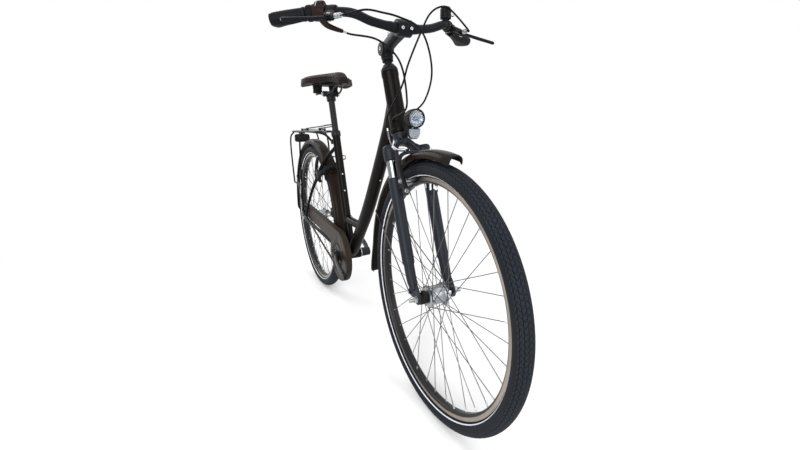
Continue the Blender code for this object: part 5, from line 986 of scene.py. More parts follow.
@dataclass
class Wheel:
    """A tyre, a rim with machined brake tracks, laced spokes and a hub with scalloped flanges."""

    prefix: str
    body: str
    axle: Vector
    hub_half: float
    flange_y: float
    flange_radius: float
    shell_radius: float
    scallops: int
    phase: float = 0.0
    spokes: int = 36
    segments: int = 128
    rim_radius: float = WHEEL_RADIUS - 0.038 - GAP * 2

    def build(self) -> None:
        """Builds all the pieces of the wheel."""
        self._tyre()
        self._rim()
        self._spokes()
        self._hub()

    def _tyre(self) -> None:
        """A rubber ring whose profile has a flat bead, round sides with a stripe, and a grooved tread."""
        centre, half_width, half_height = self.rim_radius + 0.0170, 0.0235, 0.0212
        profile, marks = [], []
        count = 36
        for k in range(count + 1):
            turn = math.radians(-52 + 284 * k / count)
            side = half_width * math.cos(turn)
            radius = centre + half_height * math.sin(turn)
            if radius > WHEEL_RADIUS - 0.006:
                radius = min(radius, WHEEL_RADIUS - 0.0002)
            profile.append((side, radius))
            marks.append(0 if 22 < -52 + 284 * (k + 0.5) / count < 158 else 1)
        for k, (side, radius) in enumerate(profile[:-1]):
            middle = (radius + profile[k + 1][1]) / 2
            if abs(middle - 0.3185) < 0.0017:
                marks[k] = 2
        bed = 0.0125 - 0.0018 - GAP
        profile += [(-bed, self.rim_radius + 0.0004), (-bed, self.rim_radius - 0.0070)]
        profile += [(bed, self.rim_radius - 0.0070), (bed, self.rim_radius + 0.0004)]
        marks += [1, 1, 1, 1]
        shape = Shape()
        shape.lathe(profile, self.axle, Y, self.segments, ring=True, marks=marks)
        tread = Finish(
            self.prefix + "_tread", "tyre_rubber", TREAD.colour, TREAD.shade, TREAD.roughness,
            pattern=Pattern.TREAD, pattern_size=TREAD.pattern_size, pattern_middle=self._tread_middle(profile),
            strength=TREAD.strength, specular=TREAD.specular,
        )
        piece = shape.build(self.prefix + "_tyre_surface", tread, SIDEWALL, STRIPE)
        settle(piece, self.body, "tyre_rubber", self.prefix + "_tyre")

    @staticmethod
    def _tread_middle(profile: Sequence[tuple[float, float]]) -> float:
        """How far along the profile the crown of the tyre is."""
        run = 0.0
        for before, after in zip(profile, profile[1:]):
            if before[0] > 0 >= after[0]:
                return run + before[0]
            run += (Vector(after) - Vector(before)).length
        return run

    def _rim(self) -> None:
        """The black rim with its tracks, and the valve."""
        radius, inner = self.rim_radius, self.rim_radius - RIM_DEPTH
        edge, bed, floor = 0.0125, 0.0107, self.rim_radius - 0.0077
        profile = [(-0.0060, inner), (0.0060, inner), (0.0076, inner + 0.0006), (0.0118, radius - 0.0134)]
        profile += [
            (edge, radius - 0.0120), (edge - 0.0002, radius - 0.0112), (edge - 0.0002, radius - 0.0018),
        ]
        profile += [(edge, radius - 0.0010), (edge - 0.0006, radius), (bed, radius), (bed, floor)]
        profile += [(-bed, floor), (-bed, radius), (-edge + 0.0006, radius), (-edge, radius - 0.0010)]
        profile += [
            (-edge + 0.0002, radius - 0.0018), (-edge + 0.0002, radius - 0.0112), (-edge, radius - 0.0120),
        ]
        profile += [(-0.0118, radius - 0.0134), (-0.0076, inner + 0.0006)]
        marks = [0] * len(profile)
        marks[5] = marks[15] = 1
        shape = Shape()
        shape.lathe(profile, self.axle, Y, self.segments, ring=True, marks=marks)
        valve = polar(self.axle, inner + 0.004, self.phase + math.pi / self.spokes + math.pi / 2)
        inward = (self.axle - valve).normalized()
        shape.rod(valve, valve + inward * 0.022, 0.0036, 12, mark=2)
        shape.rod(valve + inward * 0.022, valve + inward * 0.034, 0.0045, 12, 0.0040, mark=3)
        piece = shape.build(self.prefix + "_rim_surface", RIM_BLACK, BRAKE_TRACK, BOLT, PLASTIC, angle=28)
        settle(piece, self.body, "rim", self.prefix + "_rim")

    def _spokes(self) -> None:
        """Four crossing spokes with their heads and nipples, repeated round the wheel."""
        inner = self.rim_radius - RIM_DEPTH
        spokes, nipples = Shape(), Shape()
        for hole in range(4):
            side = 1 if hole % 2 == 0 else -1
            leading = 1 if hole // 2 % 2 == 0 else -1
            rim_angle = self.phase + 2 * math.pi * hole / self.spokes
            hub_angle = rim_angle - leading * math.radians(60)
            layer = side * leading * 0.0016
            start = polar(self.axle, self.flange_radius - 0.0035, hub_angle, side * self.flange_y + layer)
            end = polar(self.axle, inner - 0.0006, rim_angle, side * 0.0020 + layer)
            along = (end - start).normalized()
            elbow = start + along * 0.004
            spokes.tube([start, elbow, end - along * 0.008], 0.00105, 8)
            head = Y * (side * leading)
            spokes.rod(start - head * 0.0030, start + head * 0.0004, 0.0013, 8)
            spokes.rod(start - head * 0.0042, start - head * 0.0030, 0.0022, 8)
            nipples.rod(end - along * 0.0115, end - along * 0.0010, 0.00195, 8, 0.0021)
        laced = Repeats.around(spokes.build(self.prefix + "_spokes", SPOKE_STEEL), 9, self.axle, SPOKE_STEEL)
        settle(laced, self.body, "silver")
        ends = Repeats.around(nipples.build(self.prefix + "_nipples", BOLT), 9, self.axle, BOLT)
        settle(ends, self.body, "silver")

    def _hub(self) -> None:
        """The hub shell, and flanges whose edges are scalloped between the pairs of spoke holes."""
        shape = Shape()
        half, radius, flange = self.hub_half, self.shell_radius, self.flange_y
        right = [(half, 0.0056), (half, radius * 0.52), (half - 0.0012, radius * 0.60)]
        right += [
            (flange + 0.0040, radius * 0.70), (flange + 0.0016, radius * 0.84),
            (flange - 0.0016, radius * 0.99),
        ]
        right += [(flange - 0.0036, radius), (flange - 0.0060, radius - 0.0014), (0.0030, radius - 0.0020)]
        profile = right + [(-side, size) for side, size in reversed(right)]
        shape.lathe(profile, self.axle, Y, 64, ring=True)
        for sign in (-1, 1):
            outline = []
            steps = 144
            for k in range(steps):
                turn = 2 * math.pi * k / steps
                wave = 0.5 + 0.5 * math.cos(self.scallops * (turn - self.phase))
                size = self.flange_radius - 0.0001 - (0.0034 if self.scallops else 0) * (1 - wave**0.6)
                outline.append((size * math.cos(turn), size * math.sin(turn)))
            face = self.axle + Y * (sign * flange - 0.0014)
            shape.prism(outline, face, (1, 0, 0), Z, Y * 0.0028, 0.0004)
            shape.lathe(
                [(0, radius * 0.62), (0.0010, radius * 0.62), (0.0010, radius * 0.56), (0, radius * 0.56)],
                self.axle + Y * sign * (half - 0.0012), Y * sign, 48, ring=True,
            )
        piece = shape.build(self.prefix + "_hub_surface", SILVER, angle=30)
        settle(piece, self.body, "silver", self.prefix + "_hub")


@dataclass
class AxleParts:
    """The fixed axles, cones, end caps and nuts of both wheels."""

    def build(self) -> None:
        """Builds the front axle with its dynamo plug, and the rear one."""
        shape = Shape()
        inside = 0.0497
        shape.rod(FRONT_AXLE - Y * 0.0785, FRONT_AXLE + Y * 0.0785, 0.0048, 20)
        for k in range(22):
            for sign in (-1, 1):
                ring = FRONT_AXLE + Y * sign * (0.0665 + k * 0.0005)
                shape.lathe(
                    [(-0.00012, 0.0046), (0, 0.0050), (0.00012, 0.0046)], ring, Y, 20, ring=True, mark=0
                )
        shape.rod(FRONT_AXLE - Y * inside, FRONT_AXLE - Y * 0.0267, 0.0158, 36, edge=0.0012, mark=1)
        shape.block(FRONT_AXLE + Vector((0.008, -0.039, 0.012)), (0.0215, 0.0115, 0.0195), mark=1)
        shape.rod(FRONT_AXLE + Y * 0.0267, FRONT_AXLE + Y * inside, 0.0098, 28, 0.0080)
        self._nuts(shape, FRONT_AXLE, 0.0563)
        piece = shape.build("front_axle_surface", BOLT, PLASTIC)
        settle(piece, "fork_slider", "steel", "front_axle")

        shape = Shape()
        shape.rod(REAR_AXLE - Y * 0.0850, REAR_AXLE + Y * 0.0850, 0.0048, 20)
        shape.rod(REAR_AXLE + Y * 0.0335, REAR_AXLE + Y * 0.0647, 0.0108, 28, 0.0085)
        shape.rod(REAR_AXLE - Y * 0.0647, REAR_AXLE - Y * 0.0500, 0.0088, 28)
        self._nuts(shape, REAR_AXLE, 0.0713)
        piece = shape.build("rear_axle_surface", BOLT, PLASTIC)
        settle(piece, "frame", "steel", "rear_axle")

    @staticmethod
    def _nuts(shape: Shape, axle: Vector, outside: float) -> None:
        """A washer and a hexagon nut on each end of an axle, with a domed end."""
        for sign in (-1, 1):
            face = axle + Y * sign * outside
            out = Y * sign
            shape.rod(face, face + out * 0.0014, 0.0088, 28)
            shape.nut(face + out * 0.0014, out, 0.0089, 0.0078)
            shape.lathe([(0, 0.0066), (0.0014, 0.0062), (0.0018, 0.0050), (0, 0.0050)],
                        face + out * 0.0080, out, 24, ring=True)


@dataclass
class Fork:
    """The suspension fork: lower legs with their arch, chromed stanchions in a crown, and the headset."""

    leg_ahead: float = -0.018
    leg_y: float = 0.0535
    lowers_top: float = 0.326
    clear: float = 0.3845

    def build(self) -> None:
        """Builds the sliding and the fixed half of the fork."""
        self._lowers()
        self._upper()
        self._headset()

    def _lowers(self) -> None:
        """Two legs with dropouts, brake bosses and the arch over the tyre."""
        shape = Shape()
        top, ahead = self.lowers_top, self.leg_ahead
        for sign in (-1, 1):
            profile = [
                (0.0946, 0), (0.0946, 0.0162), (0.0990, 0.0165), (top - 0.0120, 0.0165),
                (top - 0.0100, 0.0173),
            ]
            profile += [
                (top - 0.0012, 0.0175), (top, 0.0168), (top, 0.0149), (top - 0.010, 0.0146), (top - 0.010, 0),
            ]
            base = fork(0, ahead, sign * self.leg_y)
            shape.lathe(profile, base, STEER_UP, 36)
            stations = [(0.1000, ahead, 0.0158), (0.0900, ahead, 0.0141), (0.0600, ahead + 0.001, 0.0138)]
            stations += [(0.0460, ahead + 0.002, 0.0134), (0.0340, ahead + 0.0045, 0.0117)]
            stations += [(0.0250, ahead + 0.0076, 0.0094), (0.0225, ahead + 0.0085, 0.0050)]
            path = [fork(along, forward, sign * self.leg_y) for along, forward, _ in stations]
            shape.tube(path, [radius for _, _, radius in stations], 28)
            self._dropout(shape, sign)
            boss = fork(BOSS_RADIUS, 0, sign * BOSS_SIDE)
            shape.rod(boss - STEER_AHEAD * 0.012, boss + STEER_AHEAD * 0.0125, 0.0073, 24)
            shape.rod(boss + STEER_AHEAD * 0.0120, boss + STEER_AHEAD * 0.0240, 0.0039, 16, mark=1)
            shape.cap_screw(boss + STEER_AHEAD * 0.0232, STEER_AHEAD, 0.0062, 0.0030, mark=1)
            lug = fork(top - 0.022, -0.002, sign * (self.leg_y - 0.005))
            shape.block(lug, (0.018, 0.010, 0.030), STEER_AHEAD, STEER_UP, 0.4)
            screw = fork(top - 0.016, 0.0066, sign * (self.leg_y - 0.0048))
            shape.cap_screw(screw, STEER_AHEAD, 0.0034, 0.0016, mark=1)
            screw = fork(top - 0.028, 0.0066, sign * (self.leg_y - 0.0048))
            shape.cap_screw(screw, STEER_AHEAD, 0.0034, 0.0016, mark=1)
        self._arch(shape)
        piece = shape.build("fork_lowers_surface", FORK_PAINT, BOLT, angle=32)
        settle(piece, "fork_slider", "frame_black", "fork_lowers")
        seals = Shape()
        for sign in (-1, 1):
            base = fork(top, ahead, sign * self.leg_y)
            profile = [
                (-0.0070, 0.0146), (-0.0070, 0.0170), (-0.0008, 0.0172), (0.0002, 0.0160), (0.0002, 0.0146),
            ]
            seals.lathe(profile, base, STEER_UP, 36, ring=True)
        settle(seals.build("fork_seals", SPRING_RUBBER), "fork_slider", "grip_rubber")

    def _dropout(self, shape: Shape, sign: int) -> None:
        """The flat plate that the axle passes, drawn up into the leg."""
        outline = circle(0.015, (math.pi * k / 10 for k in range(10, 21)))
        outline += [
            (0.0142, 0.012), (0.008, 0.036), (-0.022, 0.046), (-0.032, 0.037), (-0.040, 0.027),
            (-0.040, 0.014),
        ]
        outline += [(-0.030, 0.009), (-0.0170, 0.004)]
        shape.prism(outline, fork(0, 0, sign * 0.050), STEER_AHEAD, STEER_UP, Y * sign * 0.006, 0.0008)

    def _arch(self, shape: Shape) -> None:
        """The bridge from leg to leg, rounded in section and thinner over the mudguard."""
        clear, top = self.clear, self.lowers_top
        control = [
            (-0.0475, top - 0.032), (-0.0482, clear - 0.032), (-0.0440, clear - 0.018),
            (-0.0325, clear - 0.002),
        ]
        control += [(-0.0150, clear + 0.0044), (0, clear + 0.0048)]
        control += [(-side, up) for side, up in reversed(control[:-1])]
        path = smooth_path([fork(up, 0.0068, side) for side, up in control], 6)
        rings = []
        for i, place in enumerate(path):
            before, after = path[max(0, i - 1)], path[min(len(path) - 1, i + 1)]
            along = (after - before).normalized()
            across = along.cross(STEER_AHEAD).normalized()
            share = abs(place.y) / 0.048
            half_wide = 0.0044 + 0.0020 * min(1.0, share**2)
            ring = []
            for c, s in rounded(20, 0.5):
                ring.append(place + across * half_wide * c + STEER_AHEAD * 0.0037 * s)
            rings.append(ring)
        shape.loft(rings)

    def _upper(self) -> None:
        """Steerer, crown and stanchions."""
        shape = Shape()
        axis = fork(0, -RAKE)
        top = HEAD_BOTTOM + HEAD_LENGTH + 0.0235
        race = HEAD_BOTTOM - GAP
        profile = [
            (0.4260, 0), (0.4260, 0.0185), (0.4300, 0.0192), (race - 0.006, 0.0222), (race - 0.001, 0.0225),
        ]
        profile += [
            (race, 0.0218), (race, 0.0142), (top, 0.0142), (top, 0.0115), (top - 0.10, 0.0115),
            (top - 0.10, 0),
        ]
        shape.lathe(profile, axis, STEER_UP, 44)
        control = [
            (-self.leg_y, -0.019, 0.397, 0.0150, 0.0150), (-self.leg_y * 0.6, -0.028, 0.409, 0.0150, 0.0150),
        ]
        control += [(-self.leg_y * 0.3, -0.038, 0.4300, 0.0172, 0.0125), (0, -RAKE, 0.4350, 0.0186, 0.0122)]
        control += [(-side, *rest) for side, *rest in reversed(control[:-1])]

        def crown(c: float, s: float, side: float, ahead: float, along: float, wide: float, tall: float) -> Vector:
            """A corner of the crown, which spans from leg to leg."""
            return fork(along + tall * s, ahead + wide * c, side)

        shape.sweep(control, 5, 28, 0.8, crown)
        for sign in (-1, 1):
            base = fork(0.373, self.leg_ahead, sign * self.leg_y)
            profile = [
                (0, 0), (0, 0.0164), (0.001, 0.0172), (0.004, 0.0184), (0.030, 0.0185), (0.036, 0.0181),
            ]
            profile += [(0.0400, 0.0165), (0.0418, 0.0150), (0.0418, 0.0110), (0.0400, 0.0100), (0.0400, 0)]
            shape.lathe(profile, base, STEER_UP, 36)
            shape.cap_screw(base + STEER_UP * 0.0398, STEER_UP, 0.0060, 0.0020, mark=2)
            foot = fork(self.lowers_top - 0.105, self.leg_ahead, sign * self.leg_y)
            shape.rod(foot, base + STEER_UP * 0.006, 0.0139, 36, mark=1)
        piece = shape.build("fork_upper_surface", FORK_PAINT, CHROME, BOLT)
        settle(piece, "steering", "frame_black", "fork_upper")

    def _headset(self) -> None:
        """The cover on top of the head tube."""
        shape = Shape()
        base = HEAD_BOTTOM + HEAD_LENGTH + GAP
        profile = [(base, 0.0150), (base, 0.0243), (base + 0.0008, 0.0246), (base + 0.0094, 0.0243)]
        profile += [(base + 0.0100, 0.0238), (base + 0.0142, 0.0215), (base + 0.0180, 0.0184)]
        profile += [(base + 0.0206, 0.0170), (base + 0.0220, 0.0163), (base + 0.0220, 0.0150)]
        shape.lathe(profile, fork(0, -RAKE), STEER_UP, 48, ring=True)
        settle(shape.build("headset_cover_surface", PLASTIC), "steering", "frame_black", "headset_cover")


@dataclass
class MainFrame:
    """Head tube, down tube, strut, seat tube, bottom bracket, seat collar and the rear triangle."""

    seat_length: float = 0.507
    seat_radius: float = 0.0159

    def build(self) -> None:
        """Builds the welded frame and the parts that are fixed in it."""
        self._front_triangle()
        self._rear_triangle()
        self._collar()
        self._bottom_bracket()

    @staticmethod
    def down_tube_path() -> list[Vector]:
        """The centre line of the down tube from the head tube to the bottom bracket."""
        points = [front(-0.2205, 0, 0.4960), front(-0.2730, 0, 0.4210), front(-0.3380, 0, 0.3250)]
        points += [front(-0.4560, 0, 0.1620), BRACKET + Vector((0.0880, 0, 0.0940)), BRACKET]
        return smooth_path(points, 14)

    def _front_triangle(self) -> None:
        """All tubes forward of the bottom bracket and up to the saddle, with fillets of weld."""
        shape = Shape()
        axis = fork(0, -RAKE)
        low, top = HEAD_BOTTOM, HEAD_BOTTOM + HEAD_LENGTH
        profile = [
            (low, 0.0146), (low, 0.0270), (low + 0.0008, 0.0279), (low + 0.0092, 0.0279),
            (low + 0.0104, 0.0268),
        ]
        profile += [
            (low + 0.030, 0.0258), (low + 0.070, 0.0244), (top - 0.0112, 0.0236), (top - 0.0092, 0.0248),
        ]
        profile += [(top - 0.0008, 0.0249), (top, 0.0242), (top, 0.0146)]
        shape.lathe(profile, axis, STEER_UP, 56, ring=True)
        path = self.down_tube_path()
        count = len(path) - 1
        rings = []
        for i, (place, (first, second)) in enumerate(zip(path, frames_along(path))):
            share = i / count
            tall = 0.0249 + 0.0200 * max(0.0, 1 - share / 0.20) ** 1.2
            wide = 0.0179 + 0.0030 * min(1.0, share / 0.6)
            if share > 0.94:
                tall -= (share - 0.94) / 0.06 * 0.006
            turns = [2 * math.pi * (k + 0.5) / 36 for k in range(36)]
            rings.append([place + first * (wide * math.cos(t)) + second * (tall * math.sin(t)) for t in turns])
        shape.loft(rings)
        strut_end = self.strut_foot(path)
        shape.rod(on_seat_tube(0.142), strut_end, 0.0163, 36)
        shape.rod(BRACKET, on_seat_tube(self.seat_length), self.seat_radius, 44, edge=0.0006)
        shape.rod(BRACKET - Y * 0.034, BRACKET + Y * 0.034, 0.0212, 48, edge=0.0010)
        self._weld(shape, on_seat_tube(0.0205), SEAT_UP, self.seat_radius)
        self._weld(shape, on_seat_tube(0.142, 0.0158), strut_end - on_seat_tube(0.142), 0.0166)
        self._bolts(shape)
        piece = shape.build("main_frame_surface", FRAME_PAINT, BOLT)
        settle(piece, "frame", "frame_black", "main_frame")

    @staticmethod
    def strut_foot(path: Sequence[Vector]) -> Vector:
        """Where the short strut meets the down tube's centre line."""
        share = 14.5 / 20 * (len(path) - 1)
        index = int(share)
        return path[index].lerp(path[index + 1], share - index)

    @staticmethod
    def _weld(shape: Shape, place: Vector, axis: Vector, radius: float) -> None:
        """A thin bead of weld round a tube where it meets another."""
        axis = axis.normalized()
        shape.lathe([(0.0022, radius - 0.001), (0.0014, radius + 0.0010), (-0.0014, radius + 0.0012),
                     (-0.0022, radius - 0.001)], place, axis, 40, ring=True)

    def _bolts(self, shape: Shape) -> None:
        """The small bolts and rivets seen on the down tube's underside and the front of the seat tube."""
        path = self.down_tube_path()
        for share in (0.30, 0.47):
            i = int(share * (len(path) - 1))
            along = (path[i + 1] - path[i]).normalized()
            below = Y.cross(along).normalized()
            if below.z > 0:
                below = -below
            shape.cap_screw(path[i] + below * 0.0246, below, 0.0032, 0.0012, mark=1)
        for distance in (0.258, 0.326):
            shape.cap_screw(
                on_seat_tube(distance, self.seat_radius - 0.0004), SEAT_AHEAD, 0.0030, 0.0014, mark=1,
            )
        for turn, side in ((150, -0.024), (150, 0.010), (215, -0.024)):
            place = polar(BRACKET, 0.0208, math.radians(turn), side)
            shape.cap_screw(place, place - BRACKET - Y * side, 0.0026, 0.0010, mark=1)

    @staticmethod
    def seat_stay_path(sign: int) -> list[Vector]:
        """An S-bent stay, which spreads at the top and again towards the dropout."""
        start = on_seat_tube(0.437, -0.006)
        points = [
            start + Y * sign * 0.011, rear(0.300, sign * 0.0300, 0.312), rear(0.263, sign * 0.0470, 0.266),
        ]
        points += [rear(0.183, sign * 0.0500, 0.206), rear(0.133, sign * 0.0580, 0.156)]
        points += [rear(0.060, sign * 0.0660, 0.070), rear(0.010, sign * 0.0685, 0.014)]
        return smooth_path(points, 8)

    def _rear_triangle(self) -> None:
        """Chainstays, seat stays, dropouts, bridges, brake bosses and the kickstand's bracket."""
        shape = Shape()
        square = Vector((math.sin(BRAKE_TURN), 0, -math.cos(BRAKE_TURN)))
        for sign in (-1, 1):
            points = [
                (0.462, 0.020, -0.065), (0.393, 0.030, -0.056), (0.323, 0.041, -0.045),
                (0.223, 0.052, -0.030),
            ]
            points += [(0.120, 0.0620, -0.0155), (0.060, 0.0670, -0.008), (0.012, 0.0680, -0.001)]
            path = smooth_path([rear(x, sign * side, z) for x, side, z in points], 7)
            shape.tube(path, [0.0080 - 0.0014 * k / (len(path) - 1) for k in range(len(path))], 24)
            path = self.seat_stay_path(sign)
            sizes = [0.0075 - 0.0019 * max(0.0, k / (len(path) - 1) - 0.5) * 2 for k in range(len(path))]
            shape.tube(path, sizes, 24)
            outline = [
                (-0.020, 0.012), (-0.0195, 0.002), (-0.017, -0.006), (-0.012, -0.012), (-0.006, -0.015),
            ]
            outline += [(0.010, -0.014), (0.040, -0.010), (0.042, 0.002), (0.032, 0.009), (0.026, 0.016)]
            outline += [(0.026, 0.034), (0.015, 0.036), (0.004, 0.036), (-0.014, 0.034), (-0.018, 0.024)]
            shape.prism(outline, REAR_AXLE + Y * sign * 0.065, (1, 0, 0), Z, Y * sign * 0.006, 0.0007)
            pivot = polar(REAR_AXLE, BOSS_RADIUS, BRAKE_TURN, sign * BOSS_SIDE)
            shape.rod(pivot + square * 0.0300, pivot + square * 0.0060, 0.0069, 24)
            shape.rod(pivot + square * 0.0200, pivot - square * 0.0052, 0.0039, 16, mark=1)
            shape.cap_screw(pivot - square * 0.0047, -square, 0.0060, 0.0028, mark=1)
        low, high = rear(0.3860, 0, -0.0480), REAR_AXLE + BRIDGE
        shape.rod(low - Y * 0.031, low + Y * 0.031, 0.0054, 20)
        shape.rod(high - Y * 0.036, high + Y * 0.036, 0.0049, 20)
        boss = rear(0.0500, -0.0655, 0.0575)
        shape.rod(boss, boss + Y * 0.0065, 0.0044, 16)
        stand = STAND_PIVOT
        shape.block(stand + Vector((0.004, -0.0135, 0.002)), (0.046, 0.0170, 0.0200), power=0.3)
        shape.rod(stand - Y * 0.010, stand + Y * 0.0100, 0.0039, 18, mark=1)
        shape.cap_screw(stand + Y * 0.0086, Y, 0.0062, 0.0026, mark=1)
        piece = shape.build("rear_triangle_surface", FRAME_PAINT, BOLT)
        settle(piece, "frame", "frame_black", "rear_triangle")

    def _collar(self) -> None:
        """The clamp round the top of the seat tube, with its ears and bolt."""
        shape = Shape()
        low, high = 0.485, 0.505
        inner = self.seat_radius + GAP
        profile = [
            (low, inner), (low, 0.0186), (low + 0.0008, 0.0190), (high - 0.0008, 0.0190), (high, 0.0186),
        ]
        profile += [(high, inner)]
        shape.lathe(profile, BRACKET, SEAT_UP, 48, ring=True)
        middle = on_seat_tube((low + high) / 2)
        for sign in (-1, 1):
            ear = middle - SEAT_AHEAD * (inner + 0.0062) + Y * sign * 0.0037
            shape.block(ear, (0.0126, 0.0056, 0.0176), SEAT_AHEAD, SEAT_UP, 0.5)
        bolt = middle - SEAT_AHEAD * (inner + 0.0075)
        shape.rod(bolt - Y * 0.0080, bolt + Y * 0.0080, 0.0028, 18, mark=1)
        shape.cap_screw(bolt - Y * 0.0066, -Y, 0.0046, 0.0048, mark=1)
        shape.nut(bolt + Y * 0.0066, Y, 0.0044, 0.0036, mark=1)
        settle(shape.build("seat_collar_surface", CRANK_PAINT, BOLT), "frame", "silver", "seat_collar")

    def _bottom_bracket(self) -> None:
        """The two cups with their spanner notches, seen either side of the shell."""
        shape = Shape()
        for sign in (-1, 1):
            profile = [
                (0.0343, 0.0170), (0.0343, 0.0204), (0.0350, 0.0206), (0.0370, 0.0204), (0.0375, 0.0198),
            ]
            profile += [
                (0.0375, 0.0140), (0.0368, 0.0132), (0.0368, 0.0092), (0.0300, 0.0092), (0.0300, 0.0166),
            ]
            shape.lathe(profile, BRACKET, Y * sign, 56, ring=True)
            for k in range(8):
                place = polar(BRACKET, 0.0174, math.pi * k / 4, sign * 0.0370)
                shape.rod(place, place + Y * sign * 0.0004, 0.0014, 12, mark=1)
        settle(shape.build("bottom_bracket_surface", SILVER, PLASTIC), "frame", "silver", "bottom_bracket")


class Handlebar:
    """The swept bar's centre line, which the stem, grips and controls all sit on."""

    half_width = 0.3135
    centre_x = -0.163
    centre_z = 0.687

    @classmethod
    def half(cls, sign: int, steps: int = 10) -> list[Vector]:
        """The centre line from the middle to one end: a bend, then a straight grip."""
        points = [
            (-0.163, 0.000, 0.687), (-0.163, 0.030, 0.6875), (-0.1686, 0.086, 0.6965),
            (-0.183, 0.140, 0.7140),
        ]
        first = cls.half_width - 0.1100
        for side in (first, cls.half_width - 0.0565, cls.half_width - 0.0093):
            back = -0.2530 - (side - first) * 0.0570 / 0.1035
            points.append((back, side, 0.7215 - (side - first) * 0.0150 / 0.1035))
        return [front(x, sign * side, z) for x, side, z in smooth_path(points, steps)]

    @classmethod
    def whole(cls, steps: int = 10) -> list[Vector]:
        """The centre line from the right end to the left one."""
        left = cls.half(1, steps)
        return list(reversed(cls.half(-1, steps))) + left[1:]

    @classmethod
    def at(cls, side: float) -> tuple[Vector, Vector]:
        """The centre and the outward direction at a sideways place."""
        path = cls.half(1 if side > 0 else -1)
        for before, after in zip(path, path[1:]):
            if abs(after.y) >= abs(side):
                share = (abs(side) - abs(before.y)) / (abs(after.y) - abs(before.y))
                return before.lerp(after, share), (after - before).normalized()
        return path[-1], (path[-1] - path[-2]).normalized()

    @classmethod
    def ring(
        cls, shape: Shape, places: Sequence[float], radii: Sequence[float], sides: int = 36, mark: int = 0,
    ) -> None:
        """A round body on the bar through the given sideways places."""
        shape.tube([cls.at(place)[0] for place in places], list(radii), sides, mark=mark)


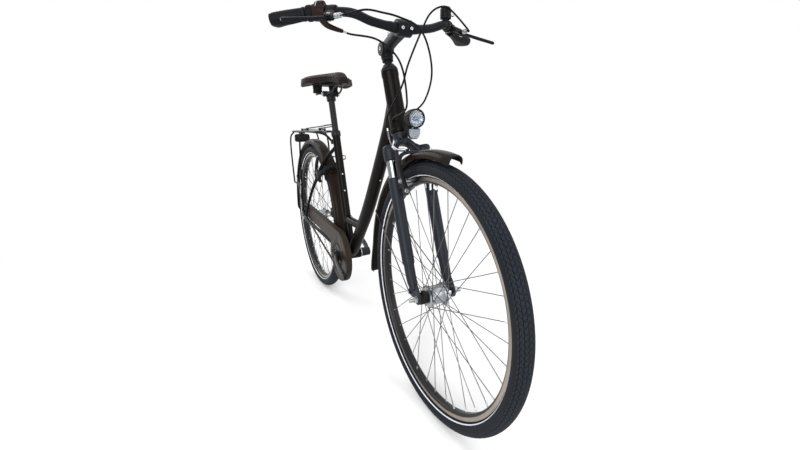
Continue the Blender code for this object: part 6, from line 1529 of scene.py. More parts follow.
@dataclass
class Cockpit:
    """Stem, handlebar, grips, brake levers, twist shifter and bell."""

    lever_pivot: tuple[float, float, float] = (-0.176, 0.194, 0.6960)
    lever_tip: tuple[float, float, float] = (-0.176, 0.3085, 0.6790)
    lever_normal: tuple[float, float, float] = (0.426, 0.155, 0.891)
    barrel_end: tuple[float, float, float] = (-0.132, 0.1780, 0.6925)
    grip_start_left: float = 0.205
    grip_start_right: float = 0.2246

    def build(self) -> None:
        """Builds everything on top of the fork."""
        self._stem()
        self._bar()
        self._grip("grip_left", self.grip_start_left, 1)
        self._grip("grip_right", self.grip_start_right, -1)
        self._brake_lever("left", 1)
        self._brake_lever("right", -1)
        self._shifter()
        self._bell()

    def _stem(self) -> None:
        """The quill, the angle joint, the arm and the bar clamp, with its bolts."""
        shape = Shape()
        axis = fork(0, -RAKE)
        profile = [(0.5620, 0), (0.5620, 0.0110), (0.6720, 0.0110), (0.6720, 0.0150), (0.6728, 0.0157)]
        profile += [
            (0.6798, 0.0158), (0.6806, 0.0168), (0.6818, 0.0174), (0.7060, 0.0170), (0.7076, 0.0160),
            (0.7080, 0),
        ]
        shape.lathe(profile, axis, STEER_UP, 44)
        band = [(0.6722, 0.0112), (0.6722, 0.0159), (0.6796, 0.0160), (0.6796, 0.0112)]
        shape.lathe(band, axis, STEER_UP, 44, ring=True, mark=2)
        pivot = front(-0.2760, 0, 0.6540)
        shape.rod(pivot - Y * 0.0180, pivot + Y * 0.0180, 0.0188, 48, edge=0.0012)
        for sign in (-1, 1):
            shape.rod(pivot + Y * sign * 0.0172, pivot + Y * sign * 0.0188, 0.0126, 40, 0.0112)
            shape.cap_screw(pivot + Y * sign * 0.0180, Y * sign, 0.0044, 0.0012, mark=1)
        centre = front(Handlebar.centre_x, 0, Handlebar.centre_z)
        for side in (-0.0108, 0.0108):
            middle = centre + Y * side
            shape.rod(middle - Y * 0.0104, middle + Y * 0.0104, 0.0213, 48, edge=0.0012)
        shape.rod(centre - Y * 0.0205, centre + Y * 0.0205, 0.0203, 48)
        stations = [(-0.2760, 0.6540, 0.0160, 0.0165), (-0.2350, 0.6680, 0.0150, 0.0150)]
        stations.append((-0.1780, 0.6840, 0.0165, 0.0160))

        def arm(c: float, s: float, x: float, z: float, wide: float, tall: float) -> Vector:
            """A corner of the arm, whose sections lean back."""
            return front(x - 0.3 * tall * s, wide * c, z + tall * s)

        shape.sweep(stations, 8, 28, 0.62, arm)
        for sign in (-1, 1):
            foot = centre + Vector((0.0140, sign * 0.0125, -0.004))
            shape.cap_screw(foot + Vector((0.0052, 0, 0)), Vector((1, 0, 0.04)), 0.0041, 0.0066, mark=1)
            top = front(-0.235, sign * 0.0075, 0.672)
            upward = Vector((-0.006, 0, 0.0190)).normalized()
            shape.cap_screw(top + upward * 0.0125, upward, 0.0038, 0.0066, mark=1)
        hollow = centre + Vector((0.0186, 0, -0.0085))
        shape.nut(hollow, Vector((1, 0, -0.35)), 0.0034, 0.0026, mark=2)
        piece = shape.build("stem_surface", BAR_PAINT, BOLT, PLASTIC)
        settle(piece, "steering", "frame_black", "stem")

    @staticmethod
    def _bar() -> None:
        """The handlebar tube with its thicker middle."""
        shape = Shape()
        path = Handlebar.whole(12)
        radii = []
        for point in path:
            share = min(1.0, max(0.0, (abs(point.y) - 0.038) / 0.012))
            radii.append(0.0127 - 0.0016 * share)
        shape.tube(path, radii, 32)
        for side in (-0.030, 0.030):
            Handlebar.ring(shape, (side - 0.0008, side + 0.0008), (0.01285, 0.01285))
        settle(shape.build("handlebar_surface", BAR_PAINT), "steering", "frame_black", "handlebar")

    @staticmethod
    def _grip_ring(start: float, sign: int, share: float, count: int) -> list[Vector]:
        """One section of a grip, whose palm rest grows towards the end."""
        end = Handlebar.half_width - 0.0078
        place, along = Handlebar.at(sign * (start + (end - 0.0015 - start) * min(share, 0.999)))
        if share >= 1.0:
            place = place + along * (end - abs(place.y)) / abs(along.y)
        back = Vector((-1, 0, -0.30))
        back = (back - along * back.dot(along)).normalized()
        upward = along.cross(back) if sign > 0 else back.cross(along)
        body = 0.0150 + 0.0012 * math.sin(math.pi * share)
        rounding = 1.0 if share < 0.86 else math.sqrt(max(0.0, 1 - ((share - 0.86) / 0.15) ** 2))
        wing = 0.0035 + 0.0230 * share**1.8 * (0.45 + 0.55 * rounding)
        ring = []
        for k in range(count):
            turn = 2 * math.pi * (k + 0.5) / count
            reach = (body + wing * max(0.0, math.cos(turn)) ** 2) * (0.90 + 0.10 * rounding)
            up = body * 1.05 * (0.82 + 0.18 * rounding)
            ring.append(place + back * (reach * math.cos(turn)) + upward * (up * math.sin(turn)))
        return ring

    def _grip(self, name: str, start: float, sign: int) -> None:
        """A rubber grip with its palm rest, a clamp ring at its inner end and an end cap."""
        shape = Shape()
        shares = [0, 0.012] + [0.03 + 0.91 * k / 26 for k in range(27)] + [0.965, 0.985, 1.0]
        rings = [self._grip_ring(start, sign, share, 44) for share in shares]
        centre = sum(rings[0], Vector()) / 44
        rings[0] = [centre + (point - centre) * 0.93 for point in rings[0]]
        shape.loft(rings)
        along = Handlebar.at(sign * start)[1]
        place = Handlebar.at(sign * (start + 0.0045))[0]
        shape.lathe([(-0.0036, 0.0140), (-0.0036, 0.0164), (-0.0026, 0.0172), (0.0026, 0.0172), (0.0036, 0.0164),
                     (0.0036, 0.0140)], place, along, 40, ring=True, mark=1)
        shape.cap_screw(place + Z * 0.0162, Z, 0.0026, 0.0014, mark=2)
        piece = shape.build(name + "_surface", GRIP_RUBBER, PLASTIC, BOLT, angle=46)
        settle(piece, "steering", "grip_rubber", name)

    def _brake_lever(self, suffix: str, sign: int) -> None:
        """The clamped housing with its cable barrel, and the blade that turns in it."""
        pivot = FRONT_AXLE + mirrored(self.lever_pivot, sign)
        tip = FRONT_AXLE + mirrored(self.lever_tip, sign)
        normal = mirrored(self.lever_normal, sign).normalized()
        reach = (tip - pivot).normalized()
        ahead = reach.cross(normal) if sign > 0 else normal.cross(reach)
        shape = Shape()
        places = [sign * (0.171 + step) for step in (-0.0072, -0.0064, 0.0, 0.0064, 0.0072)]
        Handlebar.ring(shape, places, [0.0150, 0.0160, 0.0164, 0.0160, 0.0150])
        place, _ = Handlebar.at(sign * 0.171)
        middle = place.lerp(pivot, 0.55)
        gap = 0.0044
        for level in (-1, 1):
            stations = [(*place, 0.0070, 0.0080), (*middle, 0.0108, 0.0088), (*pivot, 0.0128, 0.0084)]
            stations.append((*(pivot + ahead * 0.0095), 0.0086, 0.0064))

            def cheek(c: float, s: float, x: float, y: float, z: float, wide: float, tall: float) -> Vector:
                """A corner of one half of the housing, on its side of the blade's slot."""
                up = level * (gap + (tall - gap) * (0.5 + 0.5 * s))
                return Vector((x, y, z)) + reach * (wide * c) + normal * up

            shape.sweep(stations, 5, 24, 0.55, cheek)
        core = place.lerp(pivot, 0.22)
        shape.block(core, (0.016, 0.013, 0.0150), ahead, normal, 0.5)
        for level in (-1, 1):
            shape.cap_screw(pivot + normal * level * 0.0074, normal * level, 0.0048, 0.0024, mark=1)
        clamp_screw = place - normal * 0.0150 + ahead * 0.004
        shape.cap_screw(clamp_screw, -normal, 0.0034, 0.0020, mark=1)
        barrel_end = FRONT_AXLE + mirrored(self.barrel_end, sign)
        inward = (barrel_end - pivot).normalized()
        start = pivot + inward * 0.0045
        length = (barrel_end - start).length
        seat = length - 0.0215
        shape.lathe([(0, 0), (0, 0.0050), (seat, 0.0052), (seat, 0)], start, inward, 24)
        profile = [
            (seat + 0.0002, 0), (seat + 0.0002, 0.0058), (seat + 0.0010, 0.0064), (length - 0.0112, 0.0064),
        ]
        profile += [(length - 0.0104, 0.0055), (length - 0.0090, 0.0055), (length - 0.0082, 0.0063)]
        profile += [(length - 0.0008, 0.0061), (length, 0.0052), (length, 0)]
        shape.lathe(profile, start, inward, 24, mark=2)
        piece = shape.build(f"lever_housing_{suffix}_surface", PLASTIC, BOLT, SILVER, angle=34)
        settle(piece, "steering", "plastic", "lever_housing_" + suffix)
        self._blade(suffix, sign, pivot, tip, reach, normal, ahead)

    @staticmethod
    def _blade(
        suffix: str, sign: int, pivot: Vector, tip: Vector, reach: Vector, normal: Vector, ahead: Vector
    ) -> None:
        """The curved blade, rounded in section and wider at its tip."""
        length = (tip - pivot).length
        stations = [
            (-0.0085, 0.0, 0.0043, 0.0034), (0.0, 0.0, 0.0066, 0.0037), (0.016, 0.001, 0.0063, 0.0037),
        ]
        stations += [(0.030, 0.004, 0.0052, 0.0043), (0.055, 0.006, 0.0049, 0.0045)]
        stations += [(length * 0.72, 0.0035, 0.0049, 0.0045), (length * 0.9, 0.0015, 0.0055, 0.0045)]
        stations += [(length * 0.965, 0.0022, 0.0056, 0.0045), (length, 0.003, 0.0034, 0.0028)]

        def corner(c: float, s: float, out: float, bow: float, wide: float, thick: float) -> Vector:
            """A corner of the blade, out along it and bowed forward."""
            return pivot + reach * out + ahead * bow + ahead * (wide * c) + normal * (thick * s)

        shape = Shape()
        shape.sweep(stations, 6, 24, 0.7, corner)
        piece = shape.build(f"lever_blade_{suffix}_surface", BAR_PAINT, angle=50)
        settle(piece, "lever_" + suffix, "plastic", "lever_blade_" + suffix)

    @staticmethod
    def _shifter() -> None:
        """The twist shifter's housing with its bulge, light line and cable snout, and its turning ring."""
        shape = Shape()
        places = [-0.1806, -0.1815, -0.1860, -0.1920, -0.1975, -0.2010, -0.2024, -0.2030]
        Handlebar.ring(shape, places, [0.0150, 0.0172, 0.0192, 0.0204, 0.0208, 0.0207, 0.0202, 0.0190])
        middle, outward = Handlebar.at(-0.2160)
        if outward.y > 0:
            outward = -outward
        collar = [
            (-0.0180, 0.0113), (-0.0180, 0.0190), (-0.0168, 0.0202), (-0.0108, 0.0203), (-0.0097, 0.0198),
        ]
        shape.lathe([*collar, (-0.0091, 0.0188), (-0.0091, 0.0113)], middle, outward, 44, ring=True)
        place, along = Handlebar.at(SHIFTER_PLACE)
        centre = place + Vector((0.003, 0, 0.012))
        profile = [(-0.012, 0), (-0.012, 0.0118), (-0.0108, 0.0140), (-0.0080, 0.0150), (0.0080, 0.0150)]
        profile += [(0.0108, 0.0140), (0.012, 0.0118), (0.012, 0)]
        shape.lathe(profile, centre, along, 40)
        shape.lathe([(-0.0007, 0.0146), (-0.0007, 0.01515), (0.0007, 0.01515), (0.0007, 0.0146)],
                    centre + along * 0.0052, along, 40, ring=True, mark=1)
        control = [place + Vector((0.004, 0.0012, -0.014)), place + Vector((0.014, 0.005, -0.026))]
        control += [place + Vector((0.026, 0.012, -0.036)), place + Vector((0.033, 0.030, -0.043))]
        control += [place + SHIFTER_OUTLET]
        path = smooth_path(control, 6)
        radii = [0.0094 - 0.0048 * k / (len(path) - 1) for k in range(len(path))]
        radii[-1] = 0.0038
        shape.tube(path, radii, 28)
        shape.cap_screw(place + Vector((0.0185, 0.0, 0.0005)), Vector((1, 0, 0.1)), 0.0026, 0.0014, mark=2)
        piece = shape.build("shifter_housing_surface", SHIFTER_RED, STRIPE, BOLT, angle=34)
        settle(piece, "steering", "plastic", "shifter_housing")
        ring = Shape()
        profile = [
            (-0.0086, 0.0113), (-0.0086, 0.0172), (-0.0078, 0.0187), (-0.0010, 0.0192), (0.0066, 0.0187),
        ]
        profile += [(0.0080, 0.0176), (0.0089, 0.0158), (0.0090, 0.0113)]
        ring.lathe(profile, middle, outward, 44, ring=True)
        helper = (Z - outward * Z.dot(outward)).normalized()
        other = outward.cross(helper)
        for k in range(24):
            turn = 2 * math.pi * k / 24
            out = helper * math.cos(turn) + other * math.sin(turn)
            start, end = middle - outward * 0.0056, middle + outward * 0.0052
            ring.tube([start + out * 0.0186, middle + out * 0.0190, end + out * 0.0186], 0.0009, 8)
        piece = ring.build("shifter_grip_surface", GRIP_RUBBER, angle=46)
        settle(piece, "twist_shifter", "grip_rubber", "shifter_grip")

    @staticmethod
    def _bell() -> None:
        """The upright bell with its clamp band, and the thumb lever on its side."""
        shape = Shape()
        Handlebar.ring(
            shape, [0.1432, 0.1438, 0.148, 0.1522, 0.1528], [0.0136, 0.0143, 0.0144, 0.0143, 0.0136], mark=1,
        )
        top = Handlebar.at(0.148)[0] + Z * 0.0155
        shape.rod(top - Z * 0.0095, top + Z * 0.004, 0.0073, 28, mark=1)
        profile = [
            (0, 0), (0, 0.0148), (0.0008, 0.0156), (0.0060, 0.0158), (0.0064, 0.0151), (0.0072, 0.0151),
        ]
        profile += [
            (0.0076, 0.0157), (0.0240, 0.0155), (0.0280, 0.0142), (0.0310, 0.0112), (0.0326, 0.0066),
            (0.033, 0),
        ]
        shape.lathe(profile, top, Z, 48)
        hinge = top + Vector((0, 0.0110, 0.0115))
        shape.rod(hinge - Z * 0.0044, hinge + Z * 0.0044, 0.0034, 20, mark=1)
        piece = shape.build("bell_surface", BAR_PAINT, PLASTIC, angle=34)
        settle(piece, "steering", "frame_black", "bell")
        lever = Shape()
        outline = [
            (-0.0030, -0.0028), (0.0030, -0.0028), (0.0036, 0.0030), (0.0040, 0.0080), (0.0048, 0.0130),
        ]
        outline += [
            (0.0049, 0.0158), (0.0030, 0.0164), (-0.0020, 0.0164), (-0.0040, 0.0156), (-0.0036, 0.0120),
        ]
        outline += [(-0.0030, 0.0070)]
        lever.prism(outline, hinge - Z * 0.0022, (1, 0, 0), Y, Z * 0.0044, 0.0005)
        piece = lever.build("bell_lever_surface", SILVER, angle=34)
        settle(piece, "bell_thumb", "silver", "bell_lever")


@dataclass
class Saddle:
    """The seat post, clamp, rails, base, rubber springs and the padded cover with its seam."""

    top: float = 0.657
    rail_up: float = -0.0440
    stations: tuple[tuple[float, float, float, float], ...] = (
        (-0.1420, 0.0560, 0.0190, 0.0020),
        (-0.1320, 0.0860, 0.0270, -0.0070),
        (-0.1080, 0.1020, 0.0300, -0.0070),
        (-0.0700, 0.1050, 0.0300, -0.0070),
        (-0.0300, 0.0900, 0.0290, -0.0090),
        (0.0100, 0.0620, 0.0280, -0.0140),
        (0.0500, 0.0380, 0.0270, -0.0130),
        (0.0900, 0.0260, 0.0255, -0.0130),
        (0.1250, 0.0205, 0.0205, -0.0130),
        (0.1450, 0.0130, 0.0110, -0.0080),
    )
    nosing: float = 0.0085

    def at(self, ahead: float, side: float, up: float) -> Vector:
        """A point measured from the saddle's middle, above the top of the seat post."""
        return on_seat_tube(self.top) + Vector((ahead + 0.0400, side, up + 0.0470))

    def bottom(self, ahead: float) -> float:
        """The height of the cover's underside."""
        for before, after in zip(self.stations, self.stations[1:]):
            if ahead <= after[0]:
                share = (ahead - before[0]) / (after[0] - before[0])
                return before[3] + (after[3] - before[3]) * share + 0.004
        return self.stations[-1][3] + 0.004

    def build(self) -> None:
        """Builds the seat post and everything on it."""
        self._post()
        self._clamp()
        self._base()
        self._springs()
        self._cover()

    def _post(self) -> None:
        """The seat post, and the rails."""
        shape = Shape()
        shape.rod(on_seat_tube(self.top - 0.350), on_seat_tube(self.top), 0.0127, 44, edge=0.0008)
        settle(shape.build("seatpost_surface", CRANK_PAINT), "saddle", "steel", "seatpost")
        rails = Shape()
        rails.tube(self.rail_path(8), 0.0035, 18)
        settle(rails.build("saddle_rails_surface", CRANK_PAINT), "saddle", "steel", "saddle_rails")

    def rail_path(self, steps: int) -> list[Vector]:
        """The rails' centre line, from the left rubber spring round the nose to the right one."""
        low = self.rail_up
        high = self.bottom(0.09) - 0.0050 - 0.0035 - GAP * 2
        half = [
            (-0.1340, 0.0340, low + 0.003), (-0.0860, 0.0338, low + 0.003), (-0.0620, 0.0260, low + 0.001),
        ]
        half += [(-0.0400, 0.0225, low), (0.0000, 0.0215, low), (0.0350, 0.0180, low + 0.004)]
        half += [(0.0650, 0.0145, high - 0.0070), (0.0860, 0.0105, high - 0.0010)]
        points = half + [(0.1000, 0, high)] + [(ahead, -side, up) for ahead, side, up in reversed(half)]
        return smooth_path([self.at(*point) for point in points], steps)

    def _clamp(self) -> None:
        """The socket on the post, the neck, the toothed side washers and the crosswise bolt."""
        shape = Shape()
        low, high = self.top - 0.026, self.top + 0.006
        profile = [
            (low, 0.0130), (low, 0.0176), (low + 0.001, 0.0184), (high - 0.001, 0.0184), (high, 0.0176),
            (high, 0),
        ]
        profile = [(low, 0)] + profile
        shape.lathe(profile, BRACKET, SEAT_UP, 44)
        crown = self.at(-0.0400, 0, self.rail_up)
        shape.block(crown - Z * 0.010, (0.0220, 0.0240, 0.0240), power=0.4)
        shape.rod(crown - Y * 0.0310, crown + Y * 0.0310, 0.0104, 32, edge=0.0008)
        for sign in (-1, 1):
            for inner, outer in ((0.0150, 0.0196), (0.0252, 0.0300)):
                start, end = crown + Y * sign * inner, crown + Y * sign * outer
                shape.rod(start, end, 0.0119, 40, edge=0.0009)
            for k in range(24):
                turn = 2 * math.pi * k / 24
                start = crown + Vector((0.0088 * math.cos(turn), sign * 0.0299, 0.0088 * math.sin(turn)))
                end = crown + Vector((0.0113 * math.cos(turn), sign * 0.0299, 0.0113 * math.sin(turn)))
                shape.rod(start, end, 0.0006, 6)
            shape.nut(crown + Y * sign * 0.0308, Y * sign, 0.0079, 0.0060, mark=1)
        place = on_seat_tube(self.top - 0.010, -0.0178)
        shape.cap_screw(place, -SEAT_AHEAD, 0.0036, 0.0018, mark=1)
        settle(shape.build("saddle_clamp_surface", CRANK_PAINT, BOLT), "saddle", "steel", "saddle_clamp")

    def _base(self) -> None:
        """The plastic base plate."""
        centres = smooth_path(
            [(ahead, wide, self.bottom(ahead) - GAP) for ahead, wide, _, _ in self.stations[1:-1]], 4,
        )
        rings = []
        for point in centres:
            half, under = point.y * 0.55 - 0.002, point.z
            corners = [
                (half, -0.0004), (half, -0.0042), (half - 0.0008, -0.0050), (half * 0.5, -0.0050),
                (0, -0.0050),
            ]
            corners += [(-half * 0.5, -0.0050), (-half + 0.0008, -0.0050), (-half, -0.0042), (-half, -0.0004)]
            corners += [(-half + 0.0008, 0), (0, 0), (half - 0.0008, 0)]
            rings.append([self.at(point.x, side, under + up) for side, up in corners])
        shape = Shape()
        shape.loft(rings)
        settle(shape.build("saddle_base_surface", PLASTIC, angle=30), "saddle", "plastic", "saddle_base")

    def _springs(self) -> None:
        """The two waisted rubber springs, each with folds."""
        for suffix, sign in (("right", -1), ("left", 1)):
            foot = self.at(-0.1080, sign * 0.0340, self.rail_up + 0.0030 + 0.0035 + GAP)
            height = self.at(0, 0, self.bottom(-0.1080) - GAP * 2 - 0.0050).z - foot.z
            profile = [(0, 0), (0, 0.0162)]
            count = 30
            for k in range(count + 1):
                share = k / count
                waist = 0.0202 - 0.0020 * math.sin(math.pi * share)
                fold = 0.0006 * math.cos(6 * math.pi * share)
                inset = 0.0022 if k in (0, count) else 0
                profile.append((height * (0.02 + 0.96 * share), waist + fold - inset))
            profile += [(height, 0.0162), (height, 0)]
            shape = Shape()
            shape.lathe(profile, foot, Z, 40)
            piece = shape.build(f"elastomer_{suffix}_surface", SPRING_RUBBER, angle=50)
            settle(piece, "saddle", "grip_rubber", "elastomer_" + suffix)

    def section(self, ahead: float, half_width: float, top: float, bottom: float, count: int) -> list[Vector]:
        """One section of the cover: a domed top over a soft lower edge."""
        ring = []
        lift, droop = self.skirt(ahead)
        for k in range(count):
            t = math.pi * k / (count - 1)
            c = math.copysign(abs(math.cos(t)) ** 0.75, math.cos(t))
            s = math.sin(t) ** 0.55 if 0 < k < count - 1 else 0.0
            ring.append(self.at(ahead, half_width * c, bottom + (top - bottom) * s + lift * (1 - s) - droop))
        for share in (-0.78, -0.4, 0.0, 0.4, 0.78):
            tuck = 0.0036 * (1 - share**4) + lift * abs(share) ** (1.5 if lift > 0 else 5)
            ring.append(self.at(ahead, half_width * share, bottom + tuck - droop))
        return ring

    @staticmethod
    def skirt(ahead: float) -> tuple[float, float]:
        """How far the lower edge rises at the waist, and how far the nose hangs."""
        lift = 0.0085 * math.exp(-(((ahead - 0.025) / 0.048) ** 2))
        lift -= 0.0060 * math.exp(-(((ahead + 0.125) / 0.035) ** 2))
        share = min(1.0, max(0.0, (ahead - 0.092) / 0.053))
        return lift, 0.0125 * share * share * (3 - 2 * share)

    def _fine_stations(self) -> list[tuple[float, float, float, float]]:
        """The cover's stations filled in between, with rounded ends."""
        wide = smooth_path([(a, w, 0) for a, w, _, _ in self.stations], 5)
        tall = smooth_path([(a, t, b) for a, _, t, b in self.stations], 5)
        found = [(w.x, w.y, t.y, t.z) for w, t in zip(wide, tall)]
        start, end = found[0][0] + self.nosing, found[-1][0] - self.nosing
        found = [station for station in found if start <= station[0] <= end]
        first, last = found[0], found[-1]
        for share in (0.30, 0.55, 0.75, 0.90, 0.98):
            small = math.sqrt(1 - share * share)
            for (ahead, half, top, bottom), sign in ((first, -1), (last, 1)):
                middle, tall_half = (top + bottom) / 2, (top - bottom) / 2 * small
                ring = (
                    ahead + sign * self.nosing * share, half * small, middle + tall_half, middle - tall_half,
                )
                found.insert(0 if sign < 0 else len(found), ring)
        return found

    def _cover(self) -> None:
        """The padded cover, puffed slightly, with a seam and its stitches along the lower edge."""
        shape = Shape()
        fine = self._fine_stations()
        shape.loft([self.section(*station, 41) for station in fine])
        piece = shape.build("saddle_cover_surface", SADDLE_SKIN, angle=70)
        self._puff(piece)
        settle(piece, "saddle", "leather", "saddle_cover")
        line = [self._seam_point(*station) for station in fine[4:-4]]
        right = [Vector((p.x, -p.y, p.z)) for p in reversed(line)]
        ahead, _, top, bottom = fine[-1]
        nose = [self.at(ahead + 0.0010, 0, (top + bottom) / 2 - self.skirt(ahead)[1])]
        raised = smooth_path(line[::2] + nose + right[::2], 6)
        welt = Shape()
        welt.tube(raised, 0.0011, 10)
        settle(welt.build("saddle_welt", SADDLE_SKIN), "saddle", "leather")
        stitch = Shape()
        stitch.tube([Vector((-0.0014, 0, 0)), Vector((0, 0, 0.0002)), Vector((0.0014, 0, 0))], 0.00045, 6)
        form = stitch.build("stitch", THREAD)
        sewn = Repeats.along(
            "saddle_stitches", form, [point + Z * 0.0022 for point in raised], 150, THREAD, closed=False
        )
        settle(sewn, "saddle", "leather")

    def _seam_point(self, ahead: float, half: float, top: float, bottom: float) -> Vector:
        """A point of the seam, low on the cover's left side."""
        t = math.radians(17)
        c, s = math.cos(t) ** 0.75, math.sin(t) ** 0.55
        lift, droop = self.skirt(ahead)
        return self.at(ahead, half * c + 0.0004, bottom + (top - bottom) * s + lift * (1 - s) - droop)

    @staticmethod
    def _puff(piece: bpy.types.Object) -> None:
        """Swells the cover a little with a short cloth run, pinned along its lower edge."""
        group = piece.vertex_groups.new(name="pinned")
        floor = min(vertex.co.z for vertex in piece.data.vertices)
        for vertex in piece.data.vertices:
            low = vertex.normal.z < 0.15 or vertex.co.z < floor + 0.012
            group.add([vertex.index], 1.0 if low else 0.0, "REPLACE")
        cloth = piece.modifiers.new("padding", "CLOTH")
        cloth.settings.vertex_group_mass = "pinned"
        cloth.settings.use_pressure = True
        cloth.settings.uniform_pressure_force = 3.0
        cloth.settings.effector_weights.gravity = 0.0
        cloth.settings.quality = 6
        cloth.settings.tension_stiffness = 30
        cloth.settings.compression_stiffness = 30
        cloth.settings.bending_stiffness = 4
        cloth.point_cache.frame_start, cloth.point_cache.frame_end = 1, 14
        scene = bpy.context.scene
        before = [vertex.co.copy() for vertex in piece.data.vertices]
        for frame in range(1, 15):
            scene.frame_set(frame)
        graph = bpy.context.evaluated_depsgraph_get()
        solved = piece.evaluated_get(graph).to_mesh()
        after = [vertex.co.copy() for vertex in solved.vertices]
        piece.evaluated_get(graph).to_mesh_clear()
        piece.modifiers.clear()
        scene.frame_set(1)
        for vertex, old, new in zip(piece.data.vertices, before, after):
            moved = new - old
            if moved.length > 0.0016:
                moved = moved.normalized() * 0.0016
            vertex.co = old + moved
        piece.vertex_groups.clear()


@dataclass
class Drivetrain:
    """Cranks, chainring, sprocket, chain and the chain guard."""

    pitch: float = 0.0127
    ring_teeth: int = 44
    sprocket_teeth: int = 18
    line: float = 0.045
    thickness: float = 0.0026
    crank_length: float = 0.170
    tilt: float = math.radians(-10)
    guard_radius: float = 0.103
    guard_outer: float = 0.0585
    guard_inner: float = 0.0355
    guard_wall: float = 0.0018

    def build(self) -> None:
        """Builds the whole drive."""
        self._crank("crank_right", -1)
        self._crank("crank_left", 1)
        self._chainring()
        self._sprocket()
        self._chain()
        self._guard()

    def _radius(self, teeth: int) -> float:
        """The pitch radius of a toothed wheel."""
        return self.pitch / (2 * math.sin(math.pi / teeth))

    def _direction(self, sign: int) -> Vector:
        """From the spindle to a pedal eye. The right crank points forward and the left one back."""
        turn = self.tilt if sign < 0 else self.tilt + math.pi
        return heading(turn)

    def _crank(self, name: str, sign: int) -> None:
        """One crank with its boss, dust cap and threaded pedal eye, and on the right its five fingers."""
        shape = Shape()
        reach = self._direction(sign)
        square = Y.cross(reach)
        stations = [
            (-0.0040, 0.0630, 0.0150, 0.0100), (0.020, 0.0720, 0.0149, 0.0084),
            (0.050, 0.0800, 0.0130, 0.0069),
        ]
        stations += [(0.100, 0.0865, 0.0119, 0.0064), (self.crank_length - 0.015, 0.0900, 0.0124, 0.0064)]

        def corner(c: float, s: float, along: float, side: float, wide: float, deep: float) -> Vector:
            """A corner of the arm, out along it and to its side of the bike."""
            return BRACKET + reach * along + square * (wide * c) + Y * sign * (side + deep * s)

        shape.sweep(stations, 8, 32, 0.5, corner)
        eye = BRACKET + reach * self.crank_length
        profile = [(0.0825, 0.0073), (0.0825, 0.0130), (0.0833, 0.0139), (0.0967, 0.0139), (0.0975, 0.0130)]
        profile += [(0.0975, 0.0080), (0.0968, 0.0073)]
        shape.lathe(profile, eye, Y * sign, 44, ring=True)
        thread = [(0.0826 + 0.00125 * k / 2, 0.0070 + 0.0004 * (k % 2)) for k in range(24)]
        thread += [(0.0970, 0.0080), (0.0826, 0.0080)]
        shape.lathe(thread, eye, Y * sign, 32, ring=True, mark=1)
        inside = self.line + self.thickness / 2 + GAP if sign < 0 else 0.0381
        outside = 0.0790 if sign < 0 else 0.0750
        profile = [(inside, 0.0090), (inside, 0.0176), (inside + 0.0008, 0.0183), (outside - 0.0012, 0.0171)]
        profile += [(outside - 0.0002, 0.0160), (outside - 0.0002, 0.0112), (outside - 0.0014, 0.0106)]
        profile += [(outside - 0.0014, 0.0090)]
        shape.lathe(profile, BRACKET, Y * sign, 48, ring=True)
        cap = BRACKET + Y * sign * (outside - 0.0030)
        shape.rod(cap, cap + Y * sign * 0.0022, 0.0104, 40, edge=0.0008, mark=2)
        if sign < 0:
            shape.rod(BRACKET - Y * 0.0700, BRACKET + Y * 0.0620, 0.0084, 32, mark=1)
            for k in range(5):
                turn = self.tilt + 2 * math.pi * (k + 0.5) / 5
                outward = heading(turn)
                across = Y.cross(outward)
                outline = [
                    (0.010, -0.0108), (0.030, -0.0080), (0.050, -0.0062), (0.058, -0.0066), (0.0640, -0.0075),
                ]
                outline += [
                    (0.0655, -0.0040), (0.0655, 0.0040), (0.0640, 0.0075), (0.058, 0.0066), (0.050, 0.0062),
                ]
                outline += [(0.030, 0.0080), (0.010, 0.0108)]
                shape.prism(outline, BRACKET - Y * inside, outward, across, -Y * 0.0040, 0.0006)
                bolt = BRACKET - Y * (inside + 0.0036) + outward * 0.0585
                shape.cap_screw(bolt, -Y, 0.0042, 0.0016, mark=1)
        piece = shape.build(name + "_surface", CRANK_PAINT, STEEL, PLASTIC, angle=34)
        settle(piece, "crank", "crank_black", name)

    def _toothed(self, teeth: int) -> list[tuple[float, float]]:
        """An outline with rounded roller seats and blunt tips."""
        pitch, step = self._radius(teeth), 2 * math.pi / teeth
        points = []
        for k in range(teeth):
            for share, reach in ((-0.07, 0.0024), (0.07, 0.0024), (0.22, -0.0006), (0.36, -0.0034), (0.5, -0.0040),
                                 (0.64, -0.0034), (0.78, -0.0006)):
                turn = (k + share) * step
                points.append(((pitch + reach) * math.cos(turn), (pitch + reach) * math.sin(turn)))
        return points

    @staticmethod
    def _holed(shape: Shape, outline: Sequence[tuple[float, float]], hole: float, face: Vector, depth: Vector,
               mark: int = 0) -> None:
        """A flat ring between an outline and a round hole."""
        count = len(outline)
        outer = [Vector((x, 0, z)) for x, z in outline]
        inner = [point.normalized() * hole for point in outer]
        points = [face + p for p in outer] + [face + p for p in inner]
        points += [face + depth + p for p in outer] + [face + depth + p for p in inner]
        faces = []
        for k in range(count):
            n = (k + 1) % count
            faces.append((k, n, count + n, count + k))
            faces.append((2 * count + k, 3 * count + k, 3 * count + n, 2 * count + n))
            faces.append((k, 2 * count + k, 2 * count + n, n))
            faces.append((count + k, count + n, 3 * count + n, 3 * count + k))
        shape.add(points, faces, mark)

    def _chainring(self) -> None:
        """The toothed ring that the fingers carry."""
        shape = Shape()
        near = self.line - self.thickness / 2
        self._holed(shape, self._toothed(self.ring_teeth), 0.0562, BRACKET - Y * near, -Y * self.thickness)
        settle(shape.build("chainring_surface", STEEL, angle=30), "crank", "steel", "chainring")

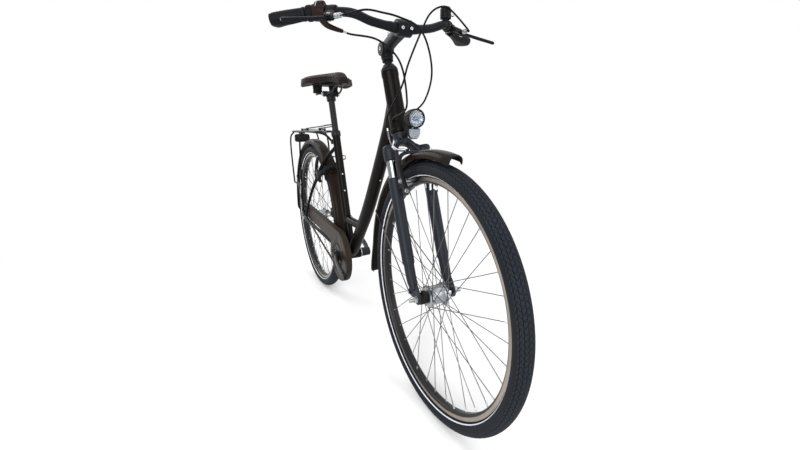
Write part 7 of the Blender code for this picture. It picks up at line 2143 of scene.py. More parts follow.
    def _sprocket(self) -> None:
        """The toothed sprocket on its driver, with a snap ring."""
        shape = Shape()
        near = self.line - self.thickness / 2
        self._holed(
            shape, self._toothed(self.sprocket_teeth), 0.0190, REAR_AXLE - Y * near, -Y * self.thickness,
        )
        profile = [(0.0335, 0.0054), (0.0335, 0.0188), (0.0343, 0.0195), (0.0484, 0.0195), (0.0494, 0.0186)]
        profile += [(0.0494, 0.0054)]
        shape.lathe(profile, REAR_AXLE, -Y, 48, ring=True)
        shape.lathe([(0.0466, 0.0190), (0.0466, 0.0203), (0.0476, 0.0203), (0.0476, 0.0190)], REAR_AXLE, -Y, 48,
                    ring=True)
        settle(shape.build("sprocket_surface", STEEL, angle=30), "sprocket", "steel", "sprocket")

    def _chain_path(self) -> tuple[list[Vector], int]:
        """The chain's pitch line and its number of links."""
        big, small = self._radius(self.ring_teeth), self._radius(self.sprocket_teeth)
        between = REAR_AXLE - BRACKET
        lean = math.atan2(between.z, between.x)
        spread = math.acos((big - small) / between.length)
        upper, lower = lean - spread, lean + spread
        across = -Y * self.line
        path: list[Vector] = []
        start, end = polar(BRACKET, big, upper), polar(REAR_AXLE, small, upper)
        path += [start.lerp(end, k / 40) + across for k in range(40)]
        path += [polar(REAR_AXLE, small, upper + (lower - upper) * k / 60) + across for k in range(60)]
        start, end = polar(REAR_AXLE, small, lower), polar(BRACKET, big, lower)
        path += [start.lerp(end, k / 40) + across for k in range(40)]
        sweep = upper + 2 * math.pi - lower
        path += [polar(BRACKET, big, lower + sweep * k / 120) + across for k in range(120)]
        length = sum((path[(k + 1) % len(path)] - path[k]).length for k in range(len(path)))
        return path, 2 * round(length / self.pitch / 2)

    def _link(self, name: str, wide: bool) -> bpy.types.Object:
        """One link round the origin along +X: two waisted plates, and on the narrow one its two rollers."""
        shape = Shape()
        half = self.pitch / 2
        side = 0.00262 if wide else 0.00192
        outline = []
        for k in range(20):
            turn = 2 * math.pi * (k + 0.5) / 20
            end = half if math.cos(turn) > 0 else -half
            outline.append((end + 0.0040 * math.cos(turn), 0.0040 * math.sin(turn)))
        outline.insert(5, (0.0, 0.0030))
        outline.insert(16, (0.0, -0.0030))
        for sign in (-1, 1):
            shape.prism(outline, Y * sign * (side - 0.0004), (1, 0, 0), Z, Y * sign * 0.0008)
        for end in (-half, half):
            centre = Vector((end, 0, 0))
            if wide:
                shape.rod(centre - Y * 0.0034, centre + Y * 0.0034, 0.0016, 10)
            else:
                shape.rod(centre - Y * 0.0015, centre + Y * 0.0015, 0.0034, 12)
        return shape.build(name, CHAIN_STEEL, angle=30)

    def _chain(self) -> None:
        """Narrow and wide links in turn, round the whole loop."""
        path, links = self._chain_path()
        for name, wide in (("chain_inner_links", False), ("chain_outer_links", True)):
            shifted = self._shifted(path, self.pitch if wide else 0.0)
            form = self._link(name + "_form", wide)
            piece = Repeats.along(name, form, shifted, links // 2, CHAIN_STEEL)
            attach(piece, "frame")
        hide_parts("chain")

    @staticmethod
    def _shifted(path: Sequence[Vector], by: float) -> list[Vector]:
        """The same closed path, begun a length further on."""
        if by <= 0:
            return list(path)
        run = 0.0
        for k in range(len(path)):
            step = (path[(k + 1) % len(path)] - path[k]).length
            if run + step >= by:
                point = path[k].lerp(path[(k + 1) % len(path)], (by - run) / step)
                return [point] + list(path[k + 1 :]) + list(path[: k + 1])
            run += step
        return list(path)

    def _guard(self) -> None:
        """The chain guard: a slotted disc with a tail, its edge wall, ribs at the tail's end and rivets."""
        shape = Shape()
        outer = BRACKET - Y * self.guard_outer
        end_x = -0.483 - 0.0460
        high, low = 0.066 + 0.0640, 0.066 + 0.0125
        reach = math.hypot(end_x, high)
        top_turn = math.atan2(high, end_x) - math.acos(self.guard_radius / reach)
        low_turn = math.radians(156)
        count = 90
        turns = [low_turn + (top_turn + 2 * math.pi - low_turn) * k / count for k in range(count + 1)]
        radius = self.guard_radius - 0.0002
        outline = [(end_x + 0.0010, low)] + [(radius * math.cos(t), radius * math.sin(t)) for t in turns]
        outline += [(end_x + 0.0030, high - 0.0002), (end_x + 0.0004, high - 0.0028), (end_x, low + 0.0028)]
        shape.prism(outline, outer, (1, 0, 0), Z, Y * self.guard_wall)
        plate = shape.build("chain_guard_plate", GUARD, PLASTIC, BOLT, angle=30)
        self._cut_slots(plate, outer)
        settle(plate, "frame", "guard_brown", "chain_guard")

        wall = Shape()
        start = math.radians(250)
        turns = [start + (top_turn + 2 * math.pi - start) * k / 60 for k in range(61)]
        thin = self.guard_radius - self.guard_wall
        rim = [(self.guard_radius * math.cos(t), self.guard_radius * math.sin(t)) for t in turns]
        rim += [(end_x + 0.003, high), (end_x, high - 0.003), (end_x, low)]
        inner = [(thin * math.cos(t), thin * math.sin(t)) for t in turns]
        inner += [(end_x + 0.0035, high - 0.0018), (end_x + 0.0018, high - 0.0035), (end_x + 0.0018, low)]
        depth = self.guard_outer - self.guard_inner
        base = outer - Y * 0.0003
        rings = []
        for (rim_x, rim_z), (in_x, in_z) in zip(rim, inner):
            corners = [(rim_x, rim_z, 0.0007), (rim_x, rim_z, depth), (in_x, in_z, depth), (in_x, in_z, 0.0)]
            corners.append((in_x + (rim_x - in_x) * 0.6, in_z + (rim_z - in_z) * 0.6, 0.0))
            rings.append([base + Vector((x, y, z)) for x, z, y in corners])
        wall.loft(rings)
        back = BRACKET - Y * (self.guard_inner + 0.0024)
        wall.lathe(
            [(0, 0.0214), (0, 0.0310), (0.0024, 0.0310), (0.0024, 0.0214)], back, Y, 48, ring=True, mark=1,
        )
        for degrees in (60, -50):
            t = math.radians(degrees)
            outward = heading(t)
            box = [(0.028, -0.008), (thin + 0.0006, -0.008), (thin + 0.0006, 0.008), (0.028, 0.008)]
            wall.prism(box, back + Y * 0.0002, outward, Y.cross(outward), Y * 0.0020, mark=1)
        for k in range(9):
            x = end_x + 0.008 + 0.0055 * k
            ridge = outer + Vector((x, -0.0002, (low + high) / 2))
            half = (high - low) / 2 - 0.008
            wall.tube([ridge - Z * half, ridge + Z * half], 0.0011, 8, mark=1)
        for x, z in (
            (end_x + 0.0700, high - 0.012), (end_x + 0.0700, low + 0.012), (end_x + 0.0030, (low + high) / 2),
        ):
            wall.cap_screw(outer + Vector((x, 0.0004, z)), -Y, 0.0036, 0.0012, mark=2)
        for degrees in (32, 92, 152, 212, 272, 332):
            place = polar(outer, 0.0480, math.radians(degrees), 0.0004)
            wall.rod(place, place - Y * 0.0010, 0.0026, 16, mark=1)
        piece = wall.build("chain_guard_wall", GUARD, PLASTIC, BOLT, angle=30)
        settle(piece, "frame", "guard_brown")

    @staticmethod
    def _cut_slots(plate: bpy.types.Object, outer: Vector) -> None:
        """Cuts the middle hole and the six curved slots through the plate."""
        cutter = Shape()
        cutter.rod(outer - Y * 0.01, outer + Y * 0.006, 0.0220, 64, edge=0.00001)
        for degrees in (122, 183, 244, 305, 6, 64):
            turns = [math.radians(degrees - 21 + 42 * k / 12) for k in range(13)]
            slot = circle(0.0455, turns) + circle(0.0510, turns[::-1])
            cutter.prism(slot, outer - Y * 0.01, (1, 0, 0), Z, Y * 0.016)
        cut_away(plate, GUARD, cutter)


@dataclass
class Mudguards:
    """Both mudguards with a rolled edge, and their wire stays."""

    half_width: float = 0.027
    depth: float = 0.021
    wall: float = 0.0015
    wire: float = 0.0017
    rear_radius: float = 0.385
    front_radius: float = 0.382
    front_arc: tuple[int, int] = (76, 188)
    flap: float = 0.030

    def build(self) -> None:
        """Builds the front and rear mudguards."""
        self._rear()
        self._front()

    def _shell(
        self, shape: Shape, axle: Vector, radius: float, start: float, end: float, flare: float,
    ) -> None:
        """A curved shell with an arched section and a small rolled edge."""
        segments = int(abs(end - start) / 1.5)
        rings = []
        for k in range(segments + 1):
            share = k / segments
            turn = math.radians(start + (end - start) * share)
            lift = flare * max(0.0, (share - 0.84) / 0.16) ** 1.5
            tip = min(1.0, min(share, 1 - share) * segments / 3)
            shrink = 1 - (1 - math.sqrt(max(0.0, 1 - (1 - tip) ** 2))) * 0.35
            half = []
            for j in range(11):
                t = math.pi / 2 * j / 10
                side = self.half_width * math.sin(t) ** 0.82
                drop = self.depth * (1 - math.cos(t) ** 0.62)
                half.append((side * shrink, radius + lift - drop))
            half[-1] = (self.half_width * shrink, radius + lift - self.depth)
            outside = [(-side, r) for side, r in reversed(half[1:])] + half
            ring = list(outside)
            rolled = (self.half_width - 0.0016) * shrink
            ring += [(rolled, radius + lift - self.depth + 0.0002)]
            inside = []
            for side, r in half[:-1]:
                inside.append((side * (1 - self.wall / self.half_width), r - self.wall))
            ring += list(reversed(inside)) + [(-side, r) for side, r in inside[1:]]
            ring += [(-rolled, radius + lift - self.depth + 0.0002)]
            rings.append([polar(axle, r, turn, side) for side, r in ring])
        shape.loft(rings)

    def _wrap(self, axle: Vector, radius: float, degrees: float, foot: Vector) -> list[Vector]:
        """The path of a wire stay from one dropout round the back of a mudguard to the other."""
        clear = self.wire + GAP * 1.5
        turn = math.radians(degrees)
        half = [(self.half_width + clear, radius - self.depth + offset) for offset in (-0.020, 0.002)]
        half += [(self.half_width - 0.0022 + clear, radius - 0.0120 + clear * 0.4)]
        half += [(self.half_width - 0.0090 + clear, radius - 0.0056 + clear * 0.9)]
        path = [foot, *[polar(axle, r, turn, -side) for side, r in half]]
        path.append(polar(axle, radius + clear * 1.15, turn))
        path += [polar(axle, r, turn, side) for side, r in reversed(half)]
        return path + [Vector((foot.x, -foot.y, foot.z))]

    def _stays(
        self, name: str, body: str, axle: Vector, radius: float, foot: Vector, eye: Vector, caps: bool,
    ) -> None:
        """A wire stay with its eyes and screws at the dropouts."""
        shape = Shape()
        path = self._wrap(axle, radius, 152, foot)
        shape.tube([path[0], *smooth_path(path[1:-1], 4), path[-1]], self.wire, 12)
        for sign in (-1, 1):
            centre = Vector((eye.x, sign * abs(eye.y), eye.z))
            shape.rod(centre, centre + Y * sign * 0.0052, 0.0049, 20)
            shape.cap_screw(centre + Y * sign * 0.0046, Y * sign, 0.0036, 0.0014, mark=1)
            if caps:
                ends = [path[0].lerp(path[1], 0.86), path[0].lerp(path[1], 1.0)]
                low, high = (Vector((p.x, sign * abs(p.y), p.z)) for p in ends)
                shape.rod(low, high, 0.0030, 16, mark=2)
        piece = shape.build(name + "_surface", STEEL, BOLT, PLASTIC)
        settle(piece, body, "steel", name)

    def _rear(self) -> None:
        """The rear shell with its bolt at the bridge, and its stays."""
        shape = Shape()
        self._shell(shape, REAR_AXLE, self.rear_radius, -5.3, 184, 0.0)
        start = polar(REAR_AXLE, 0.3835, BRIDGE_TURN)
        end = polar(REAR_AXLE, BRIDGE.length - 0.0053, BRIDGE_TURN)
        shape.rod(start, end, 0.0049, 20, mark=1)
        settle(
            shape.build("rear_fender_surface", MUDGUARD, BOLT, angle=40), "frame", "frame_brown",
            "rear_fender",
        )
        foot, eye = rear(-0.0145, -0.0738, 0.0140), rear(-0.0145, 0.0713, 0.0140)
        self._stays("rear_fender_stays", "frame", REAR_AXLE, self.rear_radius, foot, eye, False)

    def _edging(self, shape: Shape, start: float, end: float) -> None:
        """A rubber edging over one end of the front shell, between two angles."""
        first, last = self.front_arc
        rings = []
        for k in range(4):
            turn = start + (end - start) * k / 3
            share = (turn - first) / (last - first)
            lift = self.flap * max(0.0, (share - 0.84) / 0.16) ** 1.5
            tip = min(1.0, min(share, 1 - share) * 74 / 3)
            shrink = 1 - (1 - math.sqrt(max(0.0, 1 - (1 - tip) ** 2))) * 0.35
            around = []
            for j in range(-10, 11):
                t = math.pi / 2 * abs(j) / 10
                side = math.copysign(self.half_width * math.sin(t) ** 0.82 * shrink, j)
                around.append((side, self.front_radius + lift - self.depth * (1 - math.cos(t) ** 0.62)))
            outer = [(side * 1.022, radius + 0.0006) for side, radius in around]
            inner = [(side * 0.925, radius - 0.0022) for side, radius in reversed(around)]
            rings.append([polar(FRONT_AXLE, radius, math.radians(turn), side) for side, radius in outer + inner])
        shape.loft(rings, mark=2)

    def _front(self) -> None:
        """The front shell with its flap and bolt, and its stays."""
        shape = Shape()
        self._shell(shape, FRONT_AXLE, self.front_radius, *self.front_arc, self.flap)
        place = FRONT_AXLE + STEER_AHEAD * 0.0068
        shape.rod(place + STEER_UP * 0.3808, place + STEER_UP * 0.3842, 0.0058, 20, mark=1)
        first, last = self.front_arc
        for start, end in ((first, first + 2.4), (last - 2.4, last)):
            self._edging(shape, start, end)
        piece = shape.build("front_fender_surface", MUDGUARD, BOLT, SPRING_RUBBER, angle=40)
        settle(piece, "fork_slider", "frame_brown", "front_fender")
        foot, eye = fork(0.0200, -0.0340, -0.0588), fork(0.0200, -0.0340, 0.0563)
        self._stays("front_fender_stays", "fork_slider", FRONT_AXLE, self.front_radius, foot, eye, True)


@dataclass
class Carrier:
    """The rack over the rear wheel, its sprung clip and the rear lamp."""

    level: float = 0.4200
    half: float = 0.0550

    def build(self) -> None:
        """Builds the rack, the clip and the lamp."""
        self._rack()
        self._clip()
        self._lamp()

    @staticmethod
    def _fitting() -> Vector:
        """Where the platform meets the seat tube."""
        return on_seat_tube(0.466, -0.0162) + Vector((-0.012, 0, 0))

    def _pin(self) -> Vector:
        """The middle of the pin that the clip turns on."""
        return rear(0.0030, 0, self.level + 0.0110)

    def _hoop(self) -> list[Vector]:
        """The platform's outline from the seat tube round the back."""
        start = self._fitting()
        level, half = self.level, self.half
        points = [start + Y * -0.010, rear(0.2750, -0.026, level - 0.010), rear(0.1900, -half, level)]
        points += [
            rear(-0.0500, -half, level), rear(-0.2000, -half, level), rear(-0.2380, -half * 0.72, level),
        ]
        points.append(rear(-0.2480, 0, level))
        return there_and_back(smooth_path(points, 8))

    def _rack(self) -> None:
        """Platform hoop, cross bars, legs to the dropouts, side hoops and the clip's pin."""
        shape = Shape()
        level, half = self.level, self.half
        shape.tube(self._hoop(), 0.0048, 18)
        start = self._fitting()
        shape.block(
            start + Vector((-0.0004, 0, 0)), (0.0230, 0.0290, 0.0170), SEAT_AHEAD, SEAT_UP, 0.35, mark=2,
        )
        for ahead in (0.150, 0.010, -0.110):
            bar = rear(ahead, 0, level - 0.001)
            shape.rod(bar - Y * half, bar + Y * half, 0.0039, 18)
        shape.rod(rear(0.235, 0, level - 0.002), rear(-0.2440, 0, level - 0.001), 0.0034, 18)
        outside = 0.0713
        for sign in (-1, 1):
            eye = rear(-0.0040, sign * outside, 0.0300)
            foot = eye + Y * sign * 0.0045
            leg = [rear(-0.0100, sign * half, level - 0.001), rear(0.0000, sign * 0.0700, level - 0.060)]
            leg += [foot + Z * 0.030, foot]
            shape.tube(smooth_path(leg, 10), 0.0040, 18)
            shape.rod(eye, eye + Y * sign * 0.0080, 0.0064, 24)
            shape.cap_screw(eye + Y * sign * 0.0072, Y * sign, 0.0046, 0.0018, mark=1)
            low = rear(0.0020, sign * 0.0765, 0.1650)
            side_path = [rear(-0.1750, sign * half, level), rear(-0.1900, sign * 0.0730, level - 0.045)]
            side_path += [rear(-0.1400, sign * 0.0800, 0.1900), rear(-0.1150, sign * 0.0800, 0.1650), low]
            shape.tube(smooth_path(side_path, 8), 0.0038, 18)
            shape.block(rear(0.0030, sign * half, level + 0.006), (0.0100, 0.0070, 0.0180), power=0.5)
        pin = self._pin()
        shape.rod(pin - Y * half, pin + Y * half, 0.0029, 18, mark=1)
        shape.block(rear(-0.2470, 0, level - 0.006), (0.0060, 0.0340, 0.0110), power=0.4)
        settle(shape.build("rack_surface", FRAME_PAINT, BOLT, MUDGUARD), "frame", "frame_black", "rack")

    def _clip(self) -> None:
        """The wire hoop with its eyes and a coiled spring round each end of the pin."""
        shape = Shape()
        pin = self._pin()
        points = [pin + Vector((0.004, -0.0300, 0.0040)), rear(0.060, -0.0320, self.level + 0.0170)]
        points += [rear(0.240, -0.0280, self.level + 0.0230), rear(0.292, -0.0200, self.level + 0.0270)]
        points += [rear(0.306, 0, self.level + 0.0290)]
        shape.tube(there_and_back(smooth_path(points, 8)), 0.0025, 16)
        for side in (-0.030, 0.030):
            shape.lathe([(-0.005, 0.0034), (-0.005, 0.0058), (-0.0044, 0.0062), (0.0044, 0.0062), (0.005, 0.0058),
                         (0.005, 0.0034)], pin + Y * side, Y, 28, ring=True)
        for sign in (-1, 1):
            coil = []
            for k in range(85):
                turn = 2 * math.pi * k / 12
                coil.append(polar(pin, 0.0046, turn, sign * (0.0362 + 0.0148 * k / 84)))
            shape.tube(coil, 0.0008, 6, mark=1)
        settle(shape.build("rack_clip_surface", FRAME_PAINT, BOLT), "rack_clip", "frame_black", "rack_clip")

    def _lamp(self) -> None:
        """The rear lamp: a dark shell, a red lens with a reflector field, and its fixing bolts."""
        shape = Shape()
        top = self.level - 0.0118
        stations = [(-0.2302, 0.0270, 0.032), (-0.2320, 0.0310, 0.0370), (-0.2400, 0.0388, 0.0418)]
        stations += [(-0.2478, 0.0396, 0.0430)]
        self._boxed(shape, stations, top, 0)
        self._boxed(shape, [(-0.2480, 0.0384, 0.0418), (-0.2560, 0.0380, 0.0412), (-0.2602, 0.0362, 0.0386),
                            (-0.2618, 0.0320, 0.0340)], top, 1)
        for row in range(4):
            for column in range(7):
                place = rear(-0.2616, -0.0210 + 0.0070 * column, top - 0.0120 - 0.0072 * row)
                shape.rod(place, place - Vector((0.0004, 0, 0)), 0.0031, 6, 0.0012, mark=1)
        shape.block(rear(-0.2470, 0, top - 0.004), (0.0080, 0.0300, 0.0080), power=0.4)
        for sign in (-1, 1):
            shape.nut(rear(-0.2440, sign * 0.0105, top - 0.0002), Z, 0.0028, 0.0001, mark=2)
            shape.cap_screw(rear(-0.2400, sign * 0.0392, top - 0.0230), Y * sign, 0.0030, 0.0008, mark=2)
        piece = shape.build("rear_lamp_surface", PLASTIC, LAMP_RED, BOLT, angle=34)
        settle(piece, "frame", "red_lens", "rear_lamp")

    @staticmethod
    def _boxed(shape: Shape, stations: Sequence[tuple[float, float, float]], top: float, mark: int) -> None:
        """A squarish body through sections of (ahead, half width, height)."""
        rings = []
        for ahead, half_side, height in stations:
            ring = []
            for c, s in rounded(40, 0.4):
                ring.append(rear(ahead, half_side * c, top - 0.0230 + height / 2 * s))
            rings.append(ring)
        shape.loft(rings, mark=mark)


@dataclass
class Brakes:
    """Four brake arms with pads and holders, each wheel's noodle with its boot, and the return springs."""

    boss_radius: float = BOSS_RADIUS
    track_radius: float = 0.3104

    def build(self) -> None:
        """Builds both brakes."""
        for wheel in ("front", "rear"):
            for suffix, sign in (("left", 1), ("right", -1)):
                self._arm(wheel, suffix, sign)

    @staticmethod
    def frame_of(wheel: str) -> tuple[Vector, Vector, Vector, float]:
        """The axle, the radial and the forward direction of a brake, and how far forward its arms are."""
        if wheel == "front":
            return FRONT_AXLE, STEER_UP, STEER_AHEAD, 0.0185
        forward = Vector((-math.sin(BRAKE_TURN), 0, math.cos(BRAKE_TURN)))
        return REAR_AXLE, heading(BRAKE_TURN), forward, 0.0

    @classmethod
    def noodle(cls, wheel: str, steps: int = 8) -> list[Vector]:
        """The bent guide pipe's centre line, from above the rim out to where its cable begins."""
        axle, up, ahead, middle = cls.frame_of(wheel)
        bends = [(0.0150, 0, 0), (0.0300, 0, 0), (0.0500, 0.0020, 0), (0.0610, 0.0130, 0)]
        bends += [(0.0655, 0.0290, 0), (0.0660, 0.0510, 0)]
        if wheel == "rear":
            bends[3:] = [(0.0620, 0.0070, -0.004), (0.0660, 0.0150, -0.016), (0.0600, 0.0210, -0.034)]
        sign = -1 if wheel == "front" else 1
        points = [
            axle + up * (0.3930 + rise) + Y * sign * side + ahead * (middle + on) for side, rise, on in bends
        ]
        return smooth_path(points, steps)

    def _arm(self, wheel: str, suffix: str, sign: int) -> None:
        """One arm with its pad, post, washers and either the noodle or the cable anchor."""
        axle, up, ahead, middle = self.frame_of(wheel)

        def at(side: float, radius: float, forward: float = 0.0) -> Vector:
            """A point out to this arm's side, up from the axle and forward of the arm's middle."""
            return axle + up * radius + Y * (sign * side) + ahead * (middle + forward)

        shape = Shape()
        stations = [
            (0.0445, self.boss_radius - 0.0105, 0.0060, 0.0048), (0.0440, self.boss_radius, 0.0089, 0.0054),
        ]
        stations += [(0.0470, 0.3080, 0.0079, 0.0054), (0.0520, 0.3480, 0.0065, 0.0050)]
        stations += [(0.0520, 0.3830, 0.0054, 0.0045), (0.0500, 0.3938, 0.0042, 0.0038)]

        def corner(c: float, s: float, side: float, radius: float, wide: float, thick: float) -> Vector:
            """A corner of the arm."""
            return at(side + wide * c, radius, thick * s)

        shape.sweep(stations, 7, 24, 0.55, corner)
        face = 0.0125 + 0.0033
        pad = at(face + 0.0036, self.track_radius)
        shape.block(pad, (0.0500, 0.0068, 0.0088), ahead, up, 0.35, mark=1)
        shape.block(at(face + 0.0082, self.track_radius), (0.0440, 0.0034, 0.0078), ahead, up, 0.35, mark=2)
        for k in range(3):
            groove = at(face + 0.0012, self.track_radius, -0.0125 + 0.0125 * k)
            shape.block(groove, (0.0012, 0.0020, 0.0090), ahead, up, 0.3, mark=2)
        post = self.track_radius
        shape.rod(at(face + 0.0085, post), at(0.0596, post), 0.0034, 20, mark=3)
        for near, far, radius in ((0.0388, 0.0400, 0.0066), (0.0540, 0.0556, 0.0066)):
            shape.rod(at(near, post), at(far, post), radius, 28, mark=3)
        shape.nut(at(0.0556, post), Y * sign, 0.0052, 0.0034, mark=3)
        if (wheel, sign) in (("front", -1), ("rear", 1)):
            path = self.noodle(wheel)
            shape.tube(path, 0.0021, 20, mark=2)
            cut = 9 if wheel == "front" else 5
            shape.tube(path[-cut:], [0.0024] + [0.0031] * (cut - 1), 20, mark=2)
            shape.tube(path[6:25], [0.0032] + [0.0042] * 17 + [0.0032], 20, mark=3)
            first = path[0]
            along = (path[1] - path[0]).normalized()
            shape.rod(first, first + along * 0.0060, 0.0034, 20, mark=1)
        else:
            anchor = at(0.0500, 0.3910)
            shape.cap_screw(anchor + ahead * 0.0044, ahead, 0.0039, 0.0040, mark=3)
        spring = []
        for k in range(12):
            share = k / 11
            side = 0.0440 + 0.0110 * math.sin(math.pi * share) * 0.45
            spring.append(at(side, self.boss_radius + 0.006 + 0.055 * share, -0.0062))
        shape.tube(spring, 0.0008, 8, mark=3)
        shape.cap_screw(at(0.0508, self.boss_radius - 0.003), Y * sign, 0.0024, 0.0014, mark=3)
        name = f"{wheel}_brake_arm_{suffix}"
        piece = shape.build(name + "_surface", CRANK_PAINT, SPRING_RUBBER, STEEL, BOLT)
        settle(piece, f"{wheel}_arm_{suffix}", "silver", name)


@dataclass
class Lights:
    """The headlight with its mirror and lens, and the front reflector below it."""

    def build(self) -> None:
        """Builds the lamp and the reflector."""
        shape = Shape()
        centre = front(-0.1050, 0, 0.4580)
        aim = Vector((1, 0, -0.06)).normalized()
        profile = [(-0.0360, 0), (-0.0360, 0.0100), (-0.0350, 0.0118), (-0.0280, 0.0184), (-0.0200, 0.0214)]
        profile += [(-0.0100, 0.0234), (0.0000, 0.0245), (0.0108, 0.0250), (0.0120, 0.0246), (0.0120, 0.0228)]
        profile += [(0.0108, 0.0224), (0.0040, 0.0220), (0.0040, 0)]
        shape.lathe(profile, centre, aim, 64)
        for inner, outer, low, high, count in (
            (0.0150, 0.0216, 0.0043, 0.0066, 15), (0.0080, 0.0148, 0.0042, 0.0058, 11),
        ):
            for k in range(count):
                turns = [2 * math.pi * (k + share) / count for share in (0.04, 0.96)]
                side = aim.cross(Y).normalized()
                corners = []
                for radius, along in ((inner, low), (outer, high)):
                    for turn in turns if radius == inner else turns[::-1]:
                        out = Y * math.cos(turn) + side * math.sin(turn)
                        corners.append(centre + aim * along + out * radius)
                middle = sum(corners, Vector()) / 4 + aim * 0.0008
                points = corners + [middle, sum(corners, Vector()) / 4 - aim * 0.0004]
                faces = [
                    (0, 1, 4), (1, 2, 4), (2, 3, 4), (3, 0, 4), (1, 0, 5), (2, 1, 5), (3, 2, 5), (0, 3, 5),
                ]
                shape.add(points, faces, mark=1)
        shape.rod(centre + aim * 0.0038, centre + aim * 0.0064, 0.0072, 24, 0.0050)
        shape.rod(centre + aim * 0.0060, centre + aim * 0.0068, 0.0026, 16, mark=4)
        lens = [(0.0080, 0.0219), (0.0086, 0.0206), (0.0100, 0.0150), (0.0108, 0.0080), (0.0110, 0)]
        shape.lathe([(0.0072, 0), (0.0072, 0.0219)] + lens, centre, aim, 64, mark=2)
        for row in range(-2, 3):
            wide = math.sqrt(0.0190**2 - (0.0062 * row) ** 2)
            up = Z * 0.0062 * row
            shape.tube([centre + aim * 0.0094 + up - Y * wide, centre + aim * 0.0106 + up, centre + aim * 0.0094 + up
                        + Y * wide], 0.0009, 8, mark=2)
        foot, foot_top = fork(0.4440, -RAKE + 0.0220), centre - aim * 0.012
        path = smooth_path([foot, foot.lerp(foot_top, 0.5) + aim * 0.004, foot_top], 6)
        shape.tube(path, [0.0073 + 0.0026 * k / 12 for k in range(13)], 24)
        shape.cap_screw(path[5] + Vector((0.0066, 0, 0.001)), Vector((1, 0, 0.2)), 0.0030, 0.0016, mark=3)
        piece = shape.build("headlight_surface", PLASTIC, LAMP_MIRROR, LENS, BOLT, STRIPE, angle=34)
        settle(piece, "steering", "plastic", "headlight")

        shape = Shape()
        middle = front(-0.1080, 0, 0.4183)
        half = [(0.0, 0.0142), (0.0148, 0.0142), (0.0170, 0.0134), (0.0175, 0.0116), (0.0170, 0.0000)]
        half += [(0.0150, -0.0072), (0.0112, -0.0120), (0.0060, -0.0142)]
        outline = half + [(-side, rise) for side, rise in reversed(half[1:])]
        shape.prism(outline, middle + Vector((-0.007, 0, 0)), Y, Z, Vector((0.0066, 0, 0)), 0.0010)
        inner = [(side * 0.90, rise * 0.89) for side, rise in outline]
        shape.prism(inner, middle + Vector((-0.001, 0, 0)), Y, Z, Vector((0.0044, 0, 0)), 0.0008, mark=1)
        for row in range(6):
            for column in range(8):
                side = -0.0147 + 0.0042 * column
                rise = -0.0105 + 0.0042 * row
                if abs(side) < 0.0156 + min(0.0, rise) * 0.66:
                    place = middle + Vector((0.0033, side, rise))
                    shape.rod(place, place + Vector((0.0006, 0, 0)), 0.0020, 6, 0.0008, mark=1)
        shape.rod(middle + Vector((-0.002, 0, 0.008)), middle + Vector((-0.002, 0, 0.0152)), 0.0034, 20)
        piece = shape.build("front_reflector_surface", PLASTIC, REFLECTOR, angle=34)
        settle(piece, "steering", "lens", "front_reflector")


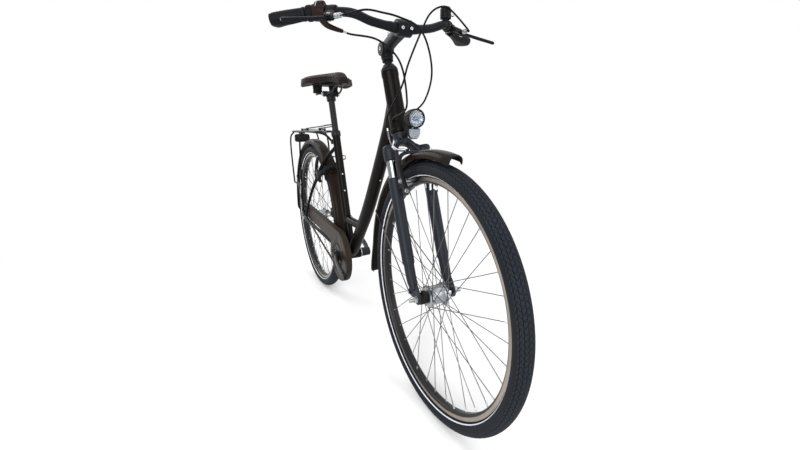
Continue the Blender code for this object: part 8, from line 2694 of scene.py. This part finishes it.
@dataclass
class FrameLock:
    """The C-shaped lock round the tyre and its turning shackle."""

    angle: float = math.radians(42.5)
    ring: float = 0.052
    centre_radius: float = 0.340

    def at(self, turn: float, radius: float, forward: float = 0.0) -> Vector:
        """A point of the lock's ring. The turn starts at the crown and grows towards the left."""
        outward = Vector((math.cos(self.angle), 0, math.sin(self.angle)))
        ahead = Vector((math.sin(self.angle), 0, -math.cos(self.angle)))
        across = outward * (radius * math.cos(turn)) + Y * (radius * math.sin(turn))
        return polar(REAR_AXLE, self.centre_radius, self.angle) + across + ahead * forward

    def build(self) -> None:
        """Builds the housing and the shackle."""
        body = Shape()
        count = 78
        half = 0.0100
        rings = []
        for k in range(count + 1):
            turn = math.radians(-130 + 260 * k / count)
            crown = 0.0240 * max(0.0, math.cos(2 * turn)) if abs(turn) < math.pi / 4 else 0.0
            edge = min(1.0, min(k, count - k) / 3 + 0.55)
            inner, outer = self.ring - 0.0058, self.ring + 0.0080 + crown
            middle, reach = (inner + outer) / 2, (outer - inner) / 2
            ring = []
            for c, s in rounded(20, 0.3):
                ring.append(self.at(turn, middle + reach * c * edge, half * s * edge))
            rings.append(ring)
        body.loft(rings)
        for degrees in (-52, 52, -112, 112):
            place = self.at(math.radians(degrees), self.ring + 0.0035, half - 0.0002)
            ahead = Vector((math.sin(self.angle), 0, -math.cos(self.angle)))
            body.cap_screw(place, ahead, 0.0036, 0.0014, mark=1)
        key = self.at(math.radians(6), self.ring + 0.0180, half)
        ahead = Vector((math.sin(self.angle), 0, -math.cos(self.angle)))
        body.rod(key - ahead * 0.002, key + ahead * 0.0012, 0.0068, 32, mark=1)
        body.block(key + ahead * 0.0012, (0.0012, 0.0014, 0.0070), ahead, STEER_UP, 0.4, mark=2)
        piece = body.build("frame_lock_surface", PLASTIC, BOLT, SPRING_RUBBER, angle=34)
        self._cut(piece)
        settle(piece, "frame", "plastic", "frame_lock")

        shackle = Shape()
        turns = [math.radians(-20 + 140 * k / 50) for k in range(51)]
        sizes = [0.0039] * 51
        sizes[0] = sizes[-1] = 0.0030
        shackle.tube([self.at(t, self.ring) for t in turns], sizes, 24)
        knob = math.radians(-14)
        shackle.rod(self.at(knob, self.ring), self.at(knob, self.ring, 0.0160), 0.0021, 16)
        low, high = self.at(knob, self.ring, 0.0106), self.at(knob, self.ring, 0.0199)
        shackle.rod(low, high, 0.0064, 28, edge=0.0010, mark=1)
        for k in range(16):
            turn = 2 * math.pi * k / 16
            axis = (high - low).normalized()
            across = axis.cross(Y).normalized()
            out = across * math.cos(turn) + Y * math.sin(turn)
            shackle.rod(
                low + axis * 0.0014 + out * 0.0061, high - axis * 0.0014 + out * 0.0061, 0.0007, 6, mark=1,
            )
        piece = shackle.build("lock_shackle_surface", CHROME, PLASTIC, angle=34)
        settle(piece, "lock_shackle", "chrome", "lock_shackle")

    def _cut(self, piece: bpy.types.Object) -> None:
        """Cuts the shackle's channel, the thumb piece's slot and the notch for the mudguard's bolt."""
        channel, slot, notch = Shape(), Shape(), Shape()
        turns = [math.radians(-136 + 272 * k / 68) for k in range(69)]
        channel.tube([self.at(t, self.ring) for t in turns], 0.0047, 24)
        rings = []
        for k in range(41):
            turn = math.radians(-20 + 130 * k / 40)
            corners = [(-0.0028, 0.0), (0.0028, 0.0), (0.0028, 0.02), (-0.0028, 0.02)]
            rings.append([self.at(turn, self.ring + radius, forward) for radius, forward in corners])
        slot.loft(rings)
        notch.rod(polar(REAR_AXLE, 0.360, BRIDGE_TURN), polar(REAR_AXLE, 0.430, BRIDGE_TURN), 0.0057, 28)
        cut_away(piece, PLASTIC, channel, slot, notch)


@dataclass
class Kickstand:
    """The side stand on the left chainstay."""

    def build(self) -> None:
        """Builds the leg with its head and rubber shoe."""
        shape = Shape()
        pivot = STAND_PIVOT
        shape.lathe([(-0.0045, 0.0045), (-0.0045, 0.0098), (-0.0038, 0.0105), (0.0073, 0.0105), (0.0080, 0.0098),
                     (0.0080, 0.0045)], pivot, Y, 40, ring=True)
        points = [
            pivot + Vector((-0.010, 0.0020, 0)), rear(0.040, 0.0935, -0.0195), rear(-0.100, 0.0955, -0.0200),
        ]
        points.append(rear(-0.190, 0.0985, -0.0200))
        shape.tube(smooth_path(points, 8), 0.0054, 24)
        tip = points[-1]
        shape.block(tip + Vector((-0.011, 0.0010, -0.0010)), (0.0238, 0.0148, 0.0148), power=0.5, mark=1)
        for k in range(4):
            place = tip + Vector((-0.0045 - 0.0042 * k, 0.0010, -0.0010))
            shape.block(place, (0.0012, 0.0150, 0.0150), power=0.5, mark=1)
        settle(
            shape.build("kickstand_surface", FRAME_PAINT, SPRING_RUBBER), "kickstand", "frame_black",
            "kickstand",
        )


@dataclass
class Cables:
    """The brake and shift cables with their end ferrules."""

    radius: float = 0.0025

    def build(self) -> None:
        """Builds each cable."""
        lever = Cockpit()
        self._front(lever)
        self._rear(lever)
        self._shifter()
        self._rear_end()

    def _sleeve(self, name: str, path: list[Vector]) -> bpy.types.Object:
        """A cable along a path, with a thicker ferrule at each end."""
        shape = Shape()
        shape.tube(path, self.radius, 14)
        for end, inward in ((path[0], path[1]), (path[-1], path[-2])):
            along = (inward - end).normalized()
            shape.rod(end, end + along * 0.0085, 0.0029, 18, mark=1)
        return shape.build(name + "_surface", CABLE, BOLT, angle=40)

    def _front(self, lever: Cockpit) -> None:
        """From the left lever to the front noodle."""
        start = FRONT_AXLE + mirrored(lever.barrel_end, 1)
        noodle = Brakes.noodle("front")
        top = noodle[-1] + (noodle[-1] - noodle[-2]).normalized() * (GAP * 2)
        away = (start - (FRONT_AXLE + mirrored(lever.lever_pivot, 1))).normalized()
        points = [start + away * (GAP * 3), start + away * 0.020, front(-0.1600, 0.1450, 0.7480)]
        points += [
            front(-0.1550, 0.1100, 0.7500), front(-0.1450, 0.0700, 0.7250), front(-0.1250, 0.0300, 0.6700),
        ]
        points += [front(-0.1080, -0.0150, 0.5920), front(-0.0980, -0.0400, 0.5350)]
        points += [top + STEER_UP * 0.0420 + Y * 0.006, top + STEER_UP * 0.0160, top]
        path = smooth_path(points, 10)
        piece = self._sleeve("front_brake_cable", path)
        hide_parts("front_brake_cable")
        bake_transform(piece)

    def _rear(self, lever: Cockpit) -> None:
        """From the right lever into the down tube."""
        start = FRONT_AXLE + mirrored(lever.barrel_end, -1)
        away = (start - (FRONT_AXLE + mirrored(lever.lever_pivot, -1))).normalized()
        port = front(-0.2480, 0.0150, 0.4600)
        points = [start + away * (GAP * 2.5), start + away * 0.020, front(-0.1350, -0.1150, 0.7120)]
        points += [
            front(-0.1250, -0.0750, 0.7080), front(-0.1150, -0.0350, 0.7000), front(-0.0980, 0.0100, 0.6780),
        ]
        points += [
            front(-0.0920, 0.0350, 0.6300), front(-0.1020, 0.0500, 0.5650), front(-0.1450, 0.0520, 0.5050),
        ]
        points += [front(-0.1950, 0.0400, 0.4760), port + Vector((0.0120, 0.0085, 0.0060)), port]
        points.append(port + Vector((-0.0100, -0.0060, -0.0070)))
        piece = self._sleeve("rear_brake_cable", smooth_path(points, 10))
        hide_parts("rear_brake_cable")
        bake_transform(piece)

    def _shifter(self) -> None:
        """From the twist shifter into the head tube."""
        place, _ = Handlebar.at(SHIFTER_PLACE)
        start = place + SHIFTER_OUTLET
        away = Vector((0.010, 0.034, -0.011)).normalized()
        port = fork(HEAD_BOTTOM + 0.036, -RAKE)
        points = [start + away * 0.0010, start + away * 0.020, front(-0.1500, -0.0850, 0.6520)]
        points += [
            front(-0.1130, -0.0550, 0.6180), front(-0.0930, -0.0400, 0.5780), front(-0.0850, -0.0330, 0.5140),
        ]
        points += [front(-0.0980, -0.0310, 0.4780), port + Vector((0.030, -0.0270, 0.008))]
        points += [port + Vector((0.0080, -0.0225, -0.0060)), port + Vector((-0.0040, -0.0200, -0.0090))]
        piece = self._sleeve("shifter_cable", smooth_path(points, 10))
        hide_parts("shifter_cable")
        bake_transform(piece)

    def _rear_end(self) -> None:
        """From the seat tube to the rear noodle."""
        noodle = Brakes.noodle("rear")
        leaving = (noodle[-1] - noodle[-2]).normalized()
        points = [noodle[-1] + leaving * (GAP * 4), noodle[-1] + leaving * 0.0120]
        points += [on_seat_tube(0.3960, -0.0489, 0.0240), on_seat_tube(0.3990, -0.0339, 0.0140)]
        points += [on_seat_tube(0.4000, -0.0229, 0.0030), on_seat_tube(0.4000, -0.0165)]
        piece = self._sleeve("rear_brake_cable_end", smooth_path(points, 10))
        settle(piece, "frame", "cable_sleeve", "rear_brake_cable_end")


@dataclass
class Studio:
    """The pale floor, the soft lamps, the world and the camera."""

    place: Vector = field(default_factory=lambda: Vector((1.4424, -0.5142, 0.7889)))
    right: Vector = field(default_factory=lambda: Vector((0.48236891, 0.87591727, -0.00944278)))
    up: Vector = field(default_factory=lambda: Vector((-0.1953837, 0.11809383, 0.97359081)))
    forward: Vector = field(default_factory=lambda: Vector((-0.85390014, 0.46778498, -0.22810475)))
    lens: float = 18.09
    shift_x: float = -0.0243
    shift_y: float = -0.0044

    def build(self) -> None:
        """Builds everything round the bike."""
        bpy.context.scene.view_settings.view_transform = "Standard"
        self._camera()
        self._floor()
        self._world()
        self._lamp("key", (3.2, -2.7, 1.9), 2.6, 165.0)
        self._lamp("fill", (3.4, 2.6, 2.2), 3.0, 70.0)
        self._lamp("back", (-3.2, -1.4, 2.8), 2.8, 85.0)
        self._lamp("top", (0.0, 0.4, 4.2), 3.6, 62.0)

    def _camera(self) -> None:
        """The camera where the photograph was taken."""
        data = bpy.data.cameras.new("camera")
        data.sensor_width, data.lens = 36.0, self.lens
        data.shift_x, data.shift_y = self.shift_x, self.shift_y
        data.clip_start, data.clip_end = 0.01, 60.0
        camera = in_scene("camera", data)
        turn = Matrix((self.right, self.up, -self.forward)).transposed()
        camera.matrix_world = Matrix.Translation(self.place) @ turn.to_4x4()
        bpy.context.scene.camera = camera

    @staticmethod
    def _seen(nodes: Nodes) -> bpy.types.NodeSocket:
        """1 for rays that see the background: from the camera, or through glass, or off metal."""
        path = nodes.add("ShaderNodeLightPath").outputs
        seen = path["Is Camera Ray"]
        for name in ("Is Glossy Ray", "Is Transmission Ray"):
            seen = nodes.math("MAXIMUM", seen, path[name])
        return seen

    def _floor(self) -> None:
        """A pale floor that keeps the shadow near the bike and turns white further out."""
        mesh = bpy.data.meshes.new("floor")
        work = bmesh.new()
        bmesh.ops.create_circle(work, cap_ends=True, radius=14.0, segments=64)
        work.to_mesh(mesh)
        work.free()
        floor = in_scene("floor", mesh)
        material = bpy.data.materials.new("floor_white")
        material.use_nodes = True
        material.node_tree.nodes.clear()
        nodes = Nodes(material.node_tree)
        where = nodes.add("ShaderNodeTexCoord").outputs["Object"]
        grain = nodes.add("ShaderNodeTexNoise", {"Vector": where, "Scale": 3.0})
        pale = nodes.add("ShaderNodeMapRange", {"Value": grain, "To Min": 0.90, "To Max": 0.93})
        length = nodes.add("ShaderNodeVectorMath", {0: where}, operation="LENGTH").outputs["Value"]
        takes = {"Value": length, "From Min": 1.1, "From Max": 2.6}
        far = nodes.add("ShaderNodeMapRange", takes, interpolation_type="SMOOTHSTEP")
        takes = {
            "Fac": nodes.math("MULTIPLY", far, self._seen(nodes)),
            1: nodes.add("ShaderNodeBsdfDiffuse", {"Color": pale}),
            2: nodes.add("ShaderNodeEmission"),
        }
        nodes.add("ShaderNodeOutputMaterial", {"Surface": nodes.add("ShaderNodeMixShader", takes)})
        mesh.materials.append(material)

    def _world(self) -> None:
        """An even soft surround that the camera, metal and glass see as white."""
        world = bpy.data.worlds.new("surround")
        world.use_nodes = True
        nodes = Nodes(world.node_tree)
        back = world.node_tree.nodes["Background"]
        takes = {"Value": self._seen(nodes), "To Min": 0.50, "To Max": 1.0}
        nodes.feed(back.inputs["Color"], (1, 1, 1, 1))
        nodes.feed(back.inputs["Strength"], nodes.add("ShaderNodeMapRange", takes))
        bpy.context.scene.world = world

    @staticmethod
    def _lamp(name: str, place: tuple[float, float, float], size: float, power: float) -> None:
        """A large square soft lamp that points at the middle of the bike."""
        data = bpy.data.lights.new(name, "AREA")
        data.shape, data.size, data.energy = "SQUARE", size, power
        lamp = in_scene(name, data)
        lamp.location = place
        aim = Vector((0, 0, 0.5)) - Vector(place)
        lamp.rotation_euler = aim.to_track_quat("-Z", "Y").to_euler()


def main() -> None:
    """Builds the studio and the bike, and logs which body each piece rides on."""
    logging.basicConfig(level=logging.INFO, format="%(name)s: %(message)s")
    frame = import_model()
    Studio().build()
    front_wheel = Wheel("front", "front_wheel", FRONT_AXLE, 0.0262, 0.0220, 0.0320, 0.0260, 9)
    rear_wheel = Wheel("rear", "rear_wheel", REAR_AXLE, 0.0330, 0.0290, 0.0400, 0.0330, 9, REAR_PHASE)
    for part in (
        front_wheel, rear_wheel, AxleParts(), Fork(), MainFrame(), Cockpit(), Saddle(), Drivetrain(), Mudguards(),
        Carrier(), Brakes(), Lights(), FrameLock(), Kickstand(), Cables(),
    ):
        part.build()


if __name__ == "__main__":
    main()
